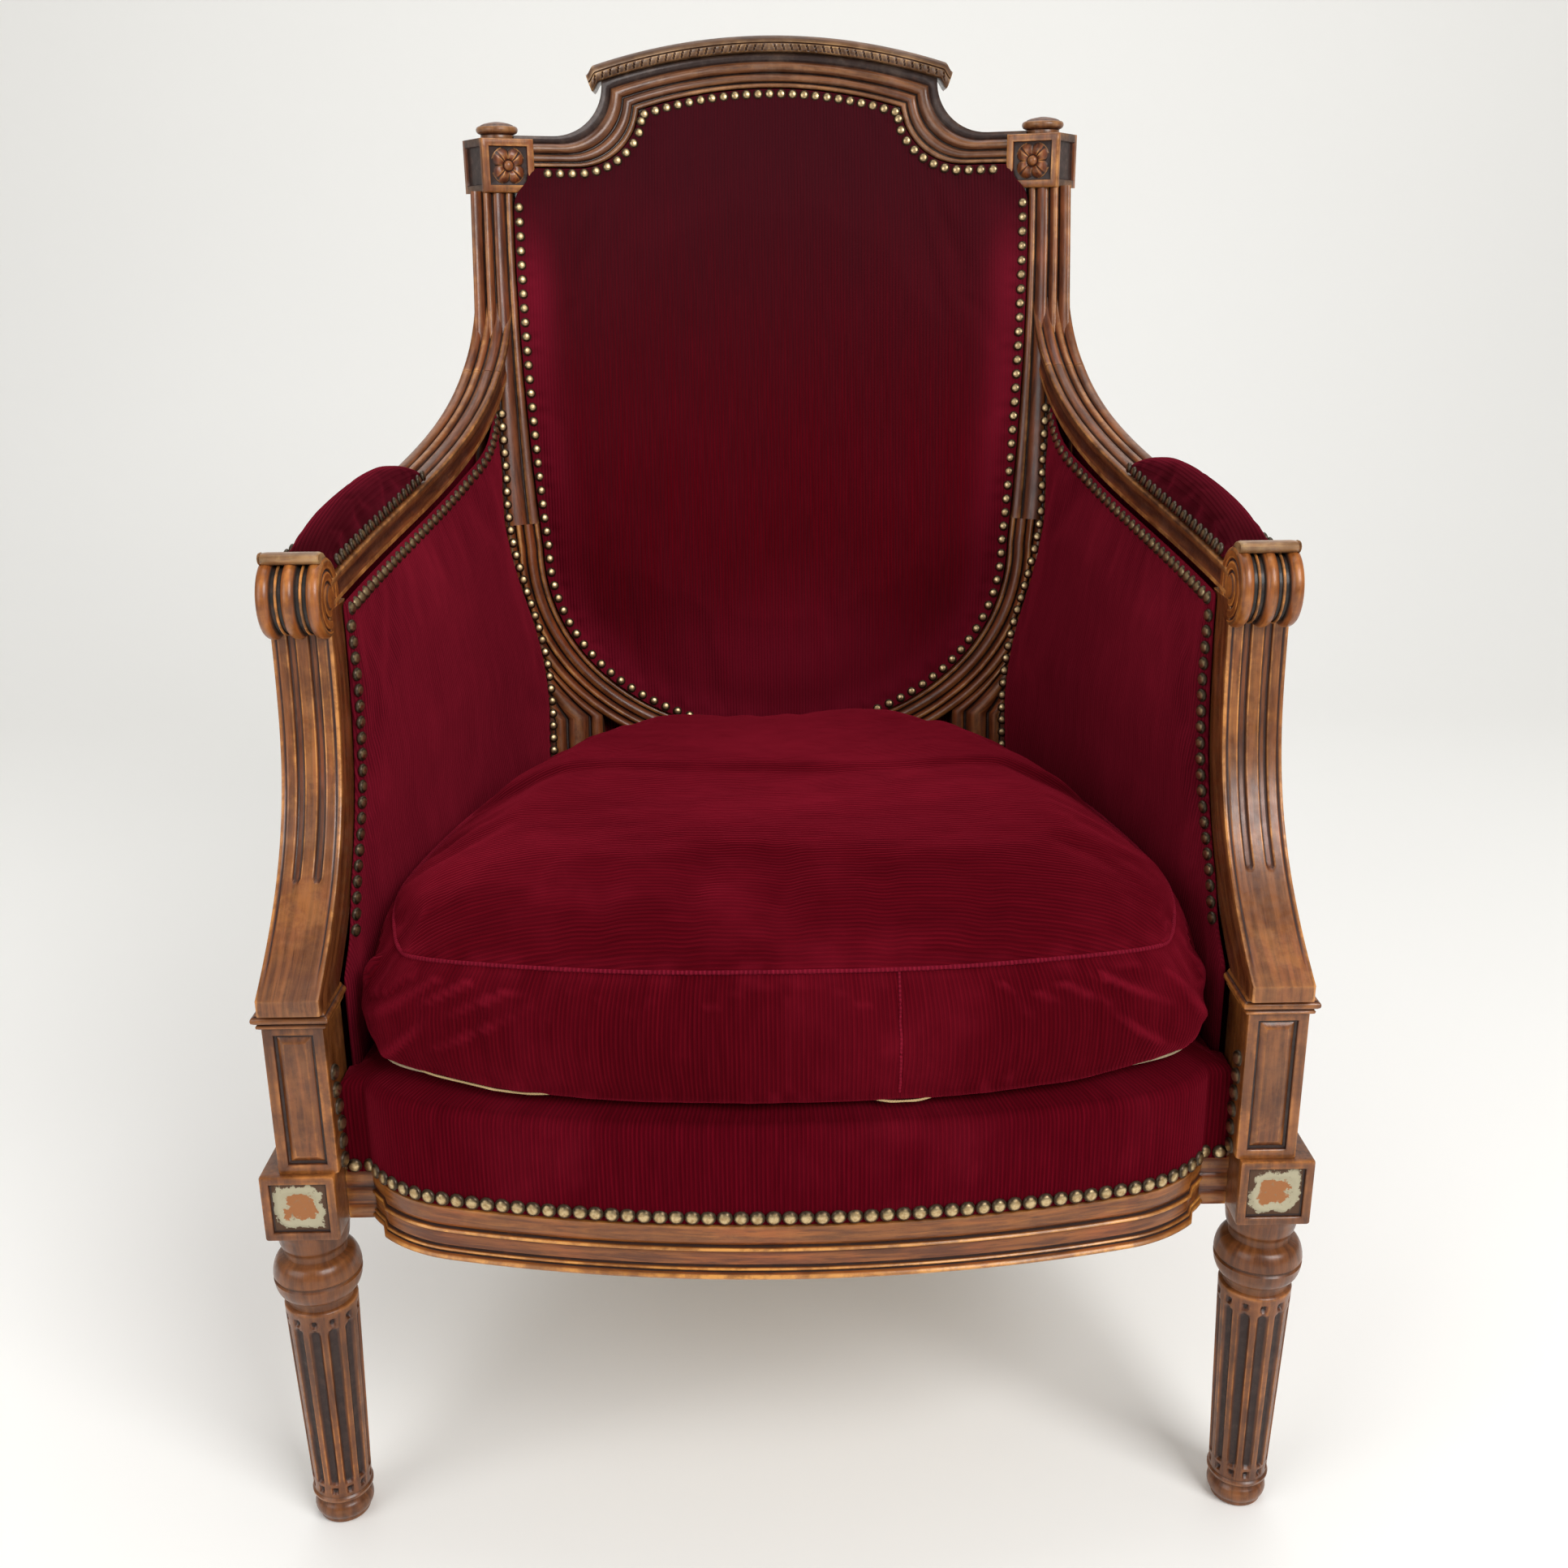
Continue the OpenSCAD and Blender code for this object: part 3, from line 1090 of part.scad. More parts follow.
function cushion_ring(e, z, shrink = 0, sag = 0) = [for (p = ring_of([for (s = cushion_shares)
        [cushion_half_w * s[0], cushion_front_y + cushion_d * s[1], s[2]]]))
    let(v = [p[0], p[1] - cushion_mid_y], q = v * (1 - e / max(norm(v), e)) * (1 - shrink))
    [q[0], q[1] + cushion_mid_y, z - cushion_sag * sag * p[2]]];
cushion_low_in = 9;
cushion_seam_in = 10;
border_mid_share = 0.45;
// Shares of the corner sag at the middle and near the top of the border
border_sag_shares = [0.3, 0.9];
// Crown: shrink towards the middle, share of the crown's height, share of the corner sag
crown_shares = [[0.04, 0.3, 0.85], [0.12, 0.62, 0.5], [0.28, 0.86, 0.2], [0.55, 0.98, 0]];
module cushion_cover() {
    seam_z = cover_low_z + cushion_border;
    rings = concat([cushion_ring(cushion_low_in, cover_low_z),
        cushion_ring(cushion_swell, cover_low_z + cushion_low_in / 2),
        cushion_ring(0, cover_low_z + cushion_border * border_mid_share, 0, border_sag_shares[0]),
            cushion_ring(cushion_swell, seam_z - cushion_low_in / 2, 0, border_sag_shares[1]),
        cushion_ring(cushion_seam_in, seam_z, 0, 1)],
        [for (s = crown_shares) cushion_ring(cushion_seam_in, seam_z + cushion_crown * s[1], s[0], s[2])]);
    color(velvet) turned([0, cushion_mid_y, cover_low_z], rings,
        [0, cushion_mid_y, seam_z + cushion_crown]);
}
module cushion_base_cloth() {
    color(linen) translate([0, 0, cushion_low_z]) linear_extrude(base_cloth_t)
        polygon([for (p = cushion_ring(cushion_low_in, 0)) [p[0], p[1]]]);
}

module front_leg_left() { side(-1) front_leg(); }
module front_leg_right() { front_leg(); }
module arm_support_left() { side(-1) arm_support(); }
module arm_support_right() { arm_support(); }
module armrest_left() { side(-1) armrest(); }
module armrest_right() { armrest(); }
module back_post_left() { side(-1) back_post(); }
module back_post_right() { back_post(); }
module finial_left() { side(-1) finial(); }
module finial_right() { finial(); }
module side_seat_rail_left() { side(-1) side_seat_rail(); }
module side_seat_rail_right() { side_seat_rail(); }
module side_pad_left() { side(-1) side_pad(); }
module side_pad_right() { side_pad(); }
module side_outer_cover_left() { side(-1) side_outer_cover(); }
module side_outer_cover_right() { side_outer_cover(); }
module arm_pad_left() { side(-1) arm_pad(); }
module arm_pad_right() { arm_pad(); }

front_leg_left();
front_leg_right();
arm_support_left();
arm_support_right();
armrest_left();
armrest_right();
back_post_left();
back_post_right();
finial_left();
finial_right();
crest_rail();
crest_cap();
back_hoop();
front_seat_rail();
side_seat_rail_left();
side_seat_rail_right();
rear_seat_rail();
corner_braces();
webbing();
seat_springs();
spring_canvas();
seat_stuffing();
seat_cover();
back_pad();
back_outer_cover();
side_pad_left();
side_pad_right();
side_outer_cover_left();
side_outer_cover_right();
arm_pad_left();
arm_pad_right();
cushion_cover();
cushion_base_cloth();
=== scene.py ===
import bpy, bmesh, math, random
import numpy as np
from mathutils import Matrix, Vector, noise


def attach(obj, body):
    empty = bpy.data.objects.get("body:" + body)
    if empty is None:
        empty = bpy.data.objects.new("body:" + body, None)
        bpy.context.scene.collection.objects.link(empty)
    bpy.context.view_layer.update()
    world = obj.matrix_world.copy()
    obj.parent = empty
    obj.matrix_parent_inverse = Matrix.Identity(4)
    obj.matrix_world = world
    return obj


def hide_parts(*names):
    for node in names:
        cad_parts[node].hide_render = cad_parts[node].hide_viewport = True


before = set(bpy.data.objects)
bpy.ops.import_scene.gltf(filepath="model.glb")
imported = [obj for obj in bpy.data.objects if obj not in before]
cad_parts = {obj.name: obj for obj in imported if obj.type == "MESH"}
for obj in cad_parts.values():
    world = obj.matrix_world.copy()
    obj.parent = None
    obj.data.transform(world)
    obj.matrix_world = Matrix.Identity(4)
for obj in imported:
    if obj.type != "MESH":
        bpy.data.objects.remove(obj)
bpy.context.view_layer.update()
print("frame loaded")

mm = 0.001
pi = math.pi
scene = bpy.context.scene

# curves of the chair, all in millimetres; a mesh becomes metres when it is made


def hump(x, middle, width):  # 1 at its middle, falling off on both sides
    return math.exp(-((x - middle) / width) ** 2)


def lerp(a, b, t):
    return a + (b - a) * t


def smooth(t):
    t = min(1.0, max(0.0, t))
    return t * t * (3 - 2 * t)


def steps(a, b, n):
    return [lerp(a, b, i / n) for i in range(n + 1)]


backForm = {"legY": -297.83, "reach": 562, "rake": 11, "bow": 55, "blockX": 230.4, "refZ": 869.25,
            "halfWidth": 202.5, "flare": 15.5, "hoopZ": 556, "hoopDrop": 173.5, "hoopWidth": 28,
            "jointZ": 577, "blockZ": 848, "relief": 4.6, "depth": 32, "crestDepth": 28}
legY = backForm["legY"]
rake = math.tan(math.radians(backForm["rake"]))


def backY(x, z):  # front face of the wood of the back
    b = backForm
    return legY + b["reach"] + rake * (z - b["refZ"]) + b["bow"] * (1 - (x / b["blockX"]) ** 2)


def innerX(z):  # wooden edge of the back panel
    b = backForm
    if z >= b["hoopZ"]:
        return b["halfWidth"] + b["flare"] * (1 - (1 - (z - b["hoopZ"]) / (b["blockZ"] - b["hoopZ"])) ** 2)
    return b["halfWidth"] * math.sqrt(max(0, 1 - ((b["hoopZ"] - z) / b["hoopDrop"]) ** 2))


def hoopOuterX(z):
    b = backForm
    if z >= b["hoopZ"]:
        return innerX(z) + b["hoopWidth"]
    drop = b["hoopDrop"] + b["hoopWidth"]
    return (b["halfWidth"] + b["hoopWidth"]) * math.sqrt(max(0, 1 - ((b["hoopZ"] - z) / drop) ** 2))


def stileNailX(z):
    return 202 + 35 * smooth((z - 420) / 180)


# shapes are dictionaries of vertices, faces, relief (1 on a bead, 0 in a groove) and flow (along, across, deep)


def ringShape(rings, relief=None, flow=None, capStart=True, capEnd=True):
    rings = np.asarray(rings, float)
    m, n = rings.shape[:2]
    faces = []
    for k in range(m - 1):
        for i in range(n):
            j = (i + 1) % n
            faces.append((k * n + i, k * n + j, (k + 1) * n + j, (k + 1) * n + i))
    if capStart:
        faces.append(tuple(range(n - 1, -1, -1)))
    if capEnd:
        faces.append(tuple((m - 1) * n + i for i in range(n)))
    verts = rings.reshape(-1, 3)
    high = np.ones(m * n) if relief is None else np.broadcast_to(np.asarray(relief, float), (m, n)).reshape(-1)
    if flow is None:
        flow = verts[:, [2, 0, 1]]
    return {"v": verts, "f": faces, "relief": high.copy(), "flow": np.asarray(flow, float).reshape(-1, 3)}


def joinShapes(shapes):
    out = {"v": [], "f": [], "relief": [], "flow": []}
    base = 0
    for s in shapes:
        out["v"].append(s["v"])
        out["relief"].append(s["relief"])
        out["flow"].append(s["flow"])
        out["f"] += [tuple(i + base for i in f) for f in s["f"]]
        base += len(s["v"])
    for key in ("v", "relief", "flow"):
        out[key] = np.concatenate(out[key])
    return out


def mirrorShape(s):
    return {**s, "v": s["v"] * [-1, 1, 1], "f": [tuple(reversed(f)) for f in s["f"]], "flow": s["flow"] + [37, 11, 5]}


def bothHands(shape):
    return ("Right", shape), ("Left", mirrorShape(shape))


def placeShape(s, matrix):
    v = np.c_[s["v"], np.ones(len(s["v"]))] @ np.array(matrix).T
    return {**s, "v": v[:, :3]}


def setFloats(mesh, name, values):
    mesh.attributes.new(name, "FLOAT", "POINT").data.foreach_set("value", np.asarray(values, np.float32))


def setVectors(mesh, name, values):
    mesh.attributes.new(name, "FLOAT_VECTOR", "POINT").data.foreach_set("vector",
            np.asarray(values, np.float32).reshape(-1))


def arrayOf(items, name, width, kind=np.float32):
    out = np.empty(len(items) * width, kind)
    items.foreach_get(name, out)
    return out.reshape(-1, width) if width > 1 else out


def runOf(points):  # distance along a line to each of its points
    return np.r_[0, np.cumsum(np.linalg.norm(np.diff(points, axis=0), axis=1))]


def smoothFaces(mesh):
    mesh.polygons.foreach_set("use_smooth", np.ones(len(mesh.polygons), bool))


def newObject(name, data):
    made = bpy.data.objects.new(name, data)
    scene.collection.objects.link(made)
    return made


def finalMesh(piece):  # with its modifiers done
    return bpy.data.meshes.new_from_object(piece.evaluated_get(bpy.context.evaluated_depsgraph_get()))


def bendOf(mesh, passes=2):  # above 0 on ridges, below in hollows
    n = len(mesh.vertices)
    co, no = arrayOf(mesh.vertices, "co", 3), arrayOf(mesh.vertices, "normal", 3)
    a, b = arrayOf(mesh.edges, "vertices", 2, np.int32).T
    d = co[b] - co[a]
    length = np.maximum(np.linalg.norm(d, axis=1), 2e-4)
    count = np.bincount(a, minlength=n) + np.bincount(b, minlength=n) + 1e-6
    k = (np.bincount(a, -(no[a] * d).sum(1) / length ** 2, n) + np.bincount(b, (no[b] * d).sum(1) / length ** 2, n)) / count
    k = np.clip(k * 2 / 500, -1, 1)
    for _ in range(passes):
        k = 0.5 * k + 0.5 * (np.bincount(a, k[b], n) + np.bincount(b, k[a], n)) / count
    return k


def addPiece(name, shape, material, body="frame", replaced=(), angle=38, uv=None):
    mesh = bpy.data.meshes.new(name)
    mesh.from_pydata((shape["v"] * mm).tolist(), [], shape["f"])
    bm = bmesh.new()
    bm.from_mesh(mesh)
    bmesh.ops.triangulate(bm, faces=[f for f in bm.faces if len(f.verts) > 4])
    bmesh.ops.recalc_face_normals(bm, faces=bm.faces)
    bm.to_mesh(mesh)
    bm.free()
    smoothFaces(mesh)
    mesh.set_sharp_from_angle(angle=math.radians(angle))
    setFloats(mesh, "relief", shape["relief"])
    setVectors(mesh, "flow", shape["flow"] * mm)
    setFloats(mesh, "bend", bendOf(mesh))
    if uv is not None:
        loops = arrayOf(mesh.loops, "vertex_index", 1, np.int32)
        layer = mesh.uv_layers.new(name="cloth")
        layer.data.foreach_set("uv", (np.asarray(uv, np.float32)[loops] * mm).reshape(-1))
    mesh.materials.append(material)
    piece = newObject(name, mesh)
    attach(piece, body)
    if replaced:
        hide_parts(*replaced)
    return piece


# camera, floor and lamps

viewSet = {"place": (-0.0097, -1.178, 0.7983), "yaw": 0.0107, "dip": 0.3194, "roll": -0.0102, "lens": 36 * 1981.45 / 1932}


def addCamera():
    yaw, dip, roll = viewSet["yaw"], viewSet["dip"], viewSet["roll"]
    ahead = Vector((math.sin(yaw) * math.cos(dip), math.cos(yaw) * math.cos(dip), -math.sin(dip)))
    right = Vector((math.cos(yaw), -math.sin(yaw), 0))
    up = right.cross(ahead)
    r2 = math.cos(roll) * right + math.sin(roll) * up
    u2 = -math.sin(roll) * right + math.cos(roll) * up
    data = bpy.data.cameras.new("photoCamera")
    data.lens, data.sensor_width, data.sensor_fit = viewSet["lens"], 36, "HORIZONTAL"
    data.clip_start, data.clip_end = 0.05, 60
    cam = newObject("photoCamera", data)
    cam.matrix_world = Matrix((r2, u2, -ahead)).transposed().to_4x4()
    cam.location = viewSet["place"]
    scene.camera = cam


def link(source, target):
    target.id_data.links.new(source, target)


def node(tree, kind, **values):
    made = tree.nodes.new(kind)
    for key, value in values.items():
        if hasattr(made, key):
            setattr(made, key, value)
        else:
            made.inputs[key.replace("_", " ")].default_value = value
    return made


def addBump(shader, height, strength, distance):
    bump = node(shader.id_data, "ShaderNodeBump", Strength=strength, Distance=distance)
    link(height, bump.inputs["Height"])
    link(bump.outputs["Normal"], shader.inputs["Normal"])


def newMaterial(name):
    mat = bpy.data.materials.new(name)
    mat.use_nodes = True
    tree = mat.node_tree
    shader = tree.nodes["Principled BSDF"]
    return mat, tree, shader


lightSet = {"world": 0.44, "key": 34, "fill": 12, "top": 12}


def addStage():
    floorMat, tree, shader = newMaterial("paleFloor")
    shader.inputs["Roughness"].default_value = 0.85
    shader.inputs["Specular IOR Level"].default_value = 0.1
    place = node(tree, "ShaderNodeTexCoord").outputs["Object"]
    cloud = node(tree, "ShaderNodeTexNoise", Scale=0.8, Detail=2.0)
    ramp = node(tree, "ShaderNodeValToRGB")
    ramp.color_ramp.elements[0].color = (0.90, 0.89, 0.865, 1)
    ramp.color_ramp.elements[1].color = (0.93, 0.925, 0.90, 1)
    link(place, cloud.inputs["Vector"])
    link(cloud.outputs["Fac"], ramp.inputs["Fac"])
    link(ramp.outputs["Color"], shader.inputs["Base Color"])
    bm = bmesh.new()
    rows = [(-3.2, 0), (0, 0), (1.6, 0)] + [(1.6 + 1.2 * math.sin(a), 1.2 - 1.2 * math.cos(a))
                                            for a in steps(0.1, pi / 2, 12)] + [(2.8, 4.5)]
    lines = [[bm.verts.new((x, y, z - 0.0005)) for x in (-5, 0, 5)] for y, z in rows]
    for a, b in zip(lines, lines[1:]):
        for i in range(2):
            bm.faces.new((a[i], a[i + 1], b[i + 1], b[i]))
    mesh = bpy.data.meshes.new("floor")
    bm.to_mesh(mesh)
    bm.free()
    smoothFaces(mesh)
    mesh.materials.append(floorMat)
    floor = newObject("floor", mesh)


def addLamp(name, place, aim, size, watts):
    data = bpy.data.lights.new(name, "AREA")
    data.shape, data.size, data.energy = "SQUARE", size, watts
    lamp = newObject(name, data)
    lamp.location = place
    lamp.rotation_mode = "QUATERNION"
    lamp.rotation_quaternion = (Vector(aim) - Vector(place)).to_track_quat("-Z", "Y")


def addLight():
    world = bpy.data.worlds.new("studio")
    world.use_nodes = True
    scene.world = world
    tree = world.node_tree
    back = tree.nodes["Background"]
    rays = node(tree, "ShaderNodeLightPath")
    both = node(tree, "ShaderNodeMath", operation="MAXIMUM")
    glow = node(tree, "ShaderNodeMapRange")
    glow.inputs["To Min"].default_value = lightSet["world"]
    glow.inputs["To Max"].default_value = 0.84
    link(rays.outputs["Is Camera Ray"], both.inputs[0])
    link(rays.outputs["Is Transmission Ray"], both.inputs[1])
    link(both.outputs[0], glow.inputs["Value"])
    dim = maths(tree, "SUBTRACT", 1.0, times(tree, rays.outputs["Is Glossy Ray"], 0.55))
    link(times(tree, glow.outputs[0], dim), back.inputs["Strength"])
    back.inputs["Color"].default_value = (1, 0.995, 0.98, 1)
    addLamp("keyLamp", (1.5, -2.2, 2.3), (0, 0, 0.5), 1.6, lightSet["key"] * 2.2)
    addLamp("fillLamp", (-2.0, -1.9, 1.6), (0, 0, 0.5), 1.8, lightSet["fill"] * 2.2)
    addLamp("topLamp", (0, 0.6, 3.0), (0, 0, 0.4), 2.2, lightSet["top"] * 2.2)
    scene.view_settings.view_transform = "Standard"


addCamera()
addStage()

# aged, stained and waxed wood


def newGroup(name, inputs, outputs):
    tree = bpy.data.node_groups.new(name, "ShaderNodeTree")
    for label, kind, value in inputs:
        made = tree.interface.new_socket(name=label, in_out="INPUT", socket_type=kind)
        if value is not None:
            made.default_value = value
    for label, kind in outputs:
        tree.interface.new_socket(name=label, in_out="OUTPUT", socket_type=kind)
    return tree, tree.nodes.new("NodeGroupInput"), tree.nodes.new("NodeGroupOutput")


def give(socket, value):  # a constant, or the output of another node
    if isinstance(value, bpy.types.NodeSocket):
        link(value, socket)
    else:
        socket.default_value = value


def maths(tree, what, a, b=None, clamp=False):
    made = tree.nodes.new("ShaderNodeMath")
    made.operation = what
    made.use_clamp = clamp
    give(made.inputs[0], a)
    if b is not None:
        give(made.inputs[1], b)
    return made.outputs[0]


def times(tree, a, b, clamp=False):
    return maths(tree, "MULTIPLY", a, b, clamp)


def plus(tree, a, b, clamp=False):
    return maths(tree, "ADD", a, b, clamp)


def remap(tree, value, a, b, c=0.0, d=1.0):
    made = tree.nodes.new("ShaderNodeMapRange")
    made.interpolation_type = "SMOOTHSTEP"
    for i, v in enumerate((a, b, c, d)):
        made.inputs[i + 1].default_value = v
    link(value, made.inputs[0])
    return made.outputs[0]


def blend(tree, share, a, b, mode="MIX"):
    made = tree.nodes.new("ShaderNodeMix")
    made.data_type, made.blend_type = "RGBA", mode
    for i, value in ((0, share), (6, a), (7, b)):
        give(made.inputs[i], value)
    return made.outputs[2]


def noiseOf(tree, vector, scale, detail=4.0, rough=0.55, stretch=None, warp=0.0):
    if stretch:
        turn = tree.nodes.new("ShaderNodeMapping")
        turn.inputs["Scale"].default_value = stretch
        link(vector, turn.inputs["Vector"])
        vector = turn.outputs["Vector"]
    made = node(tree, "ShaderNodeTexNoise", Scale=scale, Detail=detail, Roughness=rough, Distortion=warp)
    link(vector, made.inputs["Vector"])
    return made.outputs["Fac"]


addLight()
print("camera, floor and lamps ready")


def buildAgedWood():
    tree, i, o = newGroup("agedWood", [
        ("Flow", "NodeSocketVector", None), ("Place", "NodeSocketVector", None), ("Relief", "NodeSocketFloat", 1.0),
        ("Bend", "NodeSocketFloat", 0.0), ("Stain", "NodeSocketColor", (0.16, 0.05, 0.02, 1)),
        ("Worn", "NodeSocketColor", (0.5, 0.26, 0.1, 1)), ("Deep", "NodeSocketColor", (0.02, 0.006, 0.003, 1)),
        ("Dust", "NodeSocketColor", (0.3, 0.24, 0.19, 1)), ("Wear", "NodeSocketFloat", 0.5),
        ("Dusting", "NodeSocketFloat", 0.2)], [("Color", "NodeSocketColor"), ("Roughness", "NodeSocketFloat"),
                                               ("Height", "NodeSocketFloat")])
    flow, place = i.outputs["Flow"], i.outputs["Place"]
    grain = noiseOf(tree, flow, 1.0, 5, 0.6, stretch=(22, 260, 260), warp=0.4)
    pores = noiseOf(tree, flow, 1.0, 2, 0.5, stretch=(90, 1400, 1400))
    cloud = noiseOf(tree, place, 17, 4, 0.6)
    fine = noiseOf(tree, place, 160, 4, 0.65)
    chips = noiseOf(tree, place, 60, 6, 0.7)
    tone = blend(tree, remap(tree, grain, 0.35, 0.68), blend(tree, 1.0, i.outputs["Stain"], (0.5, 0.42, 0.38, 1),
                                                             "MULTIPLY"),
                 blend(tree, 1.0, i.outputs["Stain"], (1.35, 1.4, 1.4, 1), "MULTIPLY"))
    tone = blend(tree, remap(tree, cloud, 0.42, 0.7, 0, 0.55), tone,
                 blend(tree, 1.0, tone, (1.35, 0.95, 0.8, 1), "MULTIPLY"))
    tone = blend(tree, remap(tree, pores, 0.6, 0.72, 0, 0.45), tone, i.outputs["Deep"])
    # grooves (low relief) and hollows (negative bend) are darkened towards Deep: painted shade, together with the dark
    # grime old wood keeps in its grooves
    grooveGrimeAndShade = plus(tree, remap(tree, i.outputs["Relief"], 0.05, 0.62, 1, 0),
                   remap(tree, i.outputs["Bend"], -0.06, -0.45, 0, 0.8), clamp=True)
    grooveGrimeAndShade = times(tree, grooveGrimeAndShade, remap(tree, fine, 0.2, 0.55, 0.72, 1), clamp=True)
    tone = blend(tree, grooveGrimeAndShade, tone, i.outputs["Deep"])
    rub = plus(tree, remap(tree, i.outputs["Bend"], 0.10, 0.62), remap(tree, i.outputs["Relief"], 0.8, 1.0, 0, 0.3))
    patch = times(tree, remap(tree, cloud, 0.34, 0.62, 0.35, 1.2), remap(tree, chips, 0.4, 0.62, 0.35, 1.1))
    rub = times(tree, rub, times(tree, patch, i.outputs["Wear"]), clamp=True)
    tone = blend(tree, rub, tone, i.outputs["Worn"])
    grey = times(tree, remap(tree, noiseOf(tree, place, 34, 5, 0.7), 0.45, 0.75), i.outputs["Dusting"], clamp=True)
    tone = blend(tree, grey, tone, i.outputs["Dust"])
    link(tone, o.inputs["Color"])
    rough = plus(tree, remap(tree, fine, 0.3, 0.7, 0.28, 0.44), times(tree, grooveGrimeAndShade, 0.25), clamp=True)
    link(rough, o.inputs["Roughness"])
    height = plus(tree, times(tree, grain, 0.35),
                   plus(tree, times(tree, pores, -0.3), times(tree, chips, 0.8)))
    link(height, o.inputs["Height"])
    return tree


agedWood = buildAgedWood()


# deep is the dark of the pores, and of grooves and hollows, where it is painted shade together with grime
def makeWood(name, stain, worn=(0.50, 0.24, 0.085), deep=(0.022, 0.007, 0.004), dust=(0.33, 0.25, 0.19), wear=0.6,
             dusting=0.2, cad=False):
    mat, tree, shader = newMaterial(name)
    group = tree.nodes.new("ShaderNodeGroup")
    group.node_tree = agedWood
    place = node(tree, "ShaderNodeTexCoord").outputs["Object"]
    link(place, group.inputs["Place"])
    if cad:  # a carried-over node has no attributes of its own
        link(place, group.inputs["Flow"])
    else:
        for label, kind in (("flow", "Vector"), ("relief", "Fac"), ("bend", "Fac")):
            got = node(tree, "ShaderNodeAttribute", attribute_name=label)
            link(got.outputs[kind], group.inputs[label.capitalize()])
    for label, value in (("Stain", stain), ("Worn", worn), ("Deep", deep), ("Dust", dust)):
        group.inputs[label].default_value = (*value, 1)
    group.inputs["Wear"].default_value = wear
    group.inputs["Dusting"].default_value = dusting
    if cad:
        group.inputs["Relief"].default_value = 0.75
    addBump(shader, group.outputs["Height"], 0.35, 0.0006)
    link(group.outputs["Color"], shader.inputs["Base Color"])
    link(group.outputs["Roughness"], shader.inputs["Roughness"])
    shader.inputs["Specular IOR Level"].default_value = 0.4
    shader.inputs["Coat Weight"].default_value = 0.22
    shader.inputs["Coat Roughness"].default_value = 0.2
    return mat


woodHoop = makeWood("woodHoop", (0.148, 0.0353, 0.0084), worn=(0.530, 0.2232, 0.0560), wear=0.7, dusting=0.024)
woodCrest = makeWood("woodCrest", (0.138, 0.0484, 0.0182), worn=(0.469, 0.2232, 0.0770), wear=0.65, dusting=0.180)
woodCap = makeWood("woodCap", (0.087, 0.0372, 0.0154), worn=(0.428, 0.2418, 0.0980), wear=1.0, dusting=0.180)
woodArm = makeWood("woodArm", (0.133, 0.0391, 0.0105), worn=(0.561, 0.2325, 0.0595), wear=0.75, dusting=0.072)
woodScroll = makeWood("woodScroll", (0.204, 0.0558, 0.0112), worn=(0.632, 0.2418, 0.0490), deep=(0.016, 0.012, 0.010),
                      wear=0.9, dusting=0.036)
woodLip = makeWood("woodLip", (0.204, 0.0930, 0.0350), worn=(0.469, 0.2976, 0.1260), wear=0.6, dusting=0.240)
woodLeg = makeWood("woodLeg", (0.104, 0.0300, 0.0070), worn=(0.470, 0.1700, 0.0350), wear=0.65, dusting=0.048)
woodFrontRail = makeWood("woodFrontRail", (0.185, 0.0550, 0.0095), worn=(0.620, 0.2700, 0.0550), wear=0.85, dusting=0.024)
woodPost = makeWood("woodPost", (0.148, 0.0391, 0.0105), worn=(0.551, 0.2418, 0.0700), wear=0.75, dusting=0.048)
woodPlain = makeWood("woodPlain", (0.173, 0.0651, 0.0238), wear=0.5, dusting=0.180, cad=True)
woodInner = makeWood("woodInner", (0.34, 0.21, 0.11), dust=(0.4, 0.33, 0.25), wear=0.4, dusting=0.4, cad=True)
print("wood finishes ready")

# profiles across a moulding: beads are half rounds between two depths, given as shares of the relief


def beadLine(beads, n=9):
    line = []
    for s0, s1, edge0, top, edge1 in beads:
        for k in range(n + 1):
            u = -math.cos(pi * k / n)
            edge = edge0 if u < 0 else edge1
            line.append((lerp(s0, s1, (u + 1) / 2), edge + (top - edge) * (1 - u * u) ** 0.5))
    return line


bandLine = beadLine([(0, 0.17, 0.95, 0.42, 1.05), (0.19, 0.485, 1.1, 0.18, 1.1), (0.505, 0.715, 1.1, 0.0, 1.1),
                     (0.735, 1, 1.1, 0.05, 0.95)])
stileLine = beadLine([(0, 0.16, 0.9, 0.1, 1.05), (0.18, 0.455, 1.1, 0, 1.1), (0.475, 0.615, 1.1, 0.1, 0.9)])
stileLine += [(0.635, 0.6), (0.82, 0.6), (1, 0.6)]
crestLine = beadLine([(0, 0.15, 0.95, 0.3, 1.1), (0.17, 0.42, 1.1, 0.25, 1.1), (0.44, 0.76, 1.1, -0.05, 1.1)])
crestLine += [(0.78, 1.25), (0.84, 0.98), (0.92, 0.85), (1, 0.95)]


def shareRelief(line):
    return [min(1, max(0, 1 - d)) for _, d in line]


def backLoft(pairs, line, depth):
    rings, flows, high, run, last = [], [], [], 0, None
    mid = shareRelief(line)
    for (ax, az), (bx, bz) in pairs:
        width = math.hypot(bx - ax, bz - az)
        ring = []
        for s, d in line:
            x, z = lerp(ax, bx, s), lerp(az, bz, s)
            ring.append((x, backY(x, z) + backForm["relief"] * d, z))
        rim = 2.5 / max(width, 5)
        for s, d in ((1, depth - 2.5), (1 - rim, depth), (0.5, depth), (rim, depth), (0, depth - 2.5)):
            x, z = lerp(ax, bx, s), lerp(az, bz, s)
            ring.append((x, backY(x, z) + d, z))
        here = Vector(((ax + bx) / 2, (az + bz) / 2))
        run += (here - last).length if last else 0
        last = here
        flows.append([(run, s * width, 0) for s, _ in line] + [(run, s * width, 20) for s in (1, 0.9, 0.5, 0.1, 0)])
        high.append(mid + [0.7, 0.9, 0.8, 0.9, 0.7])
        rings.append(ring)
    return ringShape(rings, high, flows)


def mirrorPath(points):
    return [(-x, z) for x, z in points[:0:-1]] + list(points)


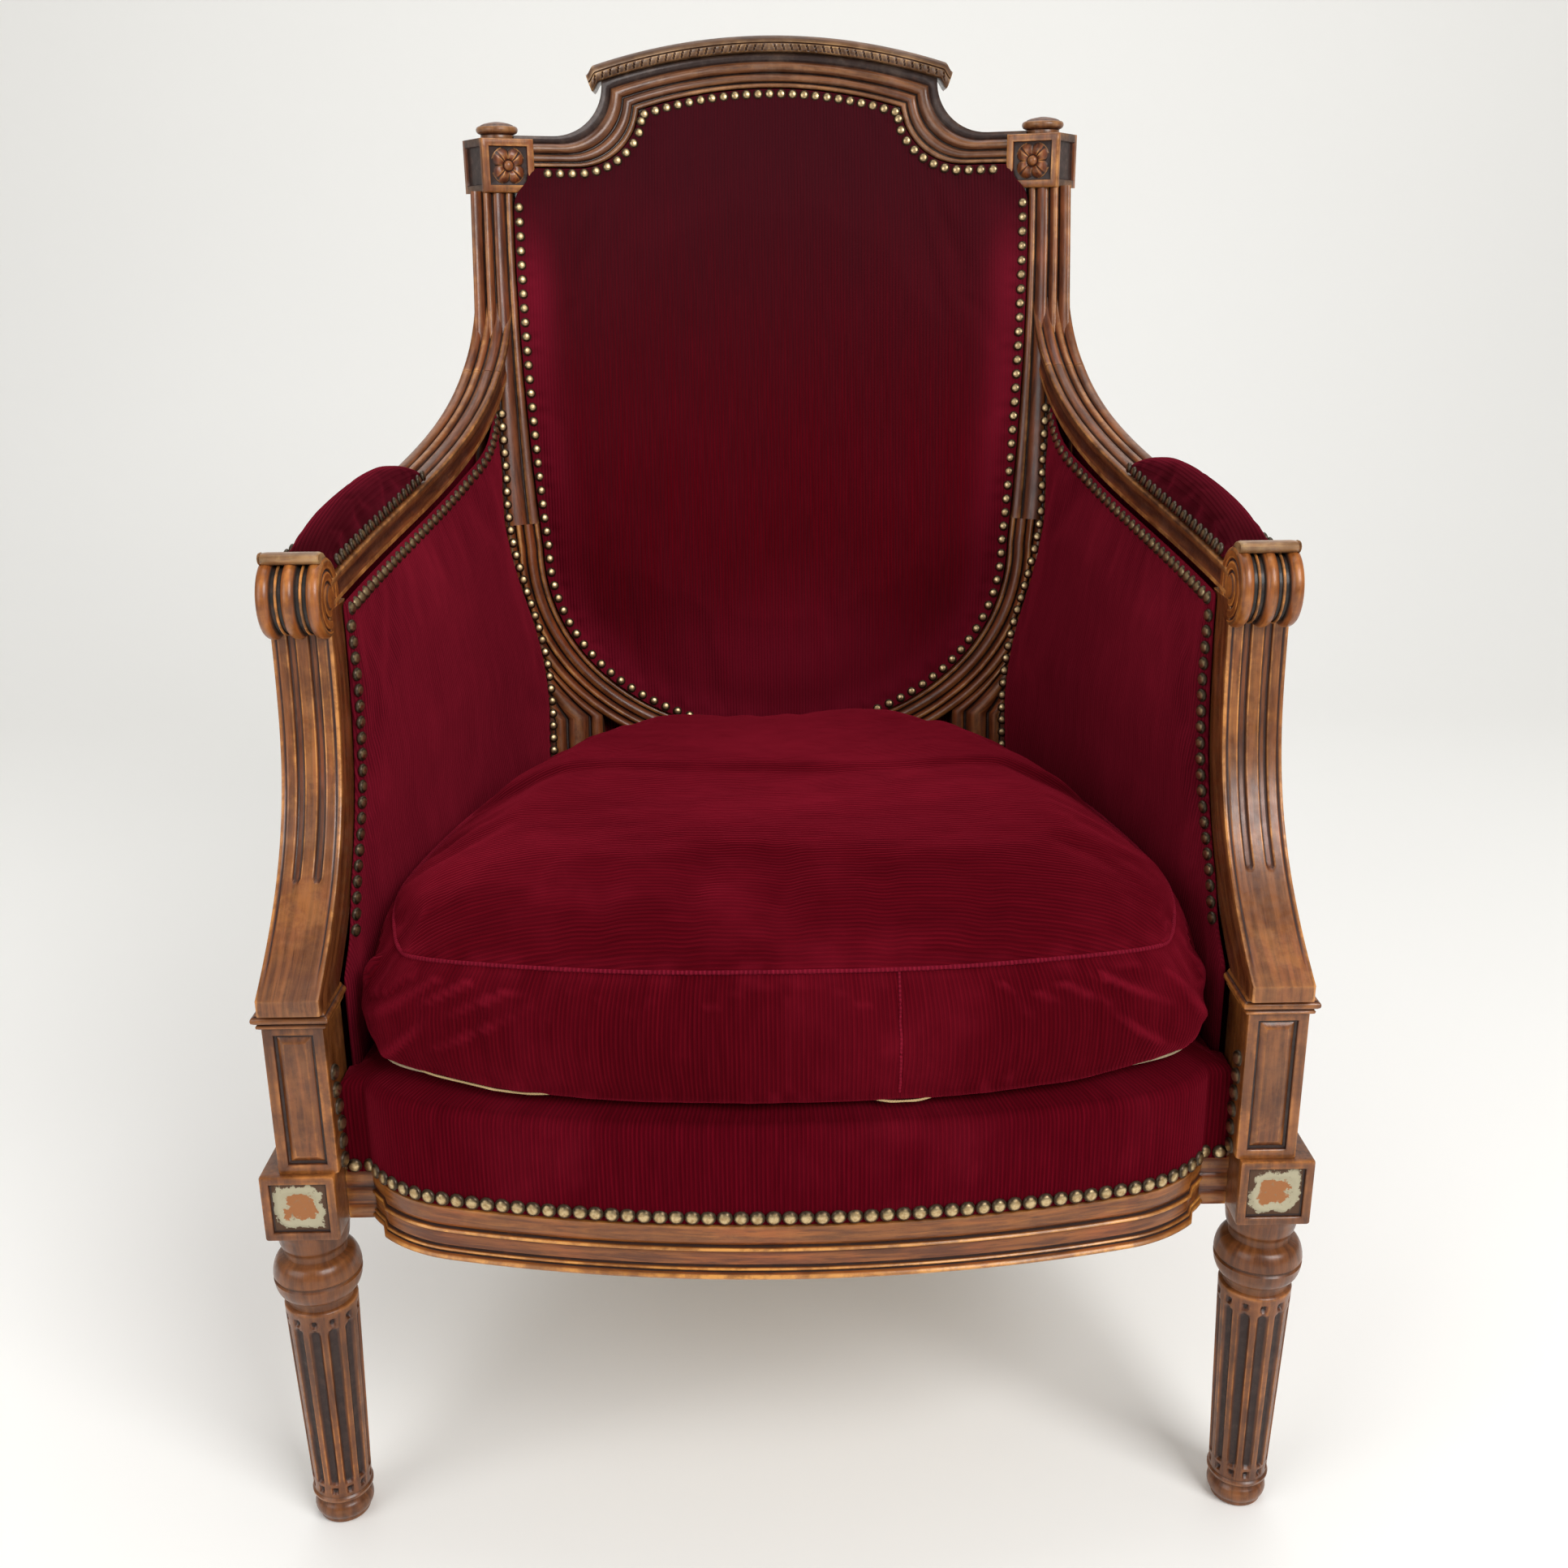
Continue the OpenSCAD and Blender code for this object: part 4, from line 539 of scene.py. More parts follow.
def ellipsePath(a, b, cz, n):
    return [(a * math.cos(t), cz - b * math.sin(t)) for t in steps(0, pi, n)]


def makeHoop():
    b = backForm
    top = b["jointZ"] - 0.15
    x = innerX(b["jointZ"])
    inner = [(x, top)] + ellipsePath(b["halfWidth"], b["hoopDrop"], b["hoopZ"], 88) + [(-x, top)]
    outer = [(x + 28, top)] + ellipsePath(b["halfWidth"] + 28, b["hoopDrop"] + 28, b["hoopZ"], 88) + [(-x - 28, top)]
    return backLoft(list(zip(inner, outer)), bandLine, b["depth"])


crestForm = {"archR": 366.5, "archX": 112.7, "scoopR": 52.5, "scoopX": 165, "scoopZ": 921, "top": 933.5,
             "crownR": 441, "crownX": 143.6, "shoulderR": 41.4, "shoulderX": 185, "shoulderZ": 935, "crownTop": 962,
             "endX": 216}


def archPath(r, cz, endX, cx, cz2, r2, lastX):
    path = [(x, cz + math.sqrt(r * r - x * x)) for x in steps(0, endX, 20)]
    a0 = math.atan2(path[-1][1] - cz2, endX - cx)
    a0 += 2 * pi if a0 < 0 else 0
    path += [(cx + r2 * math.cos(a), cz2 + r2 * math.sin(a)) for a in steps(a0, 1.5 * pi, 16)[1:]]
    return path + [(x, cz2 - r2) for x in steps(cx, lastX, 6)[1:]]


def makeCrest():
    c = crestForm
    inner = archPath(c["archR"], c["top"] - c["archR"], c["archX"], c["scoopX"], c["scoopZ"], c["scoopR"], c["endX"])
    outer = archPath(c["crownR"], c["crownTop"] - c["crownR"], c["crownX"], c["shoulderX"], c["shoulderZ"], c["shoulderR"],
                     c["endX"])
    return backLoft(list(zip(mirrorPath(inner), mirrorPath(outer))), crestLine, backForm["crestDepth"])


capForm = {"half": 153, "thick": 13.5, "depth": 30, "proud": 4.5, "pitch": 6.9, "cut": 1.7, "steps": 320}


def makeCap():
    c = capForm
    low = crestForm["crownR"] + 0.3
    cz = crestForm["crownTop"] - crestForm["crownR"]
    aEnd = math.asin(c["half"] / crestForm["crownR"])
    shares = [(s, 1 - math.sqrt(max(0, 1 - (2 * s - 1) ** 2)) ** 0.8) for s in steps(0.02, 0.98, 22)]
    rings, high, flows = [], [], []
    for k in range(c["steps"] + 1):
        a = lerp(-aEnd, aEnd, k / c["steps"])
        end = min(1, (1 - abs(2 * k / c["steps"] - 1)) * 40)
        run = a * low
        droop = 5.5 * smooth((abs(2 * k / c["steps"] - 1) - 0.945) / 0.055)
        ring, row, flow = [], [], []
        for s, d in shares:
            lean = run / c["pitch"] + s * 0.85 * (1 if a > 0 else -1)
            wave = abs(math.sin(pi * lean))
            rope = smooth((0.5 - s) / 0.08) * smooth((s - 0.06) / 0.06)
            notch = smooth((0.45 - wave) / 0.45) * rope * end + smooth(1 - abs(s - 0.53) / 0.05) * 0.8
            leaf = 0.5 * math.cos(2 * pi * lean) * rope
            r = lerp(low, low + c["thick"], s) - droop
            x, z = r * math.sin(a), cz + r * math.cos(a)
            ring.append((x, backY(x, z) - c["proud"] + backForm["relief"] * d + c["cut"] * notch - leaf * 0.5, z))
            row.append(max(0, 1 - d * 0.9 - notch * 1.3))
            flow.append((run, s * 14, d * 5))
        for s, d in ((1, c["depth"] - 2), (0.9, c["depth"]), (0.1, c["depth"]), (0, c["depth"] - 2)):
            r = lerp(low, low + c["thick"], s) - droop
            x, z = r * math.sin(a), cz + r * math.cos(a)
            ring.append((x, backY(x, z) + d, z))
            row.append(0.9)
            flow.append((run, s * 14, 25))
        rings.append(ring)
        high.append(row)
        flows.append(flow)
    return ringShape(rings, high, flows)


# arms: a reeded rail with a scroll at its front, ending at a glue seam in the back post

armForm = {"frontY": -210.83, "frontZ": 614, "midY": 39.17, "midZ": 640, "topZ": 770, "postX": 236, "supportX": 291.5,
           "bow": 12, "width": (38, 29), "thick": (19, 27), "seam": 0.78, "relief": 3.22, "turn": 0.4297}
armEndY = backY(armForm["postX"], armForm["topZ"])
armCurve = [(armForm["frontY"], armForm["frontZ"]), (armForm["midY"], armForm["midZ"]),
            (armEndY - 115 * rake, 655), (armEndY, 770)]


def bezier(t):
    w = ((1 - t) ** 3, 3 * (1 - t) ** 2 * t, 3 * (1 - t) * t * t, t ** 3)
    return Vector((sum(k * p[0] for k, p in zip(w, armCurve)), sum(k * p[1] for k, p in zip(w, armCurve))))


def armX(y):
    s = (y - armForm["frontY"]) / (armEndY - armForm["frontY"])
    return lerp(armForm["supportX"], armForm["postX"], s) + 4 * armForm["bow"] * s * (1 - s)


def armWidth(t):
    return lerp(*armForm["width"], t)


def armThick(t):
    return lerp(*armForm["thick"], t)


def armDown(t):
    d = (bezier(t + 0.01) - bezier(t - 0.01)).normalized()
    return Vector((d[1], -d[0]))


def armPoint(t, dx, deep):
    p = bezier(t)
    q = p + armDown(t) * deep
    turn = armForm["turn"] * smooth((t - 0.55) / 0.45)
    return (armX(p[0]) + dx, q[0] - turn * dx, q[1])


def armShareAt(y):
    a, b = 0.0, 1.0
    for _ in range(24):
        c = (a + b) / 2
        a, b = (c, b) if bezier(c)[0] < y else (a, c)
    return (a + b) / 2


def armLoft(t0, t1, n, sinkTo=0):
    rings, flows, high = [], [], []
    run, last = t0 * 600, None
    for k in range(n + 1):
        t = lerp(t0, t1, k / n)
        sink = sinkTo * k / n
        w, thick = armWidth(t), armThick(t)
        p = bezier(t)
        run += (p - last).length if last else 0
        last = p
        ring = [armPoint(t, w * (s - 0.5), armForm["relief"] * d + sink) for s, d in bandLine]
        flow = [(run, w * s, 0) for s, _ in bandLine]
        # the outer and inner sides have a hollow between two fillets
        for side, order in ((0.5, 1), (-0.5, -1)):
            cuts = [(0.30, 0), (0.36, 0.6), (0.45, 1.6), (0.58, 1.9), (0.70, 1.2), (0.78, 0.4), (0.80, 0), (0.94, 0),
                    (1.0, 1.6)]
            for share, inset in (cuts if order > 0 else cuts[::-1]):
                ring.append(armPoint(t, w * side - order * inset, thick * share + sink))
                flow.append((run, w + thick * share, 5))
        rings.append(ring)
        flows.append(flow)
        sides = [1, 0.7, 0.35, 0.3, 0.4, 0.75, 0.9, 1, 1]
        high.append(shareRelief(bandLine) + sides + sides[::-1])
    return ringShape(rings, high, flows)


scrollForm = {"y": -217.83, "z": 603, "r": 25, "reed": 3, "half": 19, "proud": 1.5, "segments": 120}


def makeScroll():
    s = scrollForm
    reeds = beadLine([(0.0, 0.225, 1.0, 0.0, 1.35), (0.278, 0.332, 1.35, 0.8, 1.35), (0.385, 0.615, 1.35, 0.0, 1.35),
                      (0.668, 0.722, 1.35, 0.8, 1.35), (0.775, 1.0, 1.35, 0.0, 1.0)], n=8)
    face = [(r, r / (s["r"] - s["reed"])) for r in (0.2, 2, 4, 5.6, 6.6, 7.2)] + [(r, 0) for r in steps(7.6, 21.6, 30)]
    profile = []
    for r, _ in face:
        eye = s["proud"] * math.sqrt(max(0, 1 - (r / 7.4) ** 2)) if r < 7.4 else 0
        profile.append((-s["half"] - eye, r, "face"))
    for share, d in reeds:
        profile.append((lerp(-s["half"], s["half"], share), s["r"] - s["reed"] * d, 1 - d))
    profile += [(-x, r, kind) for x, r, kind in profile[:len(face)][::-1]]
    rings, high, flows = [], [], []
    n = s["segments"]
    for x, r, kind in profile:
        ring, row, flow = [], [], []
        for k in range(n):
            a = 2 * pi * k / n
            dx, up = 0, kind if kind != "face" else 1
            if kind == "face" and r > 7.4:  # the spiral line cut in the flat of the scroll
                off = (r - 7.6 - 7.2 * (a / (2 * pi))) % 7.2
                gap = min(off, 7.2 - off)
                cut = math.exp(-(gap / 1.0) ** 2) * smooth((21.4 - r) / 2)
                dx, up = 1.1 * cut, 1 - 0.95 * cut
            elif kind == "face" and 6.4 < r:
                up = 0.2
            dx = dx if x < 0 else -dx
            ring.append((armForm["supportX"] + x + dx, s["y"] + r * math.cos(a), s["z"] + r * math.sin(a)))
            row.append(max(0, up))
            flow.append((a * 25, x, r))
        rings.append(ring)
        high.append(row)
        flows.append(flow)
    return ringShape(rings, high, flows)


def makeLip():
    x0, x1 = armForm["supportX"] - 18, armForm["supportX"] + 18
    line = [(-213.5, 626.2), (-217.8, 627.4), (-221.4, 626.4), (-224.6, 624.9), (-227.6, 624.9), (-229.8, 626.0),
            (-231.2, 627.8), (-231.3, 629.6), (-230.0, 631.3), (-227.4, 632.0), (-222.0, 631.8), (-217.6, 630.6),
            (-214.4, 628.2), (-211.0, 622.5), (-208.5, 617.0), (-208.5, 612.0)]
    rings, high = [], []
    for k, x in enumerate([x0, x0 + 0.8] + steps(x0 + 1.5, x1 - 1.5, 12) + [x1 - 0.8, x1]):
        pull = 0.9 if k in (0, 15) else 0.25 if k in (1, 14) else 0
        rings.append([(x, y + (pull if y < -222 else 0), z - (pull if z > 628 else 0)) for y, z in line])
        high.append([0.3, 0.1, 0.1, 0.5, 0.9, 1, 1, 1, 1, 1, 1, 0.9, 0.5, 0.15, 0.1, 0.1])
    return ringShape(rings, high, [[(p[0], p[1], p[2]) for p in r] for r in rings])


# arm supports: consoles with two stopped flutes on the curved front

supportForm = {"x": 291.5, "width": 38, "frontY": -219.83, "lowZ": 377.15, "topZ": 595, "fluteLow": 436, "fluteHigh": 589,
               "fluteWide": 5.4, "gap": 7.6, "fluteDeep": 2.2}


def supportFront(z):
    s = min(1, max(0, (z - 387) / 183))
    return supportForm["frontY"] - 6 * (1 - s) - 100 * (1 - s) ** 3


def supportRear(z):
    s = min(1, max(0, (z - 377) / 193))
    return supportForm["frontY"] + 40 - 9 * (1 - s) - 87 * (1 - s) ** 3


def fluteCut(x, z):
    f = supportForm
    deep = 0
    for k in (-1, 1):
        off = abs(x - k * (f["fluteWide"] + f["gap"]) / 2) / (f["fluteWide"] / 2)
        ends = min(z - f["fluteLow"], f["fluteHigh"] - z) / (f["fluteWide"] / 2)
        if ends < 1:
            off = math.hypot(off, 1 - max(ends, 0)) if ends > 0 else 2
        if off < 1:
            deep = max(deep, min(1, 1.9 * (1 - off * off)))
    return deep


def makeSupport():
    f = supportForm
    half = f["width"] / 2
    across = [-1, -0.97] + steps(-0.93, 0.93, 62) + [0.97, 1]
    rings, high, flows = [], [], []
    zs = steps(f["lowZ"], 387, 4) + steps(388, f["fluteLow"] - 1, 14) + steps(f["fluteLow"], f["fluteLow"] + 5, 6)
    zs += steps(f["fluteLow"] + 6.5, f["fluteHigh"] - 6.5, 34) + steps(f["fluteHigh"] - 5, f["fluteHigh"], 6)
    zs += steps(f["fluteHigh"] + 2, f["topZ"], 8)
    for z in zs:
        y0, y1 = supportFront(z), supportRear(z)
        ring, row, flow = [], [], []
        for u in across:
            edge = max(0, (abs(u) - 0.93) / 0.07)
            rim = hump(abs(u), 0.82, 0.035) * smooth((z - 392) / 10) * smooth((588 - z) / 8)
            cut = fluteCut(u * half, z)
            y = y0 + 1.6 * edge ** 2 + cut * f["fluteDeep"] + rim * 0.7
            ring.append((f["x"] + u * (half - (0.3 if abs(u) == 1 else 0)), y, z))
            row.append(max(0, 1 - 3.3 * cut * (1 - cut) - 0.22 * cut - rim * 0.8))
            flow.append((z, u * half, 0))
        for u, d in ((1, 0.12), (1, 0.5), (1, 0.88), (0.94, 1), (0, 1), (-0.94, 1), (-1, 0.88), (-1, 0.5), (-1, 0.12)):
            ring.append((f["x"] + u * half, lerp(y0, y1, d), z))
            row.append(0.85)
            flow.append((z, u * half, d * 30))
        rings.append(ring)
        high.append(row)
        flows.append(flow)
    return ringShape(rings, high, flows)


# turned legs with flutes that stop short of the ends, each end marked by a drilled dot

legForm = {"height": 222, "foot": 16.5, "shaft": (18.5, 23), "bulb": 27.5, "flutes": 12, "wide": 7.0, "deep": 2.7,
           "perFlute": 12}


def legProfile(h):
    f = legForm
    footTop, shaftTop, bulbMid, bulbHalf = 0.08 * h, 0.757 * h, 0.845 * h, 0.062 * h
    pts = [(0, f["foot"] - 1.2), (0.8, f["foot"] - 0.2)]
    pts += [(footTop * (1 + 0.84 * math.sin(a)) / 2, f["foot"] + 7 * (math.cos(a) - math.cos(0.873)))
            for a in steps(-0.873, 0.873, 10)]
    pts += [(footTop * 0.93, f["foot"] - 0.6), (footTop, f["foot"] - 0.8)]
    thin, wide = f["shaft"]
    pts += [(footTop + z, thin + r) for z, r in ((0.6, 0.2), (1.8, 1.1), (3.4, 1.2), (4.6, 0.1))]
    pts += [(z, lerp(thin, wide, (z - footTop) / (shaftTop - footTop))) for z in steps(footTop + 5.2, shaftTop - 1.6, 74)]
    pts += [(shaftTop - 0.8, wide - 0.5), (shaftTop, 20.6), (shaftTop + 1.6, 20.4)]
    for a in steps(-1.5, -0.12, 8):  # the bulb is two rings with a line between them
        pts.append((bulbMid + bulbHalf * math.sin(a), 20.9 + (f["bulb"] - 20.9) * math.cos(a * 0.98)))
    pts += [(bulbMid - 0.5, f["bulb"] - 1.3), (bulbMid + 0.5, f["bulb"] - 1.3)]
    for a in steps(0.12, 1.5, 8):
        pts.append((bulbMid + bulbHalf * math.sin(a), 20.9 + (f["bulb"] - 20.9) * math.cos(a * 0.98)))
    pts += [(0.912 * h, 19.4), (0.925 * h, 19.2), (0.935 * h, 19.6)]
    pts += [(h * (1 - 0.062 * math.cos(a)), lerp(19.8, 22.4, math.sin(a))) for a in steps(0.1, 1.35, 6)]
    return pts + [(h * 0.99, 22.6), (h + 0.5, 22.4)]


def turnedLeg(h):
    f = legForm
    start, end = 0.08 * h + 15, 0.757 * h - 13  # of the flutes
    n = f["flutes"] * f["perFlute"]
    rings, high, flows = [], [], []
    for z, r in legProfile(h):
        ring, row, flow = [], [], []
        for k in range(n):
            a = 2 * pi * k / n
            off = ((k / f["perFlute"] + 0.5) % 1 - 0.5) * 2 * pi / f["flutes"] * r  # across from a flute's middle
            half = f["wide"] / 2 * r / 21
            along = min(z - start, end - z)
            u = abs(off) / half
            if along < half:
                u = math.hypot(u, 1 - max(0, along) / half) if along > 0 else 2
            cut = math.sqrt(1 - u * u) if u < 1 else 0
            for dot in (start - 5.2, end + 4.6):
                near = math.hypot(off, z - dot) / 2.4
                if near < 1:
                    cut = max(cut, 0.95 * math.sqrt(1 - near * near))
            ring.append((math.cos(a) * (r - f["deep"] * cut), math.sin(a) * (r - f["deep"] * cut), z))
            row.append(max(0, 1 - cut * 1.1))
            flow.append((z, a * 21, cut * 2))
        rings.append(ring)
        high.append(row)
        flows.append(flow)
    return ringShape(rings, high, flows)


def roundRect(x0, x1, y0, y1, c):
    pts, perSide = [], 7
    for cx, cy, a0 in ((x1 - c, y0 + c, -pi / 2), (x1 - c, y1 - c, 0), (x0 + c, y1 - c, pi / 2), (x0 + c, y0 + c, pi)):
        pts += [(cx + c * math.cos(a), cy + c * math.sin(a)) for a in (a0, a0 + pi / 4, a0 + pi / 2)]
    out = []
    for k, p in enumerate(pts):  # long sides get points of their own, for the wear
        q = pts[(k + 1) % len(pts)]
        out.append(p)
        if k % 3 == 2:
            out += [(lerp(p[0], q[0], s), lerp(p[1], q[1], s)) for s in [i / perSide for i in range(1, perSide)]]
    return out


def panelBlock(x0, x1, z0, z1, y0, y1, margin, deep, field=0.0):
    rows = [(1.4, y1, 0.9), (0.4, y1 - 0.5, 1), (0, y1 - 1.4, 1)] + [(0, y, 1) for y in steps(y1 - 4, y0 + 4, 4)]
    rows += [(0, y0 + 1.4, 1), (0.4, y0 + 0.4, 1), (1.4, y0, 1), (margin * 0.55, y0, 1), (margin - 0.5, y0, 1),
             (margin, y0 + 0.4, 0.9), (margin + 0.3, y0 + deep - 0.3, 0.1), (margin + 0.9, y0 + deep, 0.0)]
    if field:
        rows += [(margin + 1.8, y0 + deep, 0.1), (margin + 2.0, y0 + deep - 0.2, 0.6),
                 (margin + 2.0 + field, y0 + 0.5, 0.95), (margin + 2.6 + field, y0 + 0.5, 1)]
    else:
        rows += [(margin + 3, y0 + deep, 0.35), (margin + 6, y0 + deep, 0.6)]
    rings, high = [], []
    for inset, y, up in rows:
        c = max(0.2, 1.5 - inset * 0.2) if inset < margin else 0.3
        rings.append([(x, y, z) for x, z in roundRect(x0 + inset, x1 - inset, z0 + inset, z1 - inset, c)])
        high.append([up] * len(rings[-1]))
    return ringShape(rings, high, [[(p[2], p[0], p[1]) for p in r] for r in rings])


postForm = {"legX": 300, "rearX": 178, "rearY": 181.5, "half": 23, "frontY": -320.83, "railZ": 222, "topZ": 267,
            "dadoX": 293, "dadoHalf": 18.5, "dadoY": -316.83, "dadoDepth": 41, "lean": math.radians(7)}


def makeFrontLeg():
    p = postForm
    leg = placeShape(turnedLeg(p["railZ"]), Matrix.Translation((p["legX"], legY, 0)))
    block = panelBlock(p["legX"] - p["half"], p["legX"] + p["half"], p["railZ"], p["topZ"], p["frontY"],
                       p["frontY"] + 2 * p["half"], margin=5.5, deep=2.5)
    x0, x1, rear = p["dadoX"] - p["dadoHalf"], p["dadoX"] + p["dadoHalf"], p["dadoY"] + p["dadoDepth"]
    dado = panelBlock(x0, x1, p["topZ"] - 0.5, 367, p["dadoY"], rear, margin=6.5, deep=2.6, field=3.6)
    rows = [(0.2, 365.2), (1.4, 365.6), (2.2, 366.2), (2.4, 367.2), (1.6, 368.2), (0.9, 368.8), (1.6, 369.3), (3.3, 369.7),
            (4.3, 370.6), (4.6, 371.9), (4.3, 373.1), (3.4, 373.9), (2.4, 374.3), (2.4, 374.9), (1.5, 376.2), (0.2, 376.9),
            (-3, 377), (-8, 377)]
    high = [0.2, 0.7, 1, 1, 0.4, 0.0, 0.3, 0.9, 1, 1, 1, 0.8, 0.1, 0.5, 0.9, 1, 0.9, 0.9]
    rings = [[(x, y, z) for x, y in roundRect(x0 - o, x1 + o, p["dadoY"] - o, rear, 0.8)] for o, z in rows]
    ledge = ringShape(rings, [[h] * len(rings[0]) for h in high], [[(q[0], q[2], q[1]) for q in r] for r in rings])
    return joinShapes([leg, block, dado, ledge])


blockForm = {"x": 230.4, "turn": 30, "width": 46, "z": 848, "height": 42.5, "margin": 6, "deep": 2.5}


def blockPlace(x, y, z):
    b = blockForm
    a = -math.radians(b["turn"])
    cy = backY(b["x"], backForm["refZ"]) + b["width"] / 2 - b["deep"]
    return (b["x"] + x * math.cos(a) - y * math.sin(a), cy + x * math.sin(a) + y * math.cos(a), b["z"] + z)


def makeCornerBlock():
    b = blockForm
    h, top, m = b["width"] / 2, b["height"], b["margin"]

    def ring(inset, y, notch):
        x0, x1, z0, z1 = -h + inset, h - inset, inset, top - inset
        zs = [lerp(z0, z1, s) for s in (0, 0.14, 0.16, 0.3, 0.5, 0.7, 0.84, 0.86, 1)]
        side = [(x1 - (notch if 0.15 < k / 8.0 < 0.85 and 1 < k < 7 else 0), z) for k, z in enumerate(zs)]
        line = [(lerp(x0, x1, s), z0) for s in steps(0, 0.96, 8)] + side
        line += [(lerp(x1, x0, s), z1) for s in steps(0.04, 1, 8)] + [(x0, lerp(z1, z0, s)) for s in steps(0.1, 0.9, 6)]
        return [blockPlace(x, y, z) for x, z in line]

    rows = [(1.2, h, 0, 1), (0, h - 1.2, 0, 1), (0, 17.6, 0, 1), (0, 17, b["deep"], 0.9), (0, 10, b["deep"], 0.9),
            (0, 0, b["deep"], 0.9), (0, -10, b["deep"], 0.9), (0, -17, b["deep"], 0.9), (0, -17.6, 0, 1),
            (0, -h + 1.2, 0, 1), (0.4, -h + 0.4, 0, 1), (1.2, -h, 0, 1), (3.5, -h, 0, 1), (m - 0.4, -h, 0, 1),
            (m, -h + 0.4, 0, 0.8), (m + 0.2, -h + b["deep"] - 0.2, 0, 0.05), (m + 0.8, -h + b["deep"], 0, 0),
            (m + 5, -h + b["deep"], 0, 0.15)]
    rings = [ring(i, y, n) for i, y, n, _ in rows]
    high = [[u] * len(rings[0]) for _, _, _, u in rows]
    for k, (_, _, notch, _) in enumerate(rows):
        if notch:
            for i in range(9, 18):
                high[k][i] = 0.12
    return ringShape(rings, high)


def makeRosette():
    b = blockForm
    n = 144
    radii = [0.3, 1.5, 2.6, 3.4, 4.0, 4.5, 5.0] + steps(5.8, 15.6, 13)
    rings, high = [], []
    for r in radii:
        ring, row = [], []
        for k in range(n):
            a = 2 * pi * k / n
            petal = abs(math.sin(2 * a)) ** 0.6
            reach = 10.6 + 5.4 * petal
            if r < 4.2:
                h = 3.3 * math.sqrt(max(0, 1 - (r / 4.3) ** 2)) + 0.5
                up = 0.75 + 0.25 * (1 - r / 4.2)
            elif r < reach:
                t = (r - 4.4) / (reach - 4.4)
                curl = math.sin(pi * min(1, max(0, t)) ** 0.8)
                vein = hump((a * 4 / (2 * pi)) % 1, 0.5, 0.05)
                h = 0.4 + 2.3 * curl * (0.35 + 0.65 * petal) - 0.7 * vein * curl
                up = min(1, 0.15 + 0.95 * curl * petal - 0.6 * vein)
            else:
                h, up = -0.1, 0.0
            ring.append(blockPlace(r * math.cos(a), -b["width"] / 2 + b["deep"] - h, b["height"] / 2 + r * math.sin(a)))
            row.append(max(0, up))
        rings.append(ring)
        high.append(row)
    y, rim = -b["width"] / 2 + b["deep"] + 0.8, [2 * pi * k / n for k in range(n)]
    rings.append([blockPlace(15.8 * math.cos(a), y, b["height"] / 2 + 15.8 * math.sin(a)) for a in rim])
    high.append([0] * n)
    return ringShape(rings, high)


def postOuterX(z):
    if z >= 770:
        return 251
    if z >= 388:
        return stileNailX(z) + 20 - 6 * smooth((z - 577) / 193)
    return lerp(201, stileNailX(z) + 20, smooth((z - 300) / 88))


def postInnerX(z):
    return max(lerp(155, 156, min(1, max(0, (z - 267) / 21))), hoopOuterX(z) + 0.5 if z > 388 else 0)


def makePost():
    b, p = backForm, postForm
    low = [((postInnerX(z), z), (postOuterX(z), z)) for z in steps(266, b["jointZ"] - 0.3, 90)]
    high = [((innerX(z), z), (postOuterX(z), z)) for z in steps(b["jointZ"] - 0.2, b["blockZ"] + 1, 70)]
    lowShape = backLoft(low, stileLine, b["depth"])
    highShape = backLoft(high, bandLine, b["depth"])
    heel = armLoft(armForm["seam"] + 0.0006, 1, 26, 5)
    seat = panelBlock(p["rearX"] - p["half"], p["rearX"] + p["half"], p["railZ"], p["topZ"], p["rearY"] - p["half"],
                      p["rearY"] + p["half"], margin=5, deep=0.01)
    tilt = p["lean"]
    top = p["railZ"] + p["half"] * math.tan(tilt)
    h = (top + legForm["shaft"][0] * math.sin(tilt)) / math.cos(tilt)
    lean = Matrix.Rotation(tilt, 4, "X") @ Matrix.Translation((0, 0, -h))
    leg = placeShape(turnedLeg(h), Matrix.Translation((p["rearX"], p["rearY"], top)) @ lean)
    leg["v"][:, 2] = np.maximum(leg["v"][:, 2], 0)
    return joinShapes([lowShape, highShape, heel, seat, leg, makeCornerBlock(), makeRosette()])


def makeFinial():
    b = blockForm
    line = [(0, 13.2), (0.6, 13.9), (3.0, 14.0), (3.6, 13.6), (4.0, 14.6), (4.8, 16.3), (6.2, 17.3), (7.8, 17.5),
            (9.2, 17.0), (10.0, 16.1), (10.4, 15.0), (10.5, 14.2), (11.4, 13.2), (12.4, 10.5), (13.3, 6.5), (13.9, 2.5),
            (14.0, 0.4)]
    up = [0.6, 0.9, 0.7, 0.1, 0.5, 0.9, 1, 1, 1, 1, 0.5, 0.2, 0.7, 0.9, 0.9, 0.9, 0.9]
    n = 64
    turn = [2 * pi * k / n for k in range(n)]
    rings = [[blockPlace(r * math.cos(a), r * math.sin(a), b["height"] + 0.15 + z) for a in turn] for z, r in line]
    return ringShape(rings, [[u] * n for u in up])


# front rail: bands and a bead that follow the bowed plan

railForm = {"bowR": 845, "bowEnd": 204.9, "cornerR": 90, "recess": 2, "endX": 276.85, "nose": 67, "z": 222, "bandX": 249}
railBow = math.asin(railForm["bowEnd"] / railForm["bowR"])
railCy = legY - railForm["nose"] + railForm["bowR"]
railCorner = ((railForm["bowR"] - railForm["cornerR"]) * math.sin(railBow),
              railCy - (railForm["bowR"] - railForm["cornerR"]) * math.cos(railBow))


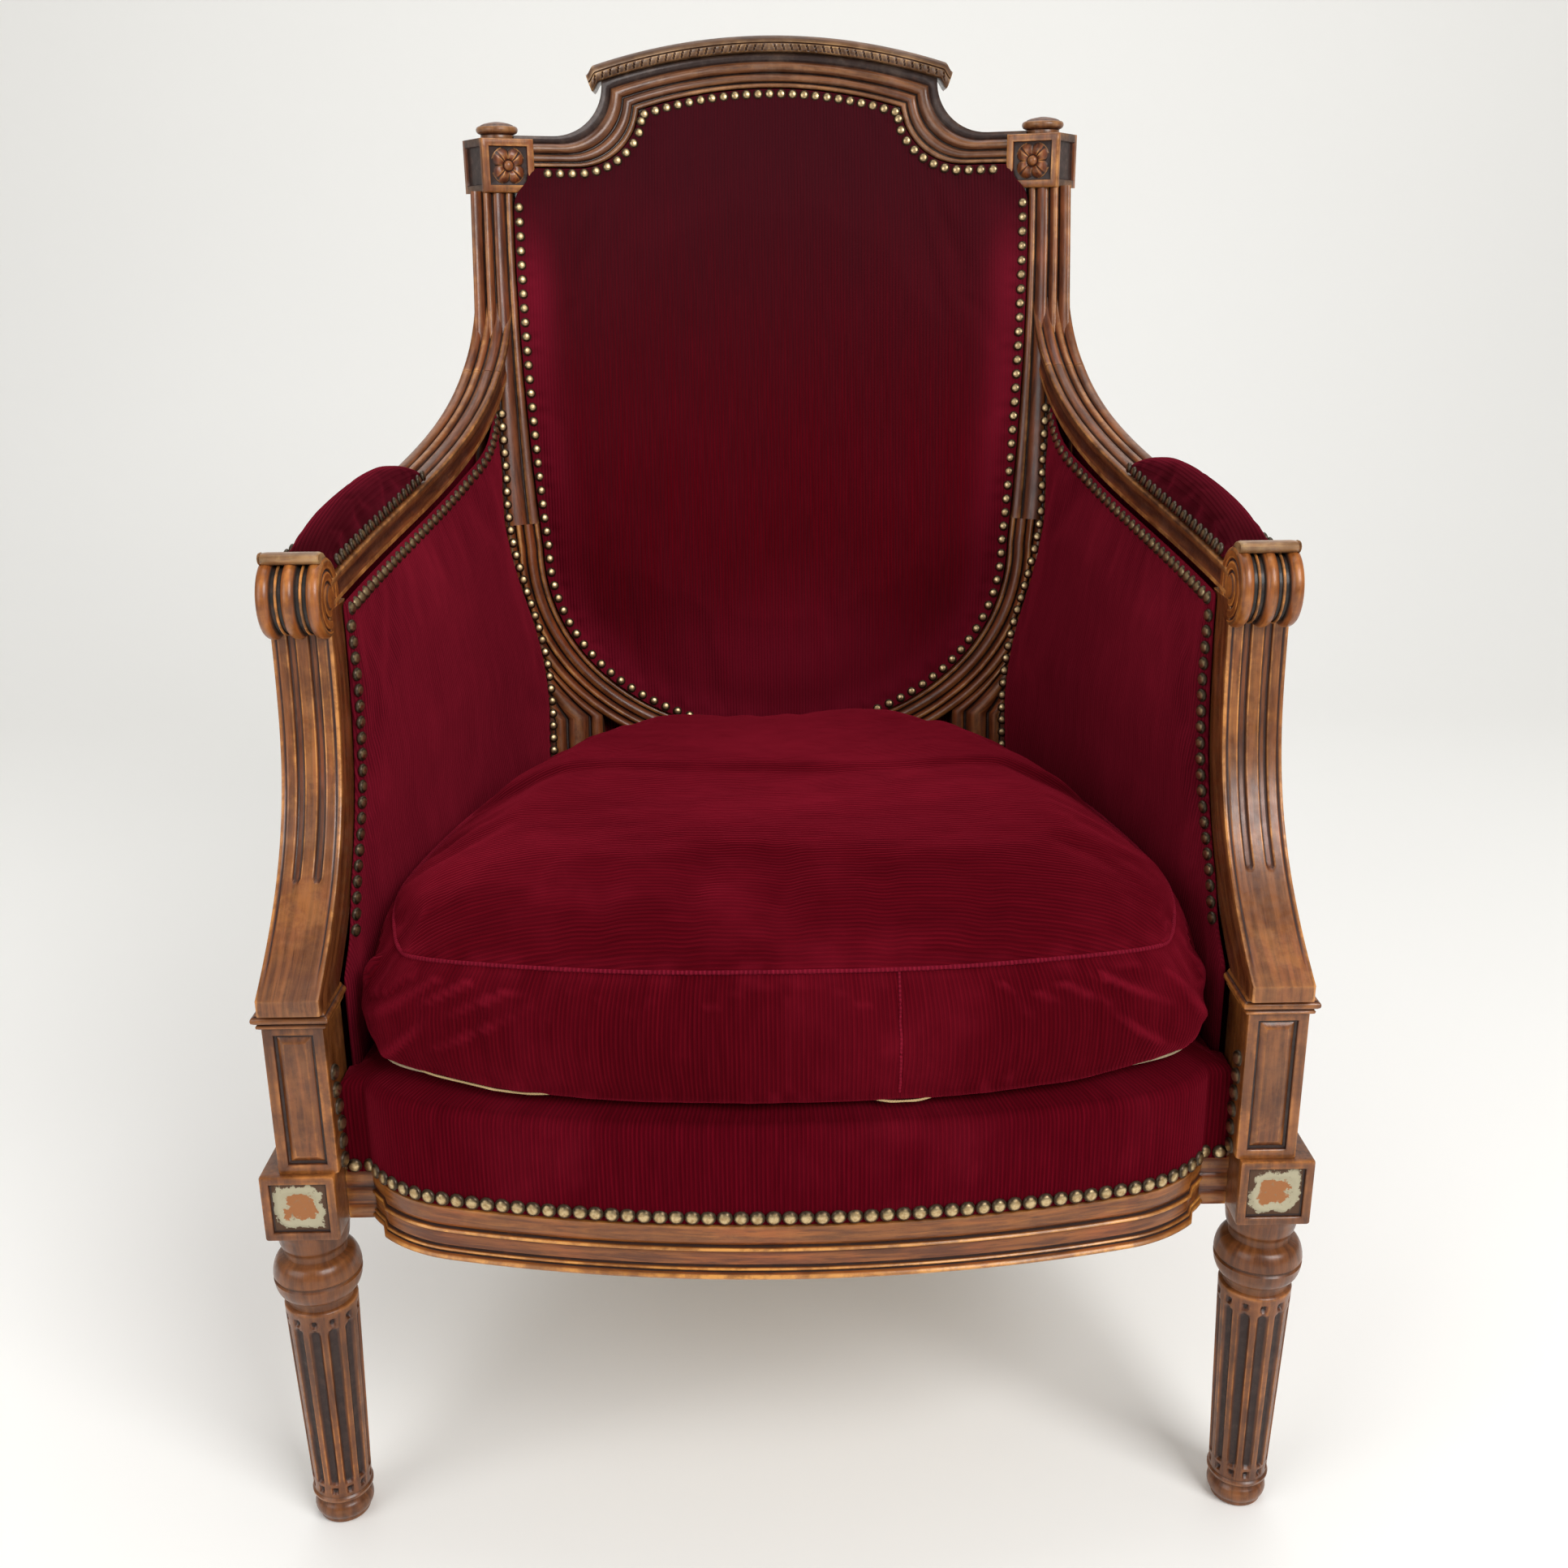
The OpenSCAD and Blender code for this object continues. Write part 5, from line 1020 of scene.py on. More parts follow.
def railOutline(e, endX=railForm["endX"], n=(30, 14, 8)):
    f = railForm
    pts = [((f["bowR"] + e) * math.sin(a), railCy - (f["bowR"] + e) * math.cos(a)) for a in steps(0, railBow, n[0])]
    straight = legY - f["recess"]
    end = math.asin((straight - e - railCorner[1]) / (f["cornerR"] + e))
    pts += [(railCorner[0] + (f["cornerR"] + e) * math.cos(a), railCorner[1] + (f["cornerR"] + e) * math.sin(a))
            for a in steps(railBow - pi / 2, end, n[1])[1:]]
    x0 = pts[-1][0]
    return pts + [(x, straight - e) for x in steps(x0, endX, n[2])[1:]]


def makeFrontRail():
    f = railForm
    z0 = f["z"]
    line = [(0.6, 0.0), (3.4, 0.25), (4.6, 1.3), (5.0, 2.6), (4.4, 3.7), (3.2, 4.3), (1.8, 4.6), (1.3, 5.0), (2.2, 5.6),
            (2.5, 6.3), (1.9, 7.0), (0.4, 7.3), (-0.4, 7.8), (0.2, 8.6), (0.1, 10), (0, 14), (-0.1, 16.8), (-0.6, 17.6),
            (-0.3, 18.2), (1.6, 18.4), (2.6, 19.0), (2.8, 19.8), (2.2, 20.6), (0.6, 20.9), (-0.5, 21.4), (0.2, 22.2),
            (0.5, 24), (0.7, 27), (0.5, 31), (0.2, 34), (-0.8, 34.8), (-3.5, 35), (-3.5, 45)]
    up = [0.8, 1, 1, 1, 1, 0.7, 0.15, 0.05, 0.7, 1, 0.7, 0.1, 0, 0.6, 0.8, 0.8, 0.6, 0, 0.1, 0.8, 1, 1, 0.8, 0.1, 0, 0.6,
          0.85, 0.9, 0.85, 0.7, 0.4, 0.2, 0.2]
    outlines = [mirrorPath(railOutline(e)) for e, _ in line]
    inside = mirrorPath(railOutline(-32))
    rings, flows, high = [], [], []
    run, last = 0, None
    for k in range(len(inside)):
        here = Vector(outlines[0][k])
        run += (here - last).length if last else 0
        last = here
        ring = [(*outlines[j][k], z0 + z) for j, (_, z) in enumerate(line)]
        row = list(up)
        if abs(ring[15][0]) > f["bandX"]:
            for j, (e, z) in enumerate(line[:31]):
                wave = abs(math.sin(pi * (z + 1.2) / 12)) ** 0.45
                x, y, level = ring[j]
                ring[j] = (x, y + e + 5.6 - 2.9 * wave, level)
                row[j] = 0.15 + 0.85 * wave
        ring += [(*inside[k], z0 + 45), (*inside[k], z0 + 22), (*inside[k], z0)]
        rings.append(ring)
        flows.append([(run, p[2], j * 0.3) for j, p in enumerate(ring)])
        high.append(row + [0.8, 0.8, 0.8])
    return ringShape(rings, high, flows)


def pairPieces(name, shape, material, nodes):
    for label, turned in bothHands(shape):
        addPiece(name + label, turned, material, replaced=[n + "_" + label.lower() for n in nodes])


addPiece("backHoop", makeHoop(), woodHoop, replaced=["back_hoop"])
addPiece("crestRail", makeCrest(), woodCrest, replaced=["crest_rail"])
addPiece("crestCap", makeCap(), woodCap, replaced=["crest_cap"])
pairPieces("backPost", makePost(), woodPost, ["back_post"])
pairPieces("finial", makeFinial(), woodCrest, ["finial"])
pairPieces("armRail", armLoft(0, armForm["seam"] - 0.0006, 70), woodArm, ["armrest"])
pairPieces("armScroll", makeScroll(), woodScroll, [])
pairPieces("armLip", makeLip(), woodLip, [])
pairPieces("armSupport", makeSupport(), woodArm, ["arm_support"])
pairPieces("frontLeg", makeFrontLeg(), woodLeg, ["front_leg"])
addPiece("frontRail", makeFrontRail(), woodFrontRail, replaced=["front_seat_rail"])


def paintNode(name, material):
    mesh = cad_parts[name].data
    mesh.materials.clear()
    mesh.materials.append(material)


for name in ("side_seat_rail_left", "side_seat_rail_right", "rear_seat_rail"):
    paintNode(name, woodPlain)
paintNode("corner_braces", woodInner)

# bare, chipped ground in the sunk panel of each front block


def makeGesso():
    mat, tree, shader = newMaterial("chippedGround")
    place = node(tree, "ShaderNodeTexCoord").outputs["Object"]
    span = node(tree, "ShaderNodeAttribute", attribute_name="relief")
    rough = noiseOf(tree, place, 260, 5, 0.7)
    large = noiseOf(tree, place, 90, 3, 0.6)
    far = plus(tree, span.outputs["Fac"], plus(tree, times(tree, maths(tree, "SUBTRACT", rough, 0.5), 0.7),
                                                       times(tree, maths(tree, "SUBTRACT", large, 0.5), 0.5)))
    tone = blend(tree, remap(tree, far, 0.50, 0.56), (0.30, 0.110, 0.032, 1), (0.37, 0.33, 0.22, 1))
    tone = blend(tree, remap(tree, rough, 0.60, 0.66, 0, 0.7), tone, (0.20, 0.15, 0.085, 1))
    tone = blend(tree, remap(tree, far, 0.86, 0.93), tone, (0.075, 0.032, 0.013, 1))
    link(tone, shader.inputs["Base Color"])
    addBump(shader, rough, 0.5, 0.0008)
    shader.inputs["Roughness"].default_value = 0.75
    return mat


def makeBlockFace():
    n = 34
    rows, far = [], []
    for i in range(n):
        for j in range(n):
            u, v = 2 * i / (n - 1) - 1, 2 * j / (n - 1) - 1
            t = (abs(u) ** 5 + abs(v) ** 5) ** 0.2
            t += 0.09 * noise.noise(Vector((u * 2.6, v * 2.6, 1.5)))
            ring = smooth(1 - abs(t - 0.74) / 0.22)
            y = -318.4 - 0.9 * ring - 0.3 * abs(noise.noise(Vector((u * 7, v * 7, 4))))
            rows.append((300 + 16.4 * u, y, 244.5 + 15.8 * v))
            far.append(t)
    front = np.array(rows)
    back = front.copy()
    back[:, 1] = -317.2
    faces = []
    for i in range(n - 1):
        for j in range(n - 1):
            q = i * n + j
            faces += [(q, q + n, q + n + 1, q + 1), (n * n + q, n * n + q + 1, n * n + q + n + 1, n * n + q + n)]
    rim = [i * n for i in range(n)] + [(n - 1) * n + j for j in range(1, n)]
    rim += [i * n + n - 1 for i in range(n - 2, -1, -1)] + list(range(n - 2, 0, -1))
    faces += [(p, q, n * n + q, n * n + p) for p, q in zip(rim, rim[1:] + rim[:1])]
    v = np.concatenate([front, back])
    return {"v": v, "f": faces, "relief": np.array(far * 2), "flow": v[:, [2, 0, 1]]}


pairPieces("blockFace", makeBlockFace(), makeGesso(), [])
print("wooden frame ready")

# ribbed velvet, plain weaves and metal


def buildRibCloth():
    tree, i, o = newGroup("ribbedPile", [
        ("Cloth", "NodeSocketVector", None), ("Place", "NodeSocketVector", None),
        ("Pile", "NodeSocketColor", (0.12, 0.004, 0.01, 1)),
        ("Bright", "NodeSocketColor", (0.3, 0.02, 0.05, 1)), ("Deep", "NodeSocketColor", (0.04, 0.002, 0.004, 1)),
        ("Pitch", "NodeSocketFloat", 0.0026), ("Rub", "NodeSocketFloat", 0.5), ("Shade", "NodeSocketFloat", 0.0)],
        [("Color", "NodeSocketColor"), ("Roughness", "NodeSocketFloat"), ("Height", "NodeSocketFloat")])
    cloth, place = i.outputs["Cloth"], i.outputs["Place"]
    split = node(tree, "ShaderNodeSeparateXYZ")
    link(cloth, split.inputs[0])
    wander = noiseOf(tree, cloth, 1.0, 2, 0.5, stretch=(120, 14, 1))
    across = plus(tree, split.outputs["X"], times(tree, wander, 0.0009))
    wave = maths(tree, "SINE", times(tree, maths(tree, "DIVIDE", across, i.outputs["Pitch"]), 2 * pi))
    rib = remap(tree, wave, -0.8, 0.5)
    streak = noiseOf(tree, cloth, 1.0, 4, 0.65, stretch=(560, 26, 1))
    band = noiseOf(tree, cloth, 1.0, 3, 0.6, stretch=(95, 7, 1))
    cloud = noiseOf(tree, place, 8, 3, 0.55, warp=0.25)
    crush = noiseOf(tree, place, 34, 4, 0.6, warp=0.35)
    lint = noiseOf(tree, place, 900, 2, 0.5)
    tone = blend(tree, remap(tree, streak, 0.3, 0.72, 0, 1), blend(tree, 1.0, i.outputs["Pile"], (0.8, 0.8, 0.8, 1),
                                                                   "MULTIPLY"),
                 blend(tree, 1.0, i.outputs["Pile"], (1.16, 1.2, 1.2, 1), "MULTIPLY"))
    tone = blend(tree, remap(tree, band, 0.35, 0.68, 0.14, 0), tone, i.outputs["Deep"])
    # painted shade in the valleys between the ribs
    tone = blend(tree, times(tree, remap(tree, rib, 0, 1, 0.62, 0), 0.72), tone, i.outputs["Deep"])
    rub = times(tree, times(tree, remap(tree, cloud, 0.42, 0.72), remap(tree, crush, 0.3, 0.75, 0.55, 1)),
                i.outputs["Rub"], clamp=True)
    tone = blend(tree, rub, tone, i.outputs["Bright"])
    tone = blend(tree, i.outputs["Shade"], tone, i.outputs["Deep"])
    tone = blend(tree, remap(tree, lint, 0.72, 0.8, 0, 0.16), tone, i.outputs["Bright"])
    link(tone, o.inputs["Color"])
    link(remap(tree, crush, 0.3, 0.7, 0.72, 0.92), o.inputs["Roughness"])
    height = plus(tree, times(tree, rib, 0.9), plus(tree, times(tree, crush, 0.9), times(tree, lint, 0.25)))
    link(height, o.inputs["Height"])
    return tree


ribbedPile = buildRibCloth()


def makeVelvet(name, pile, bright=(0.24, 0.011, 0.026), deep=(0.026, 0.0012, 0.003), rub=0.5, shade=None, glow=0.3):
    mat, tree, shader = newMaterial(name)
    group = tree.nodes.new("ShaderNodeGroup")
    group.node_tree = ribbedPile
    place = node(tree, "ShaderNodeTexCoord").outputs["Object"]
    cloth = node(tree, "ShaderNodeUVMap", uv_map="cloth")
    link(place, group.inputs["Place"])
    link(cloth.outputs["UV"], group.inputs["Cloth"])
    for label, value in (("Pile", pile), ("Bright", bright), ("Deep", deep)):
        group.inputs[label].default_value = (*value, 1)
    group.inputs["Rub"].default_value = rub
    if shade:  # heights between which the pile darkens
        split = node(tree, "ShaderNodeSeparateXYZ")
        link(place, split.inputs[0])
        link(remap(tree, split.outputs["Z"], shade[0], shade[1], 0, shade[2]), group.inputs["Shade"])
    addBump(shader, group.outputs["Height"], 0.55, 0.0009)
    # painted sheen: the colour turns to the bright pile at grazing angles and where sheenAndRub is set, standing in for
    # pile that leans away at folds and edges and catches the light there
    layer = node(tree, "ShaderNodeLayerWeight", Blend=0.4)
    sheenAndRub = node(tree, "ShaderNodeAttribute", attribute_name="sheenAndRub")
    lit = plus(tree, remap(tree, layer.outputs["Facing"], 0.3, 0.95, 0, glow), sheenAndRub.outputs["Fac"], clamp=True)
    tone = blend(tree, lit, group.outputs["Color"], (*bright, 1))
    link(tone, shader.inputs["Base Color"])
    link(group.outputs["Roughness"], shader.inputs["Roughness"])
    shader.inputs["Specular IOR Level"].default_value = 0.0
    shader.inputs["Sheen Weight"].default_value = 0.22
    shader.inputs["Sheen Roughness"].default_value = 0.34
    shader.inputs["Sheen Tint"].default_value = (0.9, 0.045, 0.10, 1)
    return mat


def makeWeave(name, color, dark, pitch=0.0012, use="UV"):
    mat, tree, shader = newMaterial(name)
    place = node(tree, "ShaderNodeTexCoord").outputs["Object"]
    if use == "UV":
        vector = node(tree, "ShaderNodeUVMap", uv_map="cloth").outputs["UV"]
    else:
        vector = place
    split = node(tree, "ShaderNodeSeparateXYZ")
    link(vector, split.inputs[0])
    waves = [maths(tree, "SINE", times(tree, split.outputs[k], 2 * pi / pitch)) for k in ("X", "Y")]
    weave = times(tree, waves[0], waves[1])
    cloud = noiseOf(tree, place, 30, 5, 0.7)
    tone = blend(tree, remap(tree, weave, -0.7, 0.7, 0.35, 0), (*color, 1), (*dark, 1))
    tone = blend(tree, remap(tree, cloud, 0.45, 0.72, 0, 0.5), tone, (*dark, 1))
    addBump(shader, weave, 0.5, 0.0004)
    link(tone, shader.inputs["Base Color"])
    link(remap(tree, cloud, 0.3, 0.7, 0.8, 0.9), shader.inputs["Roughness"])
    shader.inputs["Specular IOR Level"].default_value = 0.15
    return mat


def makeBrass():
    mat, tree, shader = newMaterial("agedBrass")
    place = node(tree, "ShaderNodeTexCoord").outputs["Object"]
    rim = node(tree, "ShaderNodeAttribute", attribute_name="crown")
    spots = noiseOf(tree, place, 420, 3, 0.6)
    tone = blend(tree, remap(tree, spots, 0.35, 0.7), (0.62, 0.47, 0.26, 1), (0.40, 0.27, 0.13, 1))
    tone = blend(tree, remap(tree, rim.outputs["Fac"], 0.55, 0.92, 0.95, 0), tone, (0.035, 0.02, 0.012, 1))
    link(tone, shader.inputs["Base Color"])
    link(remap(tree, spots, 0.3, 0.7, 0.3, 0.5), shader.inputs["Roughness"])
    link(remap(tree, rim.outputs["Fac"], 0.2, 0.7, 0.3, 1), shader.inputs["Metallic"])
    return mat


def makeSteel():
    mat, tree, shader = newMaterial("springWire")
    place = node(tree, "ShaderNodeTexCoord").outputs["Object"]
    rust = noiseOf(tree, place, 120, 4, 0.65)
    tone = blend(tree, remap(tree, rust, 0.5, 0.68, 0, 0.8), (0.42, 0.41, 0.39, 1), (0.17, 0.08, 0.04, 1))
    link(tone, shader.inputs["Base Color"])
    link(remap(tree, rust, 0.4, 0.7, 0.35, 0.75), shader.inputs["Roughness"])
    link(remap(tree, rust, 0.5, 0.7, 0.95, 0.2), shader.inputs["Metallic"])
    return mat


velvetBack = makeVelvet("velvetBack", (0.088, 0.0012, 0.0045), bright=(0.19, 0.008, 0.022), deep=(0.034, 0.006, 0.009),
                        rub=0.08, shade=(0.56, 0.93, 0.8))
velvetSide = makeVelvet("velvetSide", (0.135, 0.0058, 0.0145), rub=0.5)
velvetSeat = makeVelvet("velvetSeat", (0.086, 0.0018, 0.0060), rub=0.25)
velvetCushion = makeVelvet("velvetCushion", (0.078, 0.0019, 0.0052), bright=(0.22, 0.008, 0.021), rub=0.34, glow=0.24)
velvetSeam = makeVelvet("velvetSeam", (0.17, 0.008, 0.02), rub=0.5)
velvetArm = makeVelvet("velvetArm", (0.040, 0.0032, 0.0055), bright=(0.15, 0.010, 0.024), rub=0.2)
velvetOuter = makeVelvet("velvetOuter", (0.140, 0.0045, 0.012), rub=0.3)
linenCloth = makeWeave("linenCloth", (0.42, 0.33, 0.21), (0.22, 0.16, 0.09))
strapCloth = makeWeave("strapCloth", (0.40, 0.28, 0.15), (0.16, 0.10, 0.05), pitch=0.0032)
stuffingCloth = makeWeave("stuffingCloth", (0.30, 0.22, 0.13), (0.12, 0.08, 0.04), pitch=0.005, use="Object")
tapeCloth = makeWeave("tapeCloth", (0.55, 0.40, 0.20), (0.28, 0.18, 0.08), pitch=0.0016)
agedBrass = makeBrass()
springWire = makeSteel()
print("cloth and metal finishes ready")

# soft pieces: closed grids, blown up by cloth simulation where they are stuffed


def curveThrough(points, perSpan=10):  # smooth line through a list of points of any dimension
    p = np.asarray(points, float)
    out = []
    for k in range(len(p) - 1):
        a, b = p[max(k - 1, 0)], p[k]
        c, d = p[k + 1], p[min(k + 2, len(p) - 1)]
        for i in range(perSpan):
            t = i / perSpan
            out.append(0.5 * (2 * b + (c - a) * t + (2 * a - 5 * b + 4 * c - d) * t * t + (3 * b - a - 3 * c + d) * t ** 3))
    return np.array(out + [p[-1]])


def placesAt(p, run, n):
    want = np.linspace(0, run[-1], n + 1)
    return np.stack([np.interp(want, run, p[:, k]) for k in range(p.shape[1])], 1)


def evenly(points, n):  # n + 1 points at equal distances along a line in plan
    p = np.asarray(points, float)
    return placesAt(p, runOf(p[:, :2]), n)


def coons(front, right, back, left):
    n, m = len(front), len(left)
    u = np.linspace(0, 1, n)[None, :, None]
    v = np.linspace(0, 1, m)[:, None, None]
    f, b = front[None], back[None]
    le, ri = left[:, None], right[:, None]
    corners = (1 - u) * (1 - v) * front[0] + u * (1 - v) * front[-1] + (1 - u) * v * back[0] + u * v * back[-1]
    return (1 - v) * f + v * b + (1 - u) * le + u * ri - corners


def gridRim(m, n):  # indices round the edge of an m by n grid
    return ([(0, j) for j in range(n)] + [(i, n - 1) for i in range(1, m)]
            + [(m - 1, j) for j in range(n - 2, -1, -1)] + [(i, 0) for i in range(m - 2, 0, -1)])


def padShape(face, rims, under):
    m, n = face.shape[:2]
    rim = gridRim(m, n)
    at = [i * n + j for i, j in rim]
    k = len(at)
    verts = [face.reshape(-1, 3)] + [np.asarray(r, float) for r in rims] + [under.reshape(-1, 3)]
    base = m * n
    rings = [at] + [[base + r * k + q for q in range(k)] for r in range(len(rims))]
    low = base + len(rims) * k
    rings.append([low + a for a in at])
    faces, region = [], []
    for i in range(m - 1):
        for j in range(n - 1):
            a = i * n + j
            faces.append((a, a + 1, a + n + 1, a + n))
            region.append(0)
    for a, b in zip(rings, rings[1:]):
        for q in range(k):
            w = (q + 1) % k
            faces.append((a[q], b[q], b[w], a[w]))
            region.append(1)
    for i in range(m - 1):
        for j in range(n - 1):
            a = low + i * n + j
            faces.append((a, a + n, a + n + 1, a + 1))
            region.append(2)
    v = np.concatenate(verts)
    return {"v": v, "f": faces, "relief": np.ones(len(v)), "flow": v[:, [2, 0, 1]], "region": region, "rings": rings,
            "low": low}


def setCloth(mesh, sets, region):  # one flat pattern for each region of faces, in millimetres
    layer = mesh.uv_layers.get("cloth") or mesh.uv_layers.new(name="cloth")
    loops = arrayOf(mesh.loops, "vertex_index", 1, np.int32)
    total = arrayOf(mesh.polygons, "loop_total", 1, np.int32)
    which = np.repeat(np.asarray(region), total)
    stack = np.stack([np.asarray(s, np.float32) for s in sets])
    layer.data.foreach_set("uv", (stack[which, loops] * mm).reshape(-1))


def coordsOf(mesh):
    return arrayOf(mesh.vertices, "co", 3).astype(float)


def normalsOf(mesh):
    no = np.empty(len(mesh.vertices) * 3, np.float32)
    mesh.vertices.foreach_get("normal", no)
    return no.reshape(-1, 3).astype(float)


def putCoords(mesh, co):
    mesh.vertices.foreach_set("co", np.asarray(co, np.float32).reshape(-1))
    mesh.update()


def inflate(piece, pinned, pressure=4.0, grow=0.02, cap=0.012):
    mesh, frames = piece.data, 20
    start = coordsOf(mesh)
    pins = piece.vertex_groups.new(name="sewn")
    pins.add([int(i) for i in pinned], 1.0, "REPLACE")
    sim = piece.modifiers.new("stuffing", "CLOTH")
    s = sim.settings
    s.quality, s.mass, s.air_damping = 6, 0.35, 2.0
    s.tension_stiffness = s.compression_stiffness = 18
    s.shear_stiffness, s.bending_stiffness = 6, 0.6
    s.use_pressure, s.uniform_pressure_force = True, pressure
    s.vertex_group_mass, s.pin_stiffness, s.shrink_min = "sewn", 1.0, -grow
    s.effector_weights.gravity = 0
    sim.point_cache.frame_start, sim.point_cache.frame_end = 1, frames
    for f in range(1, frames + 1):
        scene.frame_set(f)
    got = piece.evaluated_get(bpy.context.evaluated_depsgraph_get())
    moved = coordsOf(got.data)
    piece.modifiers.remove(sim)
    scene.frame_set(1)
    piece.vertex_groups.clear()
    step = moved - start
    far = np.linalg.norm(step, axis=1)
    step *= np.where(far > cap, cap / np.maximum(far, 1e-9), 1)[:, None]
    putCoords(mesh, start + step)
    print("  simulated", piece.name, "largest move %.1f mm" % (min(far.max(), cap) * 1000),
          "mean %.1f mm" % (far.mean() * 1000))


def refine(piece):  # one subdivision, kept as a plain mesh
    sub = piece.modifiers.new("fine", "SUBSURF")
    sub.levels = sub.render_levels = 1
    old = piece.data
    made = finalMesh(piece)
    piece.modifiers.clear()
    piece.data = made
    made.name = piece.name
    bpy.data.meshes.remove(old)
    smoothFaces(made)


def wobble(x, y=0.0, z=0.0):
    return noise.noise(Vector((x, y, z)))


def nearestRun(points, line):  # distance from each point to a line of points, and how far along it lies
    line = np.asarray(line, float)
    run = runOf(line)
    best = np.full(len(points), 1e9)
    at = np.zeros(len(points))
    for k in range(0, len(points), 2000):
        d = np.linalg.norm(points[k:k + 2000, None, :] - line[None], axis=2)
        i = d.argmin(1)
        best[k:k + 2000], at[k:k + 2000] = d[np.arange(len(i)), i], run[i]
    return best, at


# the back panel

backPadForm = {"inset": 1, "flat": 9, "proud": 1.4, "swell": 14.5, "depth": 20, "nx": 84, "nz": 112, "tuck": 0.5}


def panelHalf(e):  # edge of the panel from its crown down to its lowest point, drawn in by e
    c = crestForm
    r = c["archR"] - e
    cz = c["top"] - c["archR"]
    path = [(x, cz + math.sqrt(r * r - x * x)) for x in steps(0, c["archX"], 26)]
    a0 = math.atan2(path[-1][1] - c["scoopZ"], c["archX"] - c["scoopX"])
    a0 += 2 * pi if a0 < 0 else 0
    r2 = c["scoopR"] + e
    path += [(c["scoopX"] + r2 * math.cos(a), c["scoopZ"] + r2 * math.sin(a)) for a in steps(a0, 1.5 * pi, 16)[1:]]
    level = c["scoopZ"] - r2
    path += [(x, level) for x in steps(c["scoopX"], 206 - e, 6)[1:]]
    path += [(lerp(206, 207, t) - e, lerp(level, 848 - e, t)) for t in (0.35, 0.7, 1)]
    path += [(innerX(z) - e, z) for z in steps(836, backForm["hoopZ"], 40)]
    path += [((backForm["halfWidth"] - e) * math.cos(a), backForm["hoopZ"] - (backForm["hoopDrop"] - e) * math.sin(a))
             for a in steps(0, pi / 2, 36)[1:]]
    return path


def fullPanel(e):
    half = panelHalf(e)
    return half + [(-x, z) for x, z in half[-2:0:-1]]


def panelGrid(e, nx, nz):
    half = np.array(panelHalf(e))
    a = int(np.argmin(np.hypot(half[:, 0] - 196, half[:, 1] - 850)))
    b = int(np.argmin(np.abs(np.arctan2(half[:, 1] - 556, half[:, 0]) + 0.9) + (half[:, 1] > 556) * 9))
    top = evenly(np.r_[(half[:a + 1] * [-1, 1])[::-1], half[1:a + 1]], nx)
    side = evenly(half[a:b + 1], nz)[::-1]
    bottom = evenly(np.r_[(half[b:] * [-1, 1]), half[b:-1][::-1]], nx)
    return coons(bottom, side, top, side * [-1, 1])


def makeBackPad():
    f = backPadForm
    flat = panelGrid(f["inset"], f["nx"], f["nz"])
    m, n = flat.shape[:2]
    edge = np.array(fullPanel(f["inset"]))
    away = nearestRun(flat.reshape(-1, 2), edge)[0].reshape(m, n)
    face = np.zeros((m, n, 3))
    under = np.zeros((m, n, 3))
    for i in range(m):
        for j in range(n):
            x, z = flat[i, j]
            t = min(1, max(0, (away[i, j] - f["flat"]) / 105))
            proud = f["proud"] + f["swell"] * (1 - (1 - t) ** 2.6)
            if away[i, j] < 1.2:
                proud = f["tuck"]
            face[i, j] = (x, backY(x, z) - proud, z)
            under[i, j] = (x, backY(x, z) + f["depth"], z)
    rims = [[face[i, j] + [0, d, 0] for i, j in gridRim(m, n)] for d in (1.5, 8)]
    shape = padShape(face, rims, under)
    piece = addPiece("backPad", shape, velvetBack, replaced=["back_pad"])
    setCloth(piece.data, [shape["v"][:, [0, 2]]] * 3, shape["region"])
    held = [i * n + j for i in range(m) for j in range(n) if away[i, j] < f["flat"]]
    inflate(piece, held + list(range(m * n, len(shape["v"]))), pressure=2.2, grow=0.004, cap=0.006)
    refine(piece)
    mesh = piece.data
    co = coordsOf(mesh)
    d, run = nearestRun(co[:, [0, 2]] / mm, edge)
    front = normalsOf(mesh)[:, 1] < -0.3
    pull = np.array([0.55 * math.cos(2 * pi * r / 12.5) * hump(k, 11, 6) + 0.5 * wobble(r / 30, k / 20) * math.exp(-k / 60)
                     for k, r in zip(d, run)])
    broad = np.array([0.9 * wobble(p[0] * 9, p[2] * 6, 3.1) + 0.35 * wobble(p[0] * 34, p[2] * 9, 7.7) for p in co])
    co[:, 1] += np.where(front & (d > 1), (pull - broad * np.clip(d / 40, 0, 1)) * mm, 0)
    putCoords(mesh, co)
    # painted sheen in a band about 14 mm inside the edge, fading out towards the top, and in a patch at the lower
    # middle, broken up by noise
    rim = [0.6 * hump(k, 14, 17) * smooth((0.86 - p[2]) / 0.1) for k, p in zip(d, co)]
    setFloats(mesh, "sheenAndRub", [k * (0.75 + 0.6 * wobble(p[0] * 16, p[2] * 11, 2.2))
                                + 0.5 * hump(p[2], 0.45, 0.05) * hump(p[0], 0, 0.13) for k, p in zip(rim, co)])


makeBackPad()

backCoverForm = {"from": 23, "thick": 3, "past": 0.4, "rim": 1.2, "nx": 48, "nz": 60}


def cutSheet(piece, wide=None):  # half the skin of a flat cloth is its cut area
    area = sum(p.area for p in piece.data.polygons) / 2
    co = coordsOf(piece.data)
    size = np.sort(co.max(0) - co.min(0))[1:]
    flat = (wide, area / wide) if wide else (round(float(size[0]) + 0.002, 3), round(float(size[1]) * 1.01 + 0.002, 3))
    flat = flat if flat[0] * flat[1] >= area else (flat[0], area / flat[0] * 1.001)
    print("sheet", piece.name, [round(v, 3) for v in flat], round(area, 4))


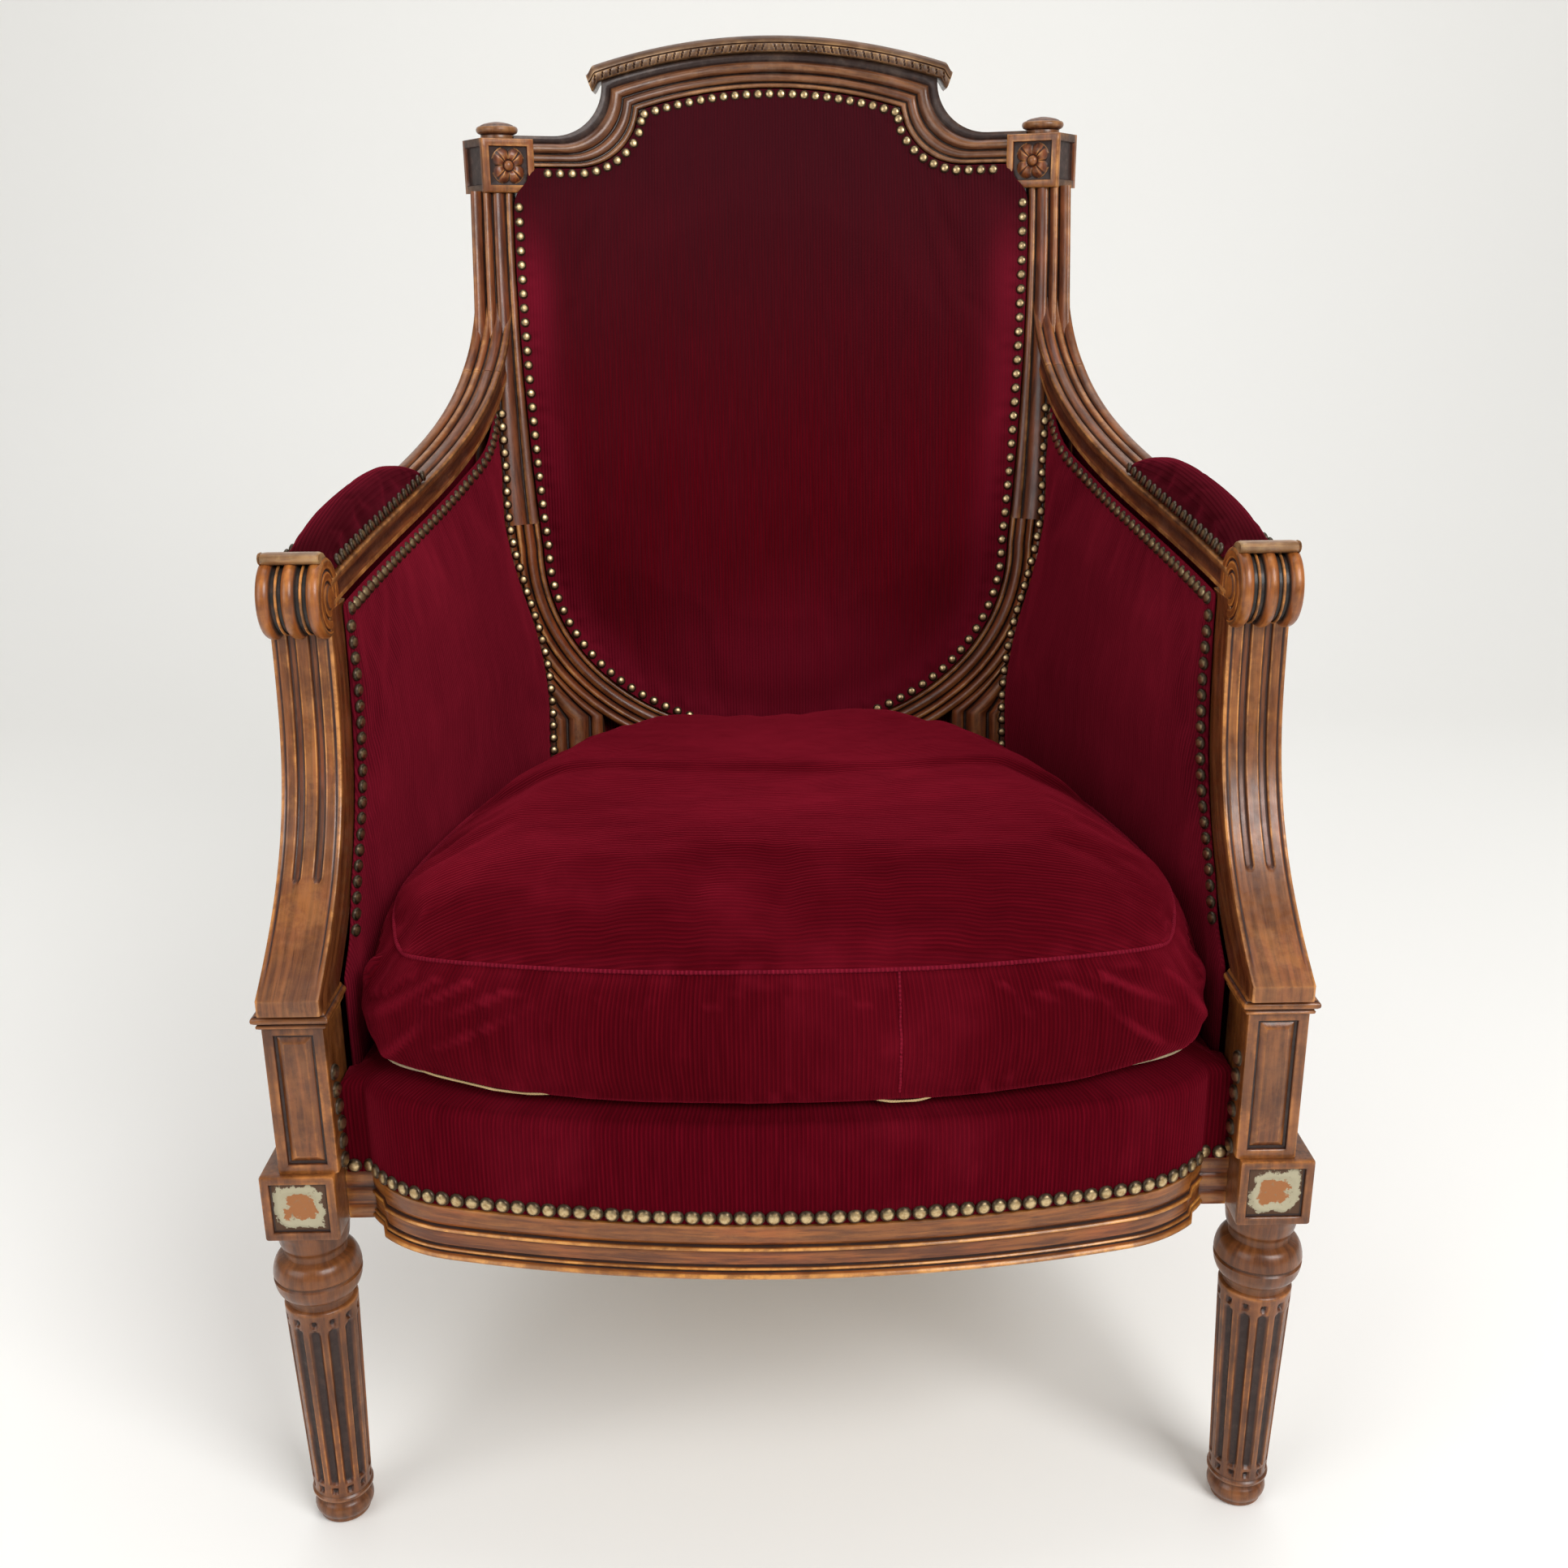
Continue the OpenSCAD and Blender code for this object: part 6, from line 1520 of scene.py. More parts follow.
def makeBackCover():
    f = backCoverForm
    flat = panelGrid(-f["past"], f["nx"], f["nz"])
    away = nearestRun(flat.reshape(-1, 2), np.array(fullPanel(-f["past"])))[0]
    inner = np.array([[(x, backY(x, z) + f["from"], z) for x, z in row] for row in flat])
    outer = inner.copy()
    for at, near in zip(outer.reshape(-1, 3), away):
        at[1] += f["thick"] - (f["rim"] if near < 1 else 0) - 0.5 * wobble(at[0] / 60, at[2] / 80)
    shape = padShape(outer, [], inner)
    piece = addPiece("backCloth", shape, velvetOuter, replaced=["back_outer_cover"])
    cutSheet(piece)
    setCloth(piece.data, [shape["v"][:, [0, 2]]] * 3, shape["region"])


makeBackCover()


liningForm = {"low": 262, "top": 470, "from": 27, "thick": 1.5}


def makeLining():  # cloth that closes the back below the outer cover
    f = liningForm
    grid = []
    for z in steps(f["low"], f["top"], 24):
        half = min(172 + 30 * smooth((z - 300) / 90), stileNailX(z) + 2)
        grid.append([(x, backY(x, z) + f["from"], z) for x in steps(-half, half, 30)])
    grid = np.array(grid)
    shape = padShape(grid, [], grid + [0, f["thick"], 0])
    piece = addPiece("backLining", shape, velvetOuter)
    cutSheet(piece)
    setCloth(piece.data, [shape["v"][:, [0, 2]]] * 3, shape["region"])


makeLining()
print("back upholstered")

# side panels between the arm, its support, the back post and the seat

sideForm = {"x0": 272.2, "low": 267.3, "edge": 4, "swell": 8.5, "lap": 9, "ns": 64, "nz": 76}


def padFrontY(z):
    return supportRear(max(z, 377)) + 0.3 - 14.3 * smooth((z - 387) / 40)


def padEndY(z):
    return backY(stileNailX(z), z) - 0.3


def padX(s, y, z):
    low = lerp(sideForm["x0"], 202, s) + 40 * s * (1 - s)
    high = lerp(min(sideForm["x0"], armX(y) - armWidth(armShareAt(y)) / 2 - 0.3), 237, smooth((y - legY - 397) / 110))
    return lerp(low, high, smooth((z - 420) / 180))


def sideTopZ(s):
    y = lerp(padFrontY(590), padEndY(640), s)
    t = armShareAt(y)
    d = bezier(t + 0.01) - bezier(t - 0.01)
    return bezier(t)[1] - armThick(t) / d.normalized()[0] - 2


def sideSwell(s, z, top):
    return sideForm["swell"] * math.sqrt(max(0, 4 * s * (1 - s))) * smooth((z - 430) / 60) * smooth((top - z) / 60)


def makeSidePad():
    f = sideForm
    m, n = f["ns"] + 1, f["nz"] + 1
    face = np.zeros((m, n, 3))
    under = np.zeros((m, n, 3))
    flat = np.zeros((m, n, 2))
    for i in range(m):
        s = i / (m - 1)
        top = sideTopZ(s)
        for j in range(n):
            z = lerp(f["low"], top, j / (n - 1))
            y = lerp(padFrontY(z), padEndY(z), s)
            x = padX(s, y, z)
            swell = sideSwell(s, z, top)
            bed = 1.6 * math.exp(-(min(top - z, (1 - s) * 420, s * 420) / 7) ** 2)  # drawn in under the nails
            face[i, j] = (x - f["edge"] - swell + bed, y, z)
            under[i, j] = (x, y, z)
            flat[i, j] = (y + (x - 250) * 0.3, z)
    shape = padShape(face, [], under)
    return shape, np.concatenate([flat.reshape(-1, 2)] * 2), (m, n)


def addSidePads():
    shape, flat, (m, n) = makeSidePad()
    for label, turned in bothHands(shape):
        piece = addPiece("sidePad" + label, turned, velvetSide, replaced=["side_pad_" + label.lower()])
        setCloth(piece.data, [flat] * 3, shape["region"])
        edge = [i * n + j for i in range(m) for j in range(n) if i < 2 or j < 2 or i > m - 3 or j > n - 3]
        inflate(piece, edge + list(range(m * n, 2 * m * n)), pressure=1.6, grow=0.006, cap=0.004)
        refine(piece)
        co = coordsOf(piece.data)
        sign = 1 if label == "Right" else -1
        inner = normalsOf(piece.data)[:, 0] * sign < -0.3
        push = np.array([1.3 * wobble(p[1] * 11, p[2] * 7, sign * 2.3) + 0.5 * wobble(p[1] * 30, p[2] * 12, 5.5)
                         for p in co])
        co[:, 0] += np.where(inner, sign * push * mm * 0.8, 0)
        putCoords(piece.data, co)


addSidePads()


outerForm = {"front": 27, "rear": 16, "thick": 3, "lap": 19, "ns": 48, "nz": 52}


def outerPlace(s, z):  # on the inner face of the outer cloth
    f = outerForm
    y = lerp(supportRear(max(z, 377)) + 1.2, backY(stileNailX(z) + f["lap"], z) - 0.3, s)
    return padX(s, y, z) + lerp(f["front"], f["rear"], s), y, z


def makeOuterCover():
    f = outerForm
    inner = np.array([[outerPlace(s, lerp(sideForm["low"], top, t)) for t in steps(0, 1, f["nz"])]
                      for s, top in ((s, sideTopZ(s)) for s in steps(0, 1, f["ns"]))])
    return padShape(inner + [f["thick"], 0, 0], [], inner)


def addOuterCovers():
    shape = makeOuterCover()
    flat = shape["v"][:, [1, 2]]
    for label, turned in bothHands(shape):
        piece = addPiece("sideCloth" + label, turned, velvetOuter,
                         replaced=["side_outer_cover_" + label.lower()])
        cutSheet(piece)
        setCloth(piece.data, [flat] * 3, shape["region"])


addOuterCovers()
print("sides upholstered")

# padded tops of the arms

armPadForm = {"from": 104, "to": 320, "margin": 1.5, "height": 21, "edge": 1.2, "bulge": 0.09, "n": 64, "across": 26}


def makeArmPad():
    f = armPadForm
    t0, t1 = armShareAt(legY + f["from"]), armShareAt(legY + f["to"])
    m, n = f["n"] + 1, f["across"] + 1
    face = np.zeros((m, n, 3))
    under = np.zeros((m, n, 3))
    flat = np.zeros((m, n, 2))
    for i in range(m):
        a = (1 - math.cos(pi * i / (m - 1))) / 2
        t = lerp(t0, t1, a)
        w = armWidth(t) - f["margin"] * 2
        for j in range(n):
            b = (1 - math.cos(pi * j / (n - 1))) / 2
            up = f["height"] * max(0, math.sin(pi * a)) ** 0.42 * (1 - abs(2 * b - 1) ** 3) ** 0.5
            dx = w * (b - 0.5) * (1 + f["bulge"] * up / f["height"])
            p = Vector(armPoint(t, dx, -0.3 - f["edge"] - up))
            ahead = 7 * (up / f["height"]) * (1 - a) ** 6
            face[i, j] = (p[0], p[1] - ahead, p[2])
            under[i, j] = armPoint(t, w * (b - 0.5), -0.3)
            flat[i, j] = (dx + 40, a * 225)
    shape = padShape(face, [], under)
    return shape, np.concatenate([flat.reshape(-1, 2)] * 2), (m, n)


def addArmPads():
    shape, flat, (m, n) = makeArmPad()
    for label, turned in bothHands(shape):
        piece = addPiece("armPad" + label, turned, velvetArm, replaced=["arm_pad_" + label.lower()])
        setCloth(piece.data, [flat] * 3, shape["region"])
        edge = [i * n + j for i in range(m) for j in range(n) if i in (0, m - 1) or j in (0, n - 1)]
        inflate(piece, edge + list(range(m * n, 2 * m * n)), pressure=3.0, grow=0.01, cap=0.004)
        refine(piece)


addArmPads()
print("arms padded")

# fixed seat: its border hangs over the front rail

seatForm = {"front": 257.6, "side": 267.3, "edge": 322, "crown": 10, "round": 7, "bulge": 3.2}


def seatHalf(e):
    f, p, gap = seatForm, postForm, 0.3  # between the cloth and the wood beside it
    y0, y1 = p["dadoY"] + p["dadoDepth"] - 1.2 - e, p["dadoY"] + p["dadoDepth"] - 0.6
    sideX = p["dadoX"] - p["dadoHalf"] - gap
    frontY = legY - railForm["recess"] + gap + e
    pts = [(x, y, 1) for x, y in railOutline(-0.15 - e, endX=sideX - e, n=(44, 16, 10))]
    pts += [(sideX - e, frontY, 0), (sideX - e, lerp(frontY, y0, 0.5), 0), (sideX - e, y0, 0)]
    startY, endY = padFrontY(f["side"]), padEndY(f["side"])

    def edgeX(y):
        s = min(1, max(0, (y - startY) / (endY - startY)))
        return padX(s, y, f["side"]) - sideForm["edge"] - gap

    def rearY(x):
        return backY(x, f["side"]) - 1 + 16 * smooth((150 - abs(x)) / 40)

    xr = edgeX(endY)
    y2 = rearY(xr) - gap
    for s in [0.0] + steps(0.04, 0.97, 30):
        y = lerp(y1, y2, s)
        pts.append((edgeX(y) - e, y - e * (s if s > 0.5 else 0), 0))
    for s in steps(0.97, 0, 24):
        x = xr * s
        pts.append((x * (1 - e / xr), rearY(x) - e, 0))
    return pts


def seatRing(e, zFront, zSide, shrink=0, out=0):
    half = seatHalf(e)
    full = half + [(-x, y, k) for x, y, k in half[-2:0:-1]]
    ring = []
    for x, y, k in full:
        lift, z = (out, zFront) if k else (0, zSide)
        ring.append((x * (1 - shrink), lerp(y, legY + 240, shrink) - lift * smooth(1.2 - abs(x) / 270), z))
    return ring


def twoSkins(over, under):  # joined round the first ring of each
    top, low = ringShape(over, capStart=False), ringShape(under, capStart=False)
    shape, n, base = joinShapes([top, low]), len(over[0]), len(top["v"])
    shape["f"] += [(i, (i + 1) % n, base + (i + 1) % n, base + i) for i in range(n)]
    return shape


def makeSeat():
    f = seatForm
    rings = []
    for t in steps(0, 1, 12):
        zF = lerp(f["front"], f["edge"] - f["round"], t)
        zS = lerp(f["side"], f["edge"] - f["round"], t)
        bed = 0.9 * hump(zF, 262.3, 3.2)
        rings.append(seatRing(0, zF, zS, out=f["bulge"] * math.sin(pi * min(1, max(0, (t - 0.1) / 0.95))) ** 0.8 - bed))
    for a in steps(0.2, pi / 2, 6):
        z = f["edge"] - f["round"] + f["round"] * math.sin(a)
        rings.append(seatRing(f["round"] * (1 - math.cos(a)), z, z))
    for s in (0.02, 0.05, 0.08, 0.12, 0.17, 0.3, 0.5, 0.7, 0.9, 0.99):
        z = f["edge"] + f["crown"] * (1 - (1 - min(1, s / 0.17)) ** 2)
        rings.append(seatRing(f["round"], z, z, shrink=s))
    under = [seatRing(3, f["front"], f["side"])]
    for e, rise, s in ((3.4, -9, 0), (9, -3, 0), (9, 5, 0.15), (9, 7, 0.5), (9, 7, 0.99)):
        under.append(seatRing(e, f["edge"] + rise, f["edge"] + rise, shrink=s))
    n = len(rings[0])
    return twoSkins(rings, under), n, len(rings)


def addSeat():
    shape, n, m = makeSeat()
    piece = addPiece("seatCover", shape, velvetSeat, replaced=["seat_cover"], angle=60)
    ring = shape["v"][:n]
    run = runOf(ring[:, :2])
    # counted both ways from the middle of the front
    run = run - (ring[:, 0] < -0.01) * (run[-1] + np.linalg.norm(ring[0, :2] - ring[-1, :2]))
    rise = [max(0, k // n - 18) * 9 if k < m * n else 0 for k in range(len(shape["v"]))]
    flat = np.array([(run[k % n], v[2] + rise[k]) for k, v in enumerate(shape["v"])])
    layer = [0] * len(piece.data.polygons)
    setCloth(piece.data, [flat], layer)
    co = coordsOf(piece.data)
    for k, p in enumerate(co):
        if 0.262 < p[2] < 0.33 and p[1] < -0.2:
            co[k, 1] -= mm * (0.7 * wobble(p[0] * 14, p[2] * 25, 1.7) + 0.35 * wobble(p[0] * 60, p[2] * 20, 4.1))
    putCoords(piece.data, co)


addSeat()


def canvasRings(lift):
    z = seatForm["side"] + lift
    rows = ((0, 0), (0.06, 0.15), (0.14, 0.35), (0.23, 0.6), (0.32, 0.8), (0.43, 0.91), (0.55, 0.97), (0.75, 1), (0.99, 1))
    return [seatRing(8, z + 17 * h, z + 17 * h, shrink=s) for s, h in rows]


def addUnderSeat():
    shape = twoSkins(canvasRings(1.2), canvasRings(0))
    piece = addPiece("springCanvas", shape, linenCloth, replaced=["spring_canvas"])
    cutSheet(piece)
    setCloth(piece.data, [shape["v"][:, :2]], [0] * len(piece.data.polygons))
    # the stuffing between canvas and cover
    e = 3.6
    rows = ((5, 270, 0), (3, 290, 0), (0.3, 308, 0), (4, 317, 0), (9, 320, 0.03), (9, 327, 0.17), (9, 328, 0.5),
            (9, 328, 0.99))
    high = [seatRing(e + k, z, z, shrink=s) for k, z, s in rows]
    piece = addPiece("seatStuffing", twoSkins(high, canvasRings(1.8)), stuffingCloth,
                     replaced=["seat_stuffing"])


addUnderSeat()
print("fixed seat ready")

# loose cushion: sewn of a top, a border and a lower face, stuffed by simulation

cushionForm = {"half": 262, "depth": 515, "front": -350.83, "mid": -119.08, "base": 332.3, "low": 334.1, "seam": 408.1,
               "crown": 30, "sag": 20, "grid": (76, 66), "border": 12, "seamIn": 10, "lowIn": 9, "cornerIn": 15,
               "tilt": 15, "swell": 11, "sink": 4.5}
cushionShares = [[0, 0, 0], [0.2, 0.002, 0], [0.4, 0.01, 0], [0.6, 0.027, 0.05], [0.76, 0.046, 0.2], [0.87, 0.066, 0.5],
                 [0.94, 0.088, 0.85], [0.98, 0.118, 1], [0.996, 0.155, 0.85], [1, 0.205, 0.5], [0.995, 0.26, 0.2],
                 [0.98, 0.33, 0.05], [0.945, 0.45, 0], [0.88, 0.62, 0], [0.8, 0.78, 0.05], [0.755, 0.88, 0.3],
                 [0.725, 0.945, 0.8], [0.68, 0.985, 1], [0.6, 1, 0.6], [0.42, 1.015, 0.1], [0.2, 1.025, 0], [0, 1.03, 0]]


def cushionLine():
    f = cushionForm
    half = curveThrough(cushionShares, 14)
    pts = half * [f["half"], f["depth"], 1] + [0, f["front"], 0]
    pts[0, 0] = pts[-1, 0] = 0
    return pts


def cushionIn(p, e):  # drawn in towards the middle of the plan
    q = np.array(p, float)
    v = q[:, :2] - [0, cushionForm["mid"]]
    q[:, :2] = v * (1 - e / np.linalg.norm(v, axis=1))[:, None] + [0, cushionForm["mid"]]
    return q


def cushionSheet(e, corner=0):
    line = cushionLine()
    half = cushionIn(line, e + corner * line[:, 2] * (line[:, 1] < 0))
    front = int(np.argmin(np.hypot(half[:, 0] - 252, half[:, 1] + 300)))
    rear = int(np.argmin(np.hypot(half[:, 0] - 178, half[:, 1] - 154)))
    nx, ny = cushionForm["grid"]
    mirror = half * [-1, 1, 1]
    near = evenly(np.r_[mirror[:front + 1][::-1], half[1:front + 1]], nx)
    side = evenly(half[front:rear + 1], ny)
    back = evenly(np.r_[mirror[rear:], half[rear:-1][::-1]], nx)
    return coons(near, side, back, side * [-1, 1, 1])


def borderIn(t):  # 0 at the lower seam, 1 at the upper one
    f = cushionForm
    ends = lerp(f["lowIn"], f["seamIn"], t)
    return ends * (1 - max(0, math.sin(pi * t)) ** 0.5)


def makeCushion():
    f = cushionForm
    top = cushionSheet(f["seamIn"], f["cornerIn"])
    low = cushionSheet(f["lowIn"])
    ny, nx = top.shape[:2]
    a = np.linspace(-1, 1, nx)[None, :]
    b = np.linspace(-1, 1, ny)[:, None]
    rear = np.clip((b + 0.2) / 1.2, 0, 1)
    fill = (1 - np.abs(a) ** (5 - 2.4 * rear)) * (1 - np.abs(b) ** 4.5)
    crown = f["crown"] * (1 - (1 - np.clip(fill, 0, 1)) ** 1.7)
    dip = 5.0 * np.exp(-(((a - 0.05) / 0.55) ** 2 + ((b - 0.25) / 0.5) ** 2))
    face = top.copy()
    sag = np.where(b < 0, 0.45, 1.0) * f["sag"]
    tilt = f["tilt"] * np.clip((b + 0.1) / 1.1, 0, 1) ** 1.5
    face[:, :, 2] = f["seam"] - sag * top[:, :, 2] * (1 - 0.6 * fill) + crown - dip * fill - tilt
    under = low.copy()
    under[:, :, 2] = f["low"]
    rim = gridRim(ny, nx)
    seamHigh = np.array([face[i, j, 2] for i, j in rim])
    edge = np.array([top[i, j] for i, j in rim])
    corner = f["cornerIn"] * edge[:, 2] * (edge[:, 1] < 0)
    edge = cushionIn(edge, -f["seamIn"] - corner)
    rims = []
    for k in range(1, f["border"]):
        t = 1 - k / f["border"]
        ring = cushionIn(edge, borderIn(t) + corner * t * t)
        ring[:, 2] = f["low"] + (seamHigh - f["low"]) * t
        rims.append(ring)
    # the lower front swells forward and sinks over the rounded edge of the seat
    for t, row in [(1 - (k + 1) / f["border"], r) for k, r in enumerate(rims)] + [(0, under.reshape(-1, 3))]:
        ahead = np.clip((-row[:, 1] - 280) / 60, 0, 1) * np.clip((262 - np.abs(row[:, 0])) / 90, 0, 1)
        row[:, 1] -= f["swell"] * ahead * (1 - t) ** 0.8
        row[:, 2] -= f["sink"] * ahead ** 2 * (1 - t) ** 2
    shape = padShape(face, rims, under)
    n = len(shape["v"])
    v = shape["v"]
    flatTop = v[:, [1, 0]]
    run = runOf(edge[:, :2])
    arc = np.zeros(n)
    deep = v[:, 2].copy()
    for ring in shape["rings"]:
        arc[ring] = run
    return shape, [flatTop, np.stack([arc, deep], 1), flatTop]


def seamTube(points, thick, sides=8, closed=True):
    p = np.asarray(points, float)
    n = len(p)
    rings = []
    for k in range(n):
        along = p[(k + 1) % n] - p[k - 1] if closed else p[min(k + 1, n - 1)] - p[max(k - 1, 0)]
        t = Vector(along).normalized()
        out = Vector((t[1], -t[0], 0)).normalized()
        up = t.cross(out)
        r = thick * (1 + 0.22 * wobble(k * 0.31, 2.2))
        rings.append([Vector(p[k]) + r * (math.cos(c) * out + math.sin(c) * up)
                      for c in (2 * pi * q / sides for q in range(sides))])
    run = runOf(p)
    if closed:
        rings.append(rings[0])
        run = np.r_[run, run[-1] + 5]
    shape = ringShape(rings[:-1] if closed else rings, capStart=not closed, capEnd=not closed)
    m = len(rings) - 1 if closed else len(rings)
    if closed:
        shape["f"] += [((m - 1) * sides + q, (m - 1) * sides + (q + 1) % sides, (q + 1) % sides, q) for q in range(sides)]
    flat = np.array([(run[k // sides], (k % sides) * thick) for k in range(m * sides)])
    return shape, flat


# folds of the border: distance from the middle, height, lean, length, depth, side
foldList = [(238, 392, 1, 22, 5.22, 0), (215, 388, 1.4, 20, 4.35, -1), (190, 394, 1.8, 17, 3.48, 0),
            (246, 366, 0.7, 20, 3.77, 1), (228, 354, 0.9, 17, 2.9, -1), (160, 396, 2, 13, 2.46, 0),
            (250, 382, 0.4, 20, 3.19, -1), (208, 362, 1.2, 16, 2.32, 1), (176, 372, 1.7, 13, 2.17, -1),
            (132, 398, 2.3, 10, 1.74, 1)]


def foldAt(x, z):
    lift = 0.0
    for x0, z0, lean, length, deep, side in foldList:
        if side * x < 0:
            continue
        u = (abs(x) - x0 - (3 if x < 0 else 0) + (z - z0) * lean) / math.hypot(1, lean)
        v = (z - z0) / length
        if abs(u) < 24 and abs(v) < 3:
            lift += deep * math.exp(-v * v) * (hump(u, 0, 3.6) - 0.55 * hump(u, 7, 4.6))
    return lift


def addCushion():
    f = cushionForm
    shape, sets = makeCushion()
    piece = addPiece("cushionCover", shape, velvetCushion, body="cushion", replaced=["cushion_cover"],
                     angle=180)
    setCloth(piece.data, sets, shape["region"])
    seam = shape["v"][shape["rings"][0]]
    held = shape["rings"][0] + list(range(shape["low"], len(shape["v"])))
    inflate(piece, held, pressure=4.0, grow=0.02, cap=0.011)
    refine(piece)
    co = coordsOf(piece.data)
    no = normalsOf(piece.data)
    line = np.r_[seam, seam[:1]]
    fine = curveThrough(line, 3)
    d, run = nearestRun(co / mm, fine)
    move = np.zeros(len(co))
    for k, (x, y, z) in enumerate(co / mm):
        if no[k, 2] < -0.7 and z < f["low"] + 3:
            continue
        pitch = run[k] / 15.5 + 0.9 * wobble(run[k] / 60, 1.3)
        wide = 1.3 * abs(0.5 + 0.5 * wobble(run[k] / 45, 9.1)) * abs(wobble(run[k] / 80, 5.2))
        pucker = wide * math.cos(2 * pi * pitch) * hump(d[k], 5, 7) if d[k] > 0.6 else 0
        if no[k, 2] > 0.55:  # the top face
            broad = 2.6 * wobble(x / 95, y / 70, 3.7) + 1.1 * wobble(x / 34, y / 30, 8.2)
            broad += 0.45 * wobble(x / 12, y / 13, 5.1) + 2.4 * hump(d[k], 26, 9) * wobble(run[k] / 42, 6.6)
            broad += 1.6 * hump(d[k], 52, 12) * wobble(run[k] / 60, 2.6)
            broad *= min(1, d[k] / 30)
        else:
            lowRun = run[k] / 21 + wobble(run[k] / 70, 4.4)
            broad = 1.44 * math.cos(2 * pi * lowRun) * hump(z - f["low"], 6, 9) * abs(wobble(run[k] / 50, 3.3))
            broad += 1.5 * wobble(run[k] / 60, z / 50, 6.3) + 0.5 * wobble(run[k] / 16, z / 26, 2.7)
            broad *= min(1, d[k] / 12)
            if y < -240:
                broad += foldAt(x, z) * min(1, d[k] / 7)
        move[k] = pucker + broad
    co += no * (move * mm)[:, None]
    floor = (co[:, 2] < (f["low"] + 0.05) * mm) & (co[:, 1] > -0.3)
    co[floor, 2] = f["low"] * mm
    putCoords(piece.data, co)
    # painted highlight on the ridges of folds, plus a patchy lighter line just beside the seam, both stored in
    # sheenAndRub
    sharp = bendOf(piece.data, 1)
    rub = [0.16 * hump(k, 4, 5) * max(0, 0.4 + 2 * wobble(r / 18, 3.1)) for k, r in zip(d, run)]
    setFloats(piece.data, "sheenAndRub", [min(0.5, max(0, s - 0.05) * 2.6) + r for s, r in zip(sharp, rub)])
    # the closing seam of the border, a little right of the middle
    front = co[(co[:, 1] < -0.3) & (np.abs(co[:, 0] - 0.064) < 0.006)] / mm
    front = front[front[:, 2].argsort()]
    thread = [(64 + 0.4 * wobble(z / 9), np.interp(z, front[:, 2], front[:, 1]) - 0.1, z)
              for z in steps(f["low"] + 2, f["seam"] - 1, 40)]
    sewn, flat = seamTube(thread, 0.75, sides=6, closed=False)
    addPiece("cushionSeam", sewn, velvetSeam, body="cushion", angle=180, uv=flat)
    welt, flat = seamTube(curveThrough(line, 4)[:-1] + [0, 0, 0.3], 1.35)
    addPiece("cushionWelt", welt, velvetSeam, body="cushion", angle=180, uv=flat)
    # tape along the lower seam
    rim = shape["v"][shape["rings"][-1]]
    lower = curveThrough(np.r_[rim, rim[:1]], 3)[:-1]
    shown = np.array([(p[1] < 0) * max(smooth((p[0] + 268) / 60) * smooth((-96 - p[0]) / 60),
                                       smooth((p[0] - 22) / 40) * smooth((116 - p[0]) / 45)) for p in lower])
    lower = cushionIn(lower, 13 - 14 * shown) + np.outer(1 - shown, [0, 0, 2.5])
    tape, flat = seamTube(lower + [0, 0, 1.2], 0.7, sides=6)
    addPiece("cushionTape", tape, tapeCloth, body="cushion", angle=180, uv=flat)


def addBaseCloth():
    f = cushionForm
    sheet = cushionSheet(f["lowIn"])
    over, under = sheet.copy(), sheet.copy()
    over[:, :, 2], under[:, :, 2] = f["base"] + 1.5, f["base"]
    shape = padShape(over, [], under)
    piece = addPiece("cushionBase", shape, linenCloth, body="cushion", replaced=["cushion_base_cloth"],
                     angle=60)
    cutSheet(piece)
    setCloth(piece.data, [shape["v"][:, :2]] * 3, shape["region"])


addBaseCloth()
addCushion()
print("cushion stuffed")

# straps under the seat, woven over and under each other

strapForm = {"wide": 50, "thick": 2, "long": (-108, -36, 36, 108), "cross": (0.1, 0.26, 0.42, 0.58, 0.74), "top": 221.85,
             "y0": -274.68, "y1": 158.35}


def strapShape(points, across, thick, wide):
    rings, flat = [], []
    run, last = 0, None
    for p in points:
        p = Vector(p)
        run += (p - last).length if last else 0
        last = p
        side = Vector(across) * wide / 2
        rings.append([p - side + Vector((0, 0, thick)), p + side + Vector((0, 0, thick)), p + side, p - side])
        flat += [(run, 0), (run, wide), (run, wide), (run, 0)]
    return ringShape(rings), np.array(flat, float)


def addStraps():
    f = strapForm
    ys = [lerp(f["y0"], f["y1"], s) for s in f["cross"]]
    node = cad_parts["webbing"]
    spots = [node.matrix_world @ v.co / mm for v in node.data.vertices]
    shapes, flats = [], []
    for i, x in enumerate(f["long"]):
        y0 = -352 + 20 * (abs(x) / 108) ** 2
        y1 = 222 - 14 * (abs(x) / 108) ** 2
        pts = []
        for y in steps(y0, y1, 96):
            near = min(range(5), key=lambda k: abs(y - ys[k]))
            lift = 1 if (i + near) % 2 else -1
            w = smooth(1 - (abs(y - ys[near]) - 12) / 26)
            pts.append((x, y, f["top"] - f["thick"] + (lift * 1.1 - 1.1) * w))
        s, flat = strapShape(pts, (1, 0, 0), f["thick"], f["wide"])
        shapes.append(s)
        flats.append(flat)
    for k, y in enumerate(ys):
        pts = []
        half = max(abs(p.x) for p in spots if abs(p.y - y) < f["wide"] * 0.52) - 1
        for x in steps(-half, half, 96):
            near = min(range(4), key=lambda q: abs(x - f["long"][q]))
            lift = -1 if (near + k) % 2 else 1
            w = smooth(1 - (abs(x - f["long"][near]) - 12) / 26)
            pts.append((x, y, f["top"] - f["thick"] + (lift * 1.1 - 1.1) * w))
        s, flat = strapShape(pts, (0, -1, 0), f["thick"], f["wide"])
        shapes.append(s)
        flats.append(flat)
    shape = joinShapes(shapes)
    piece = addPiece("seatWebbing", shape, strapCloth, replaced=["webbing"], uv=np.concatenate(flats))
    cutSheet(piece, wide=f["wide"] * mm)


addStraps()
paintNode("seat_springs", springWire)
print("straps woven")

# round-headed nails, placed along lines and made by one node tree

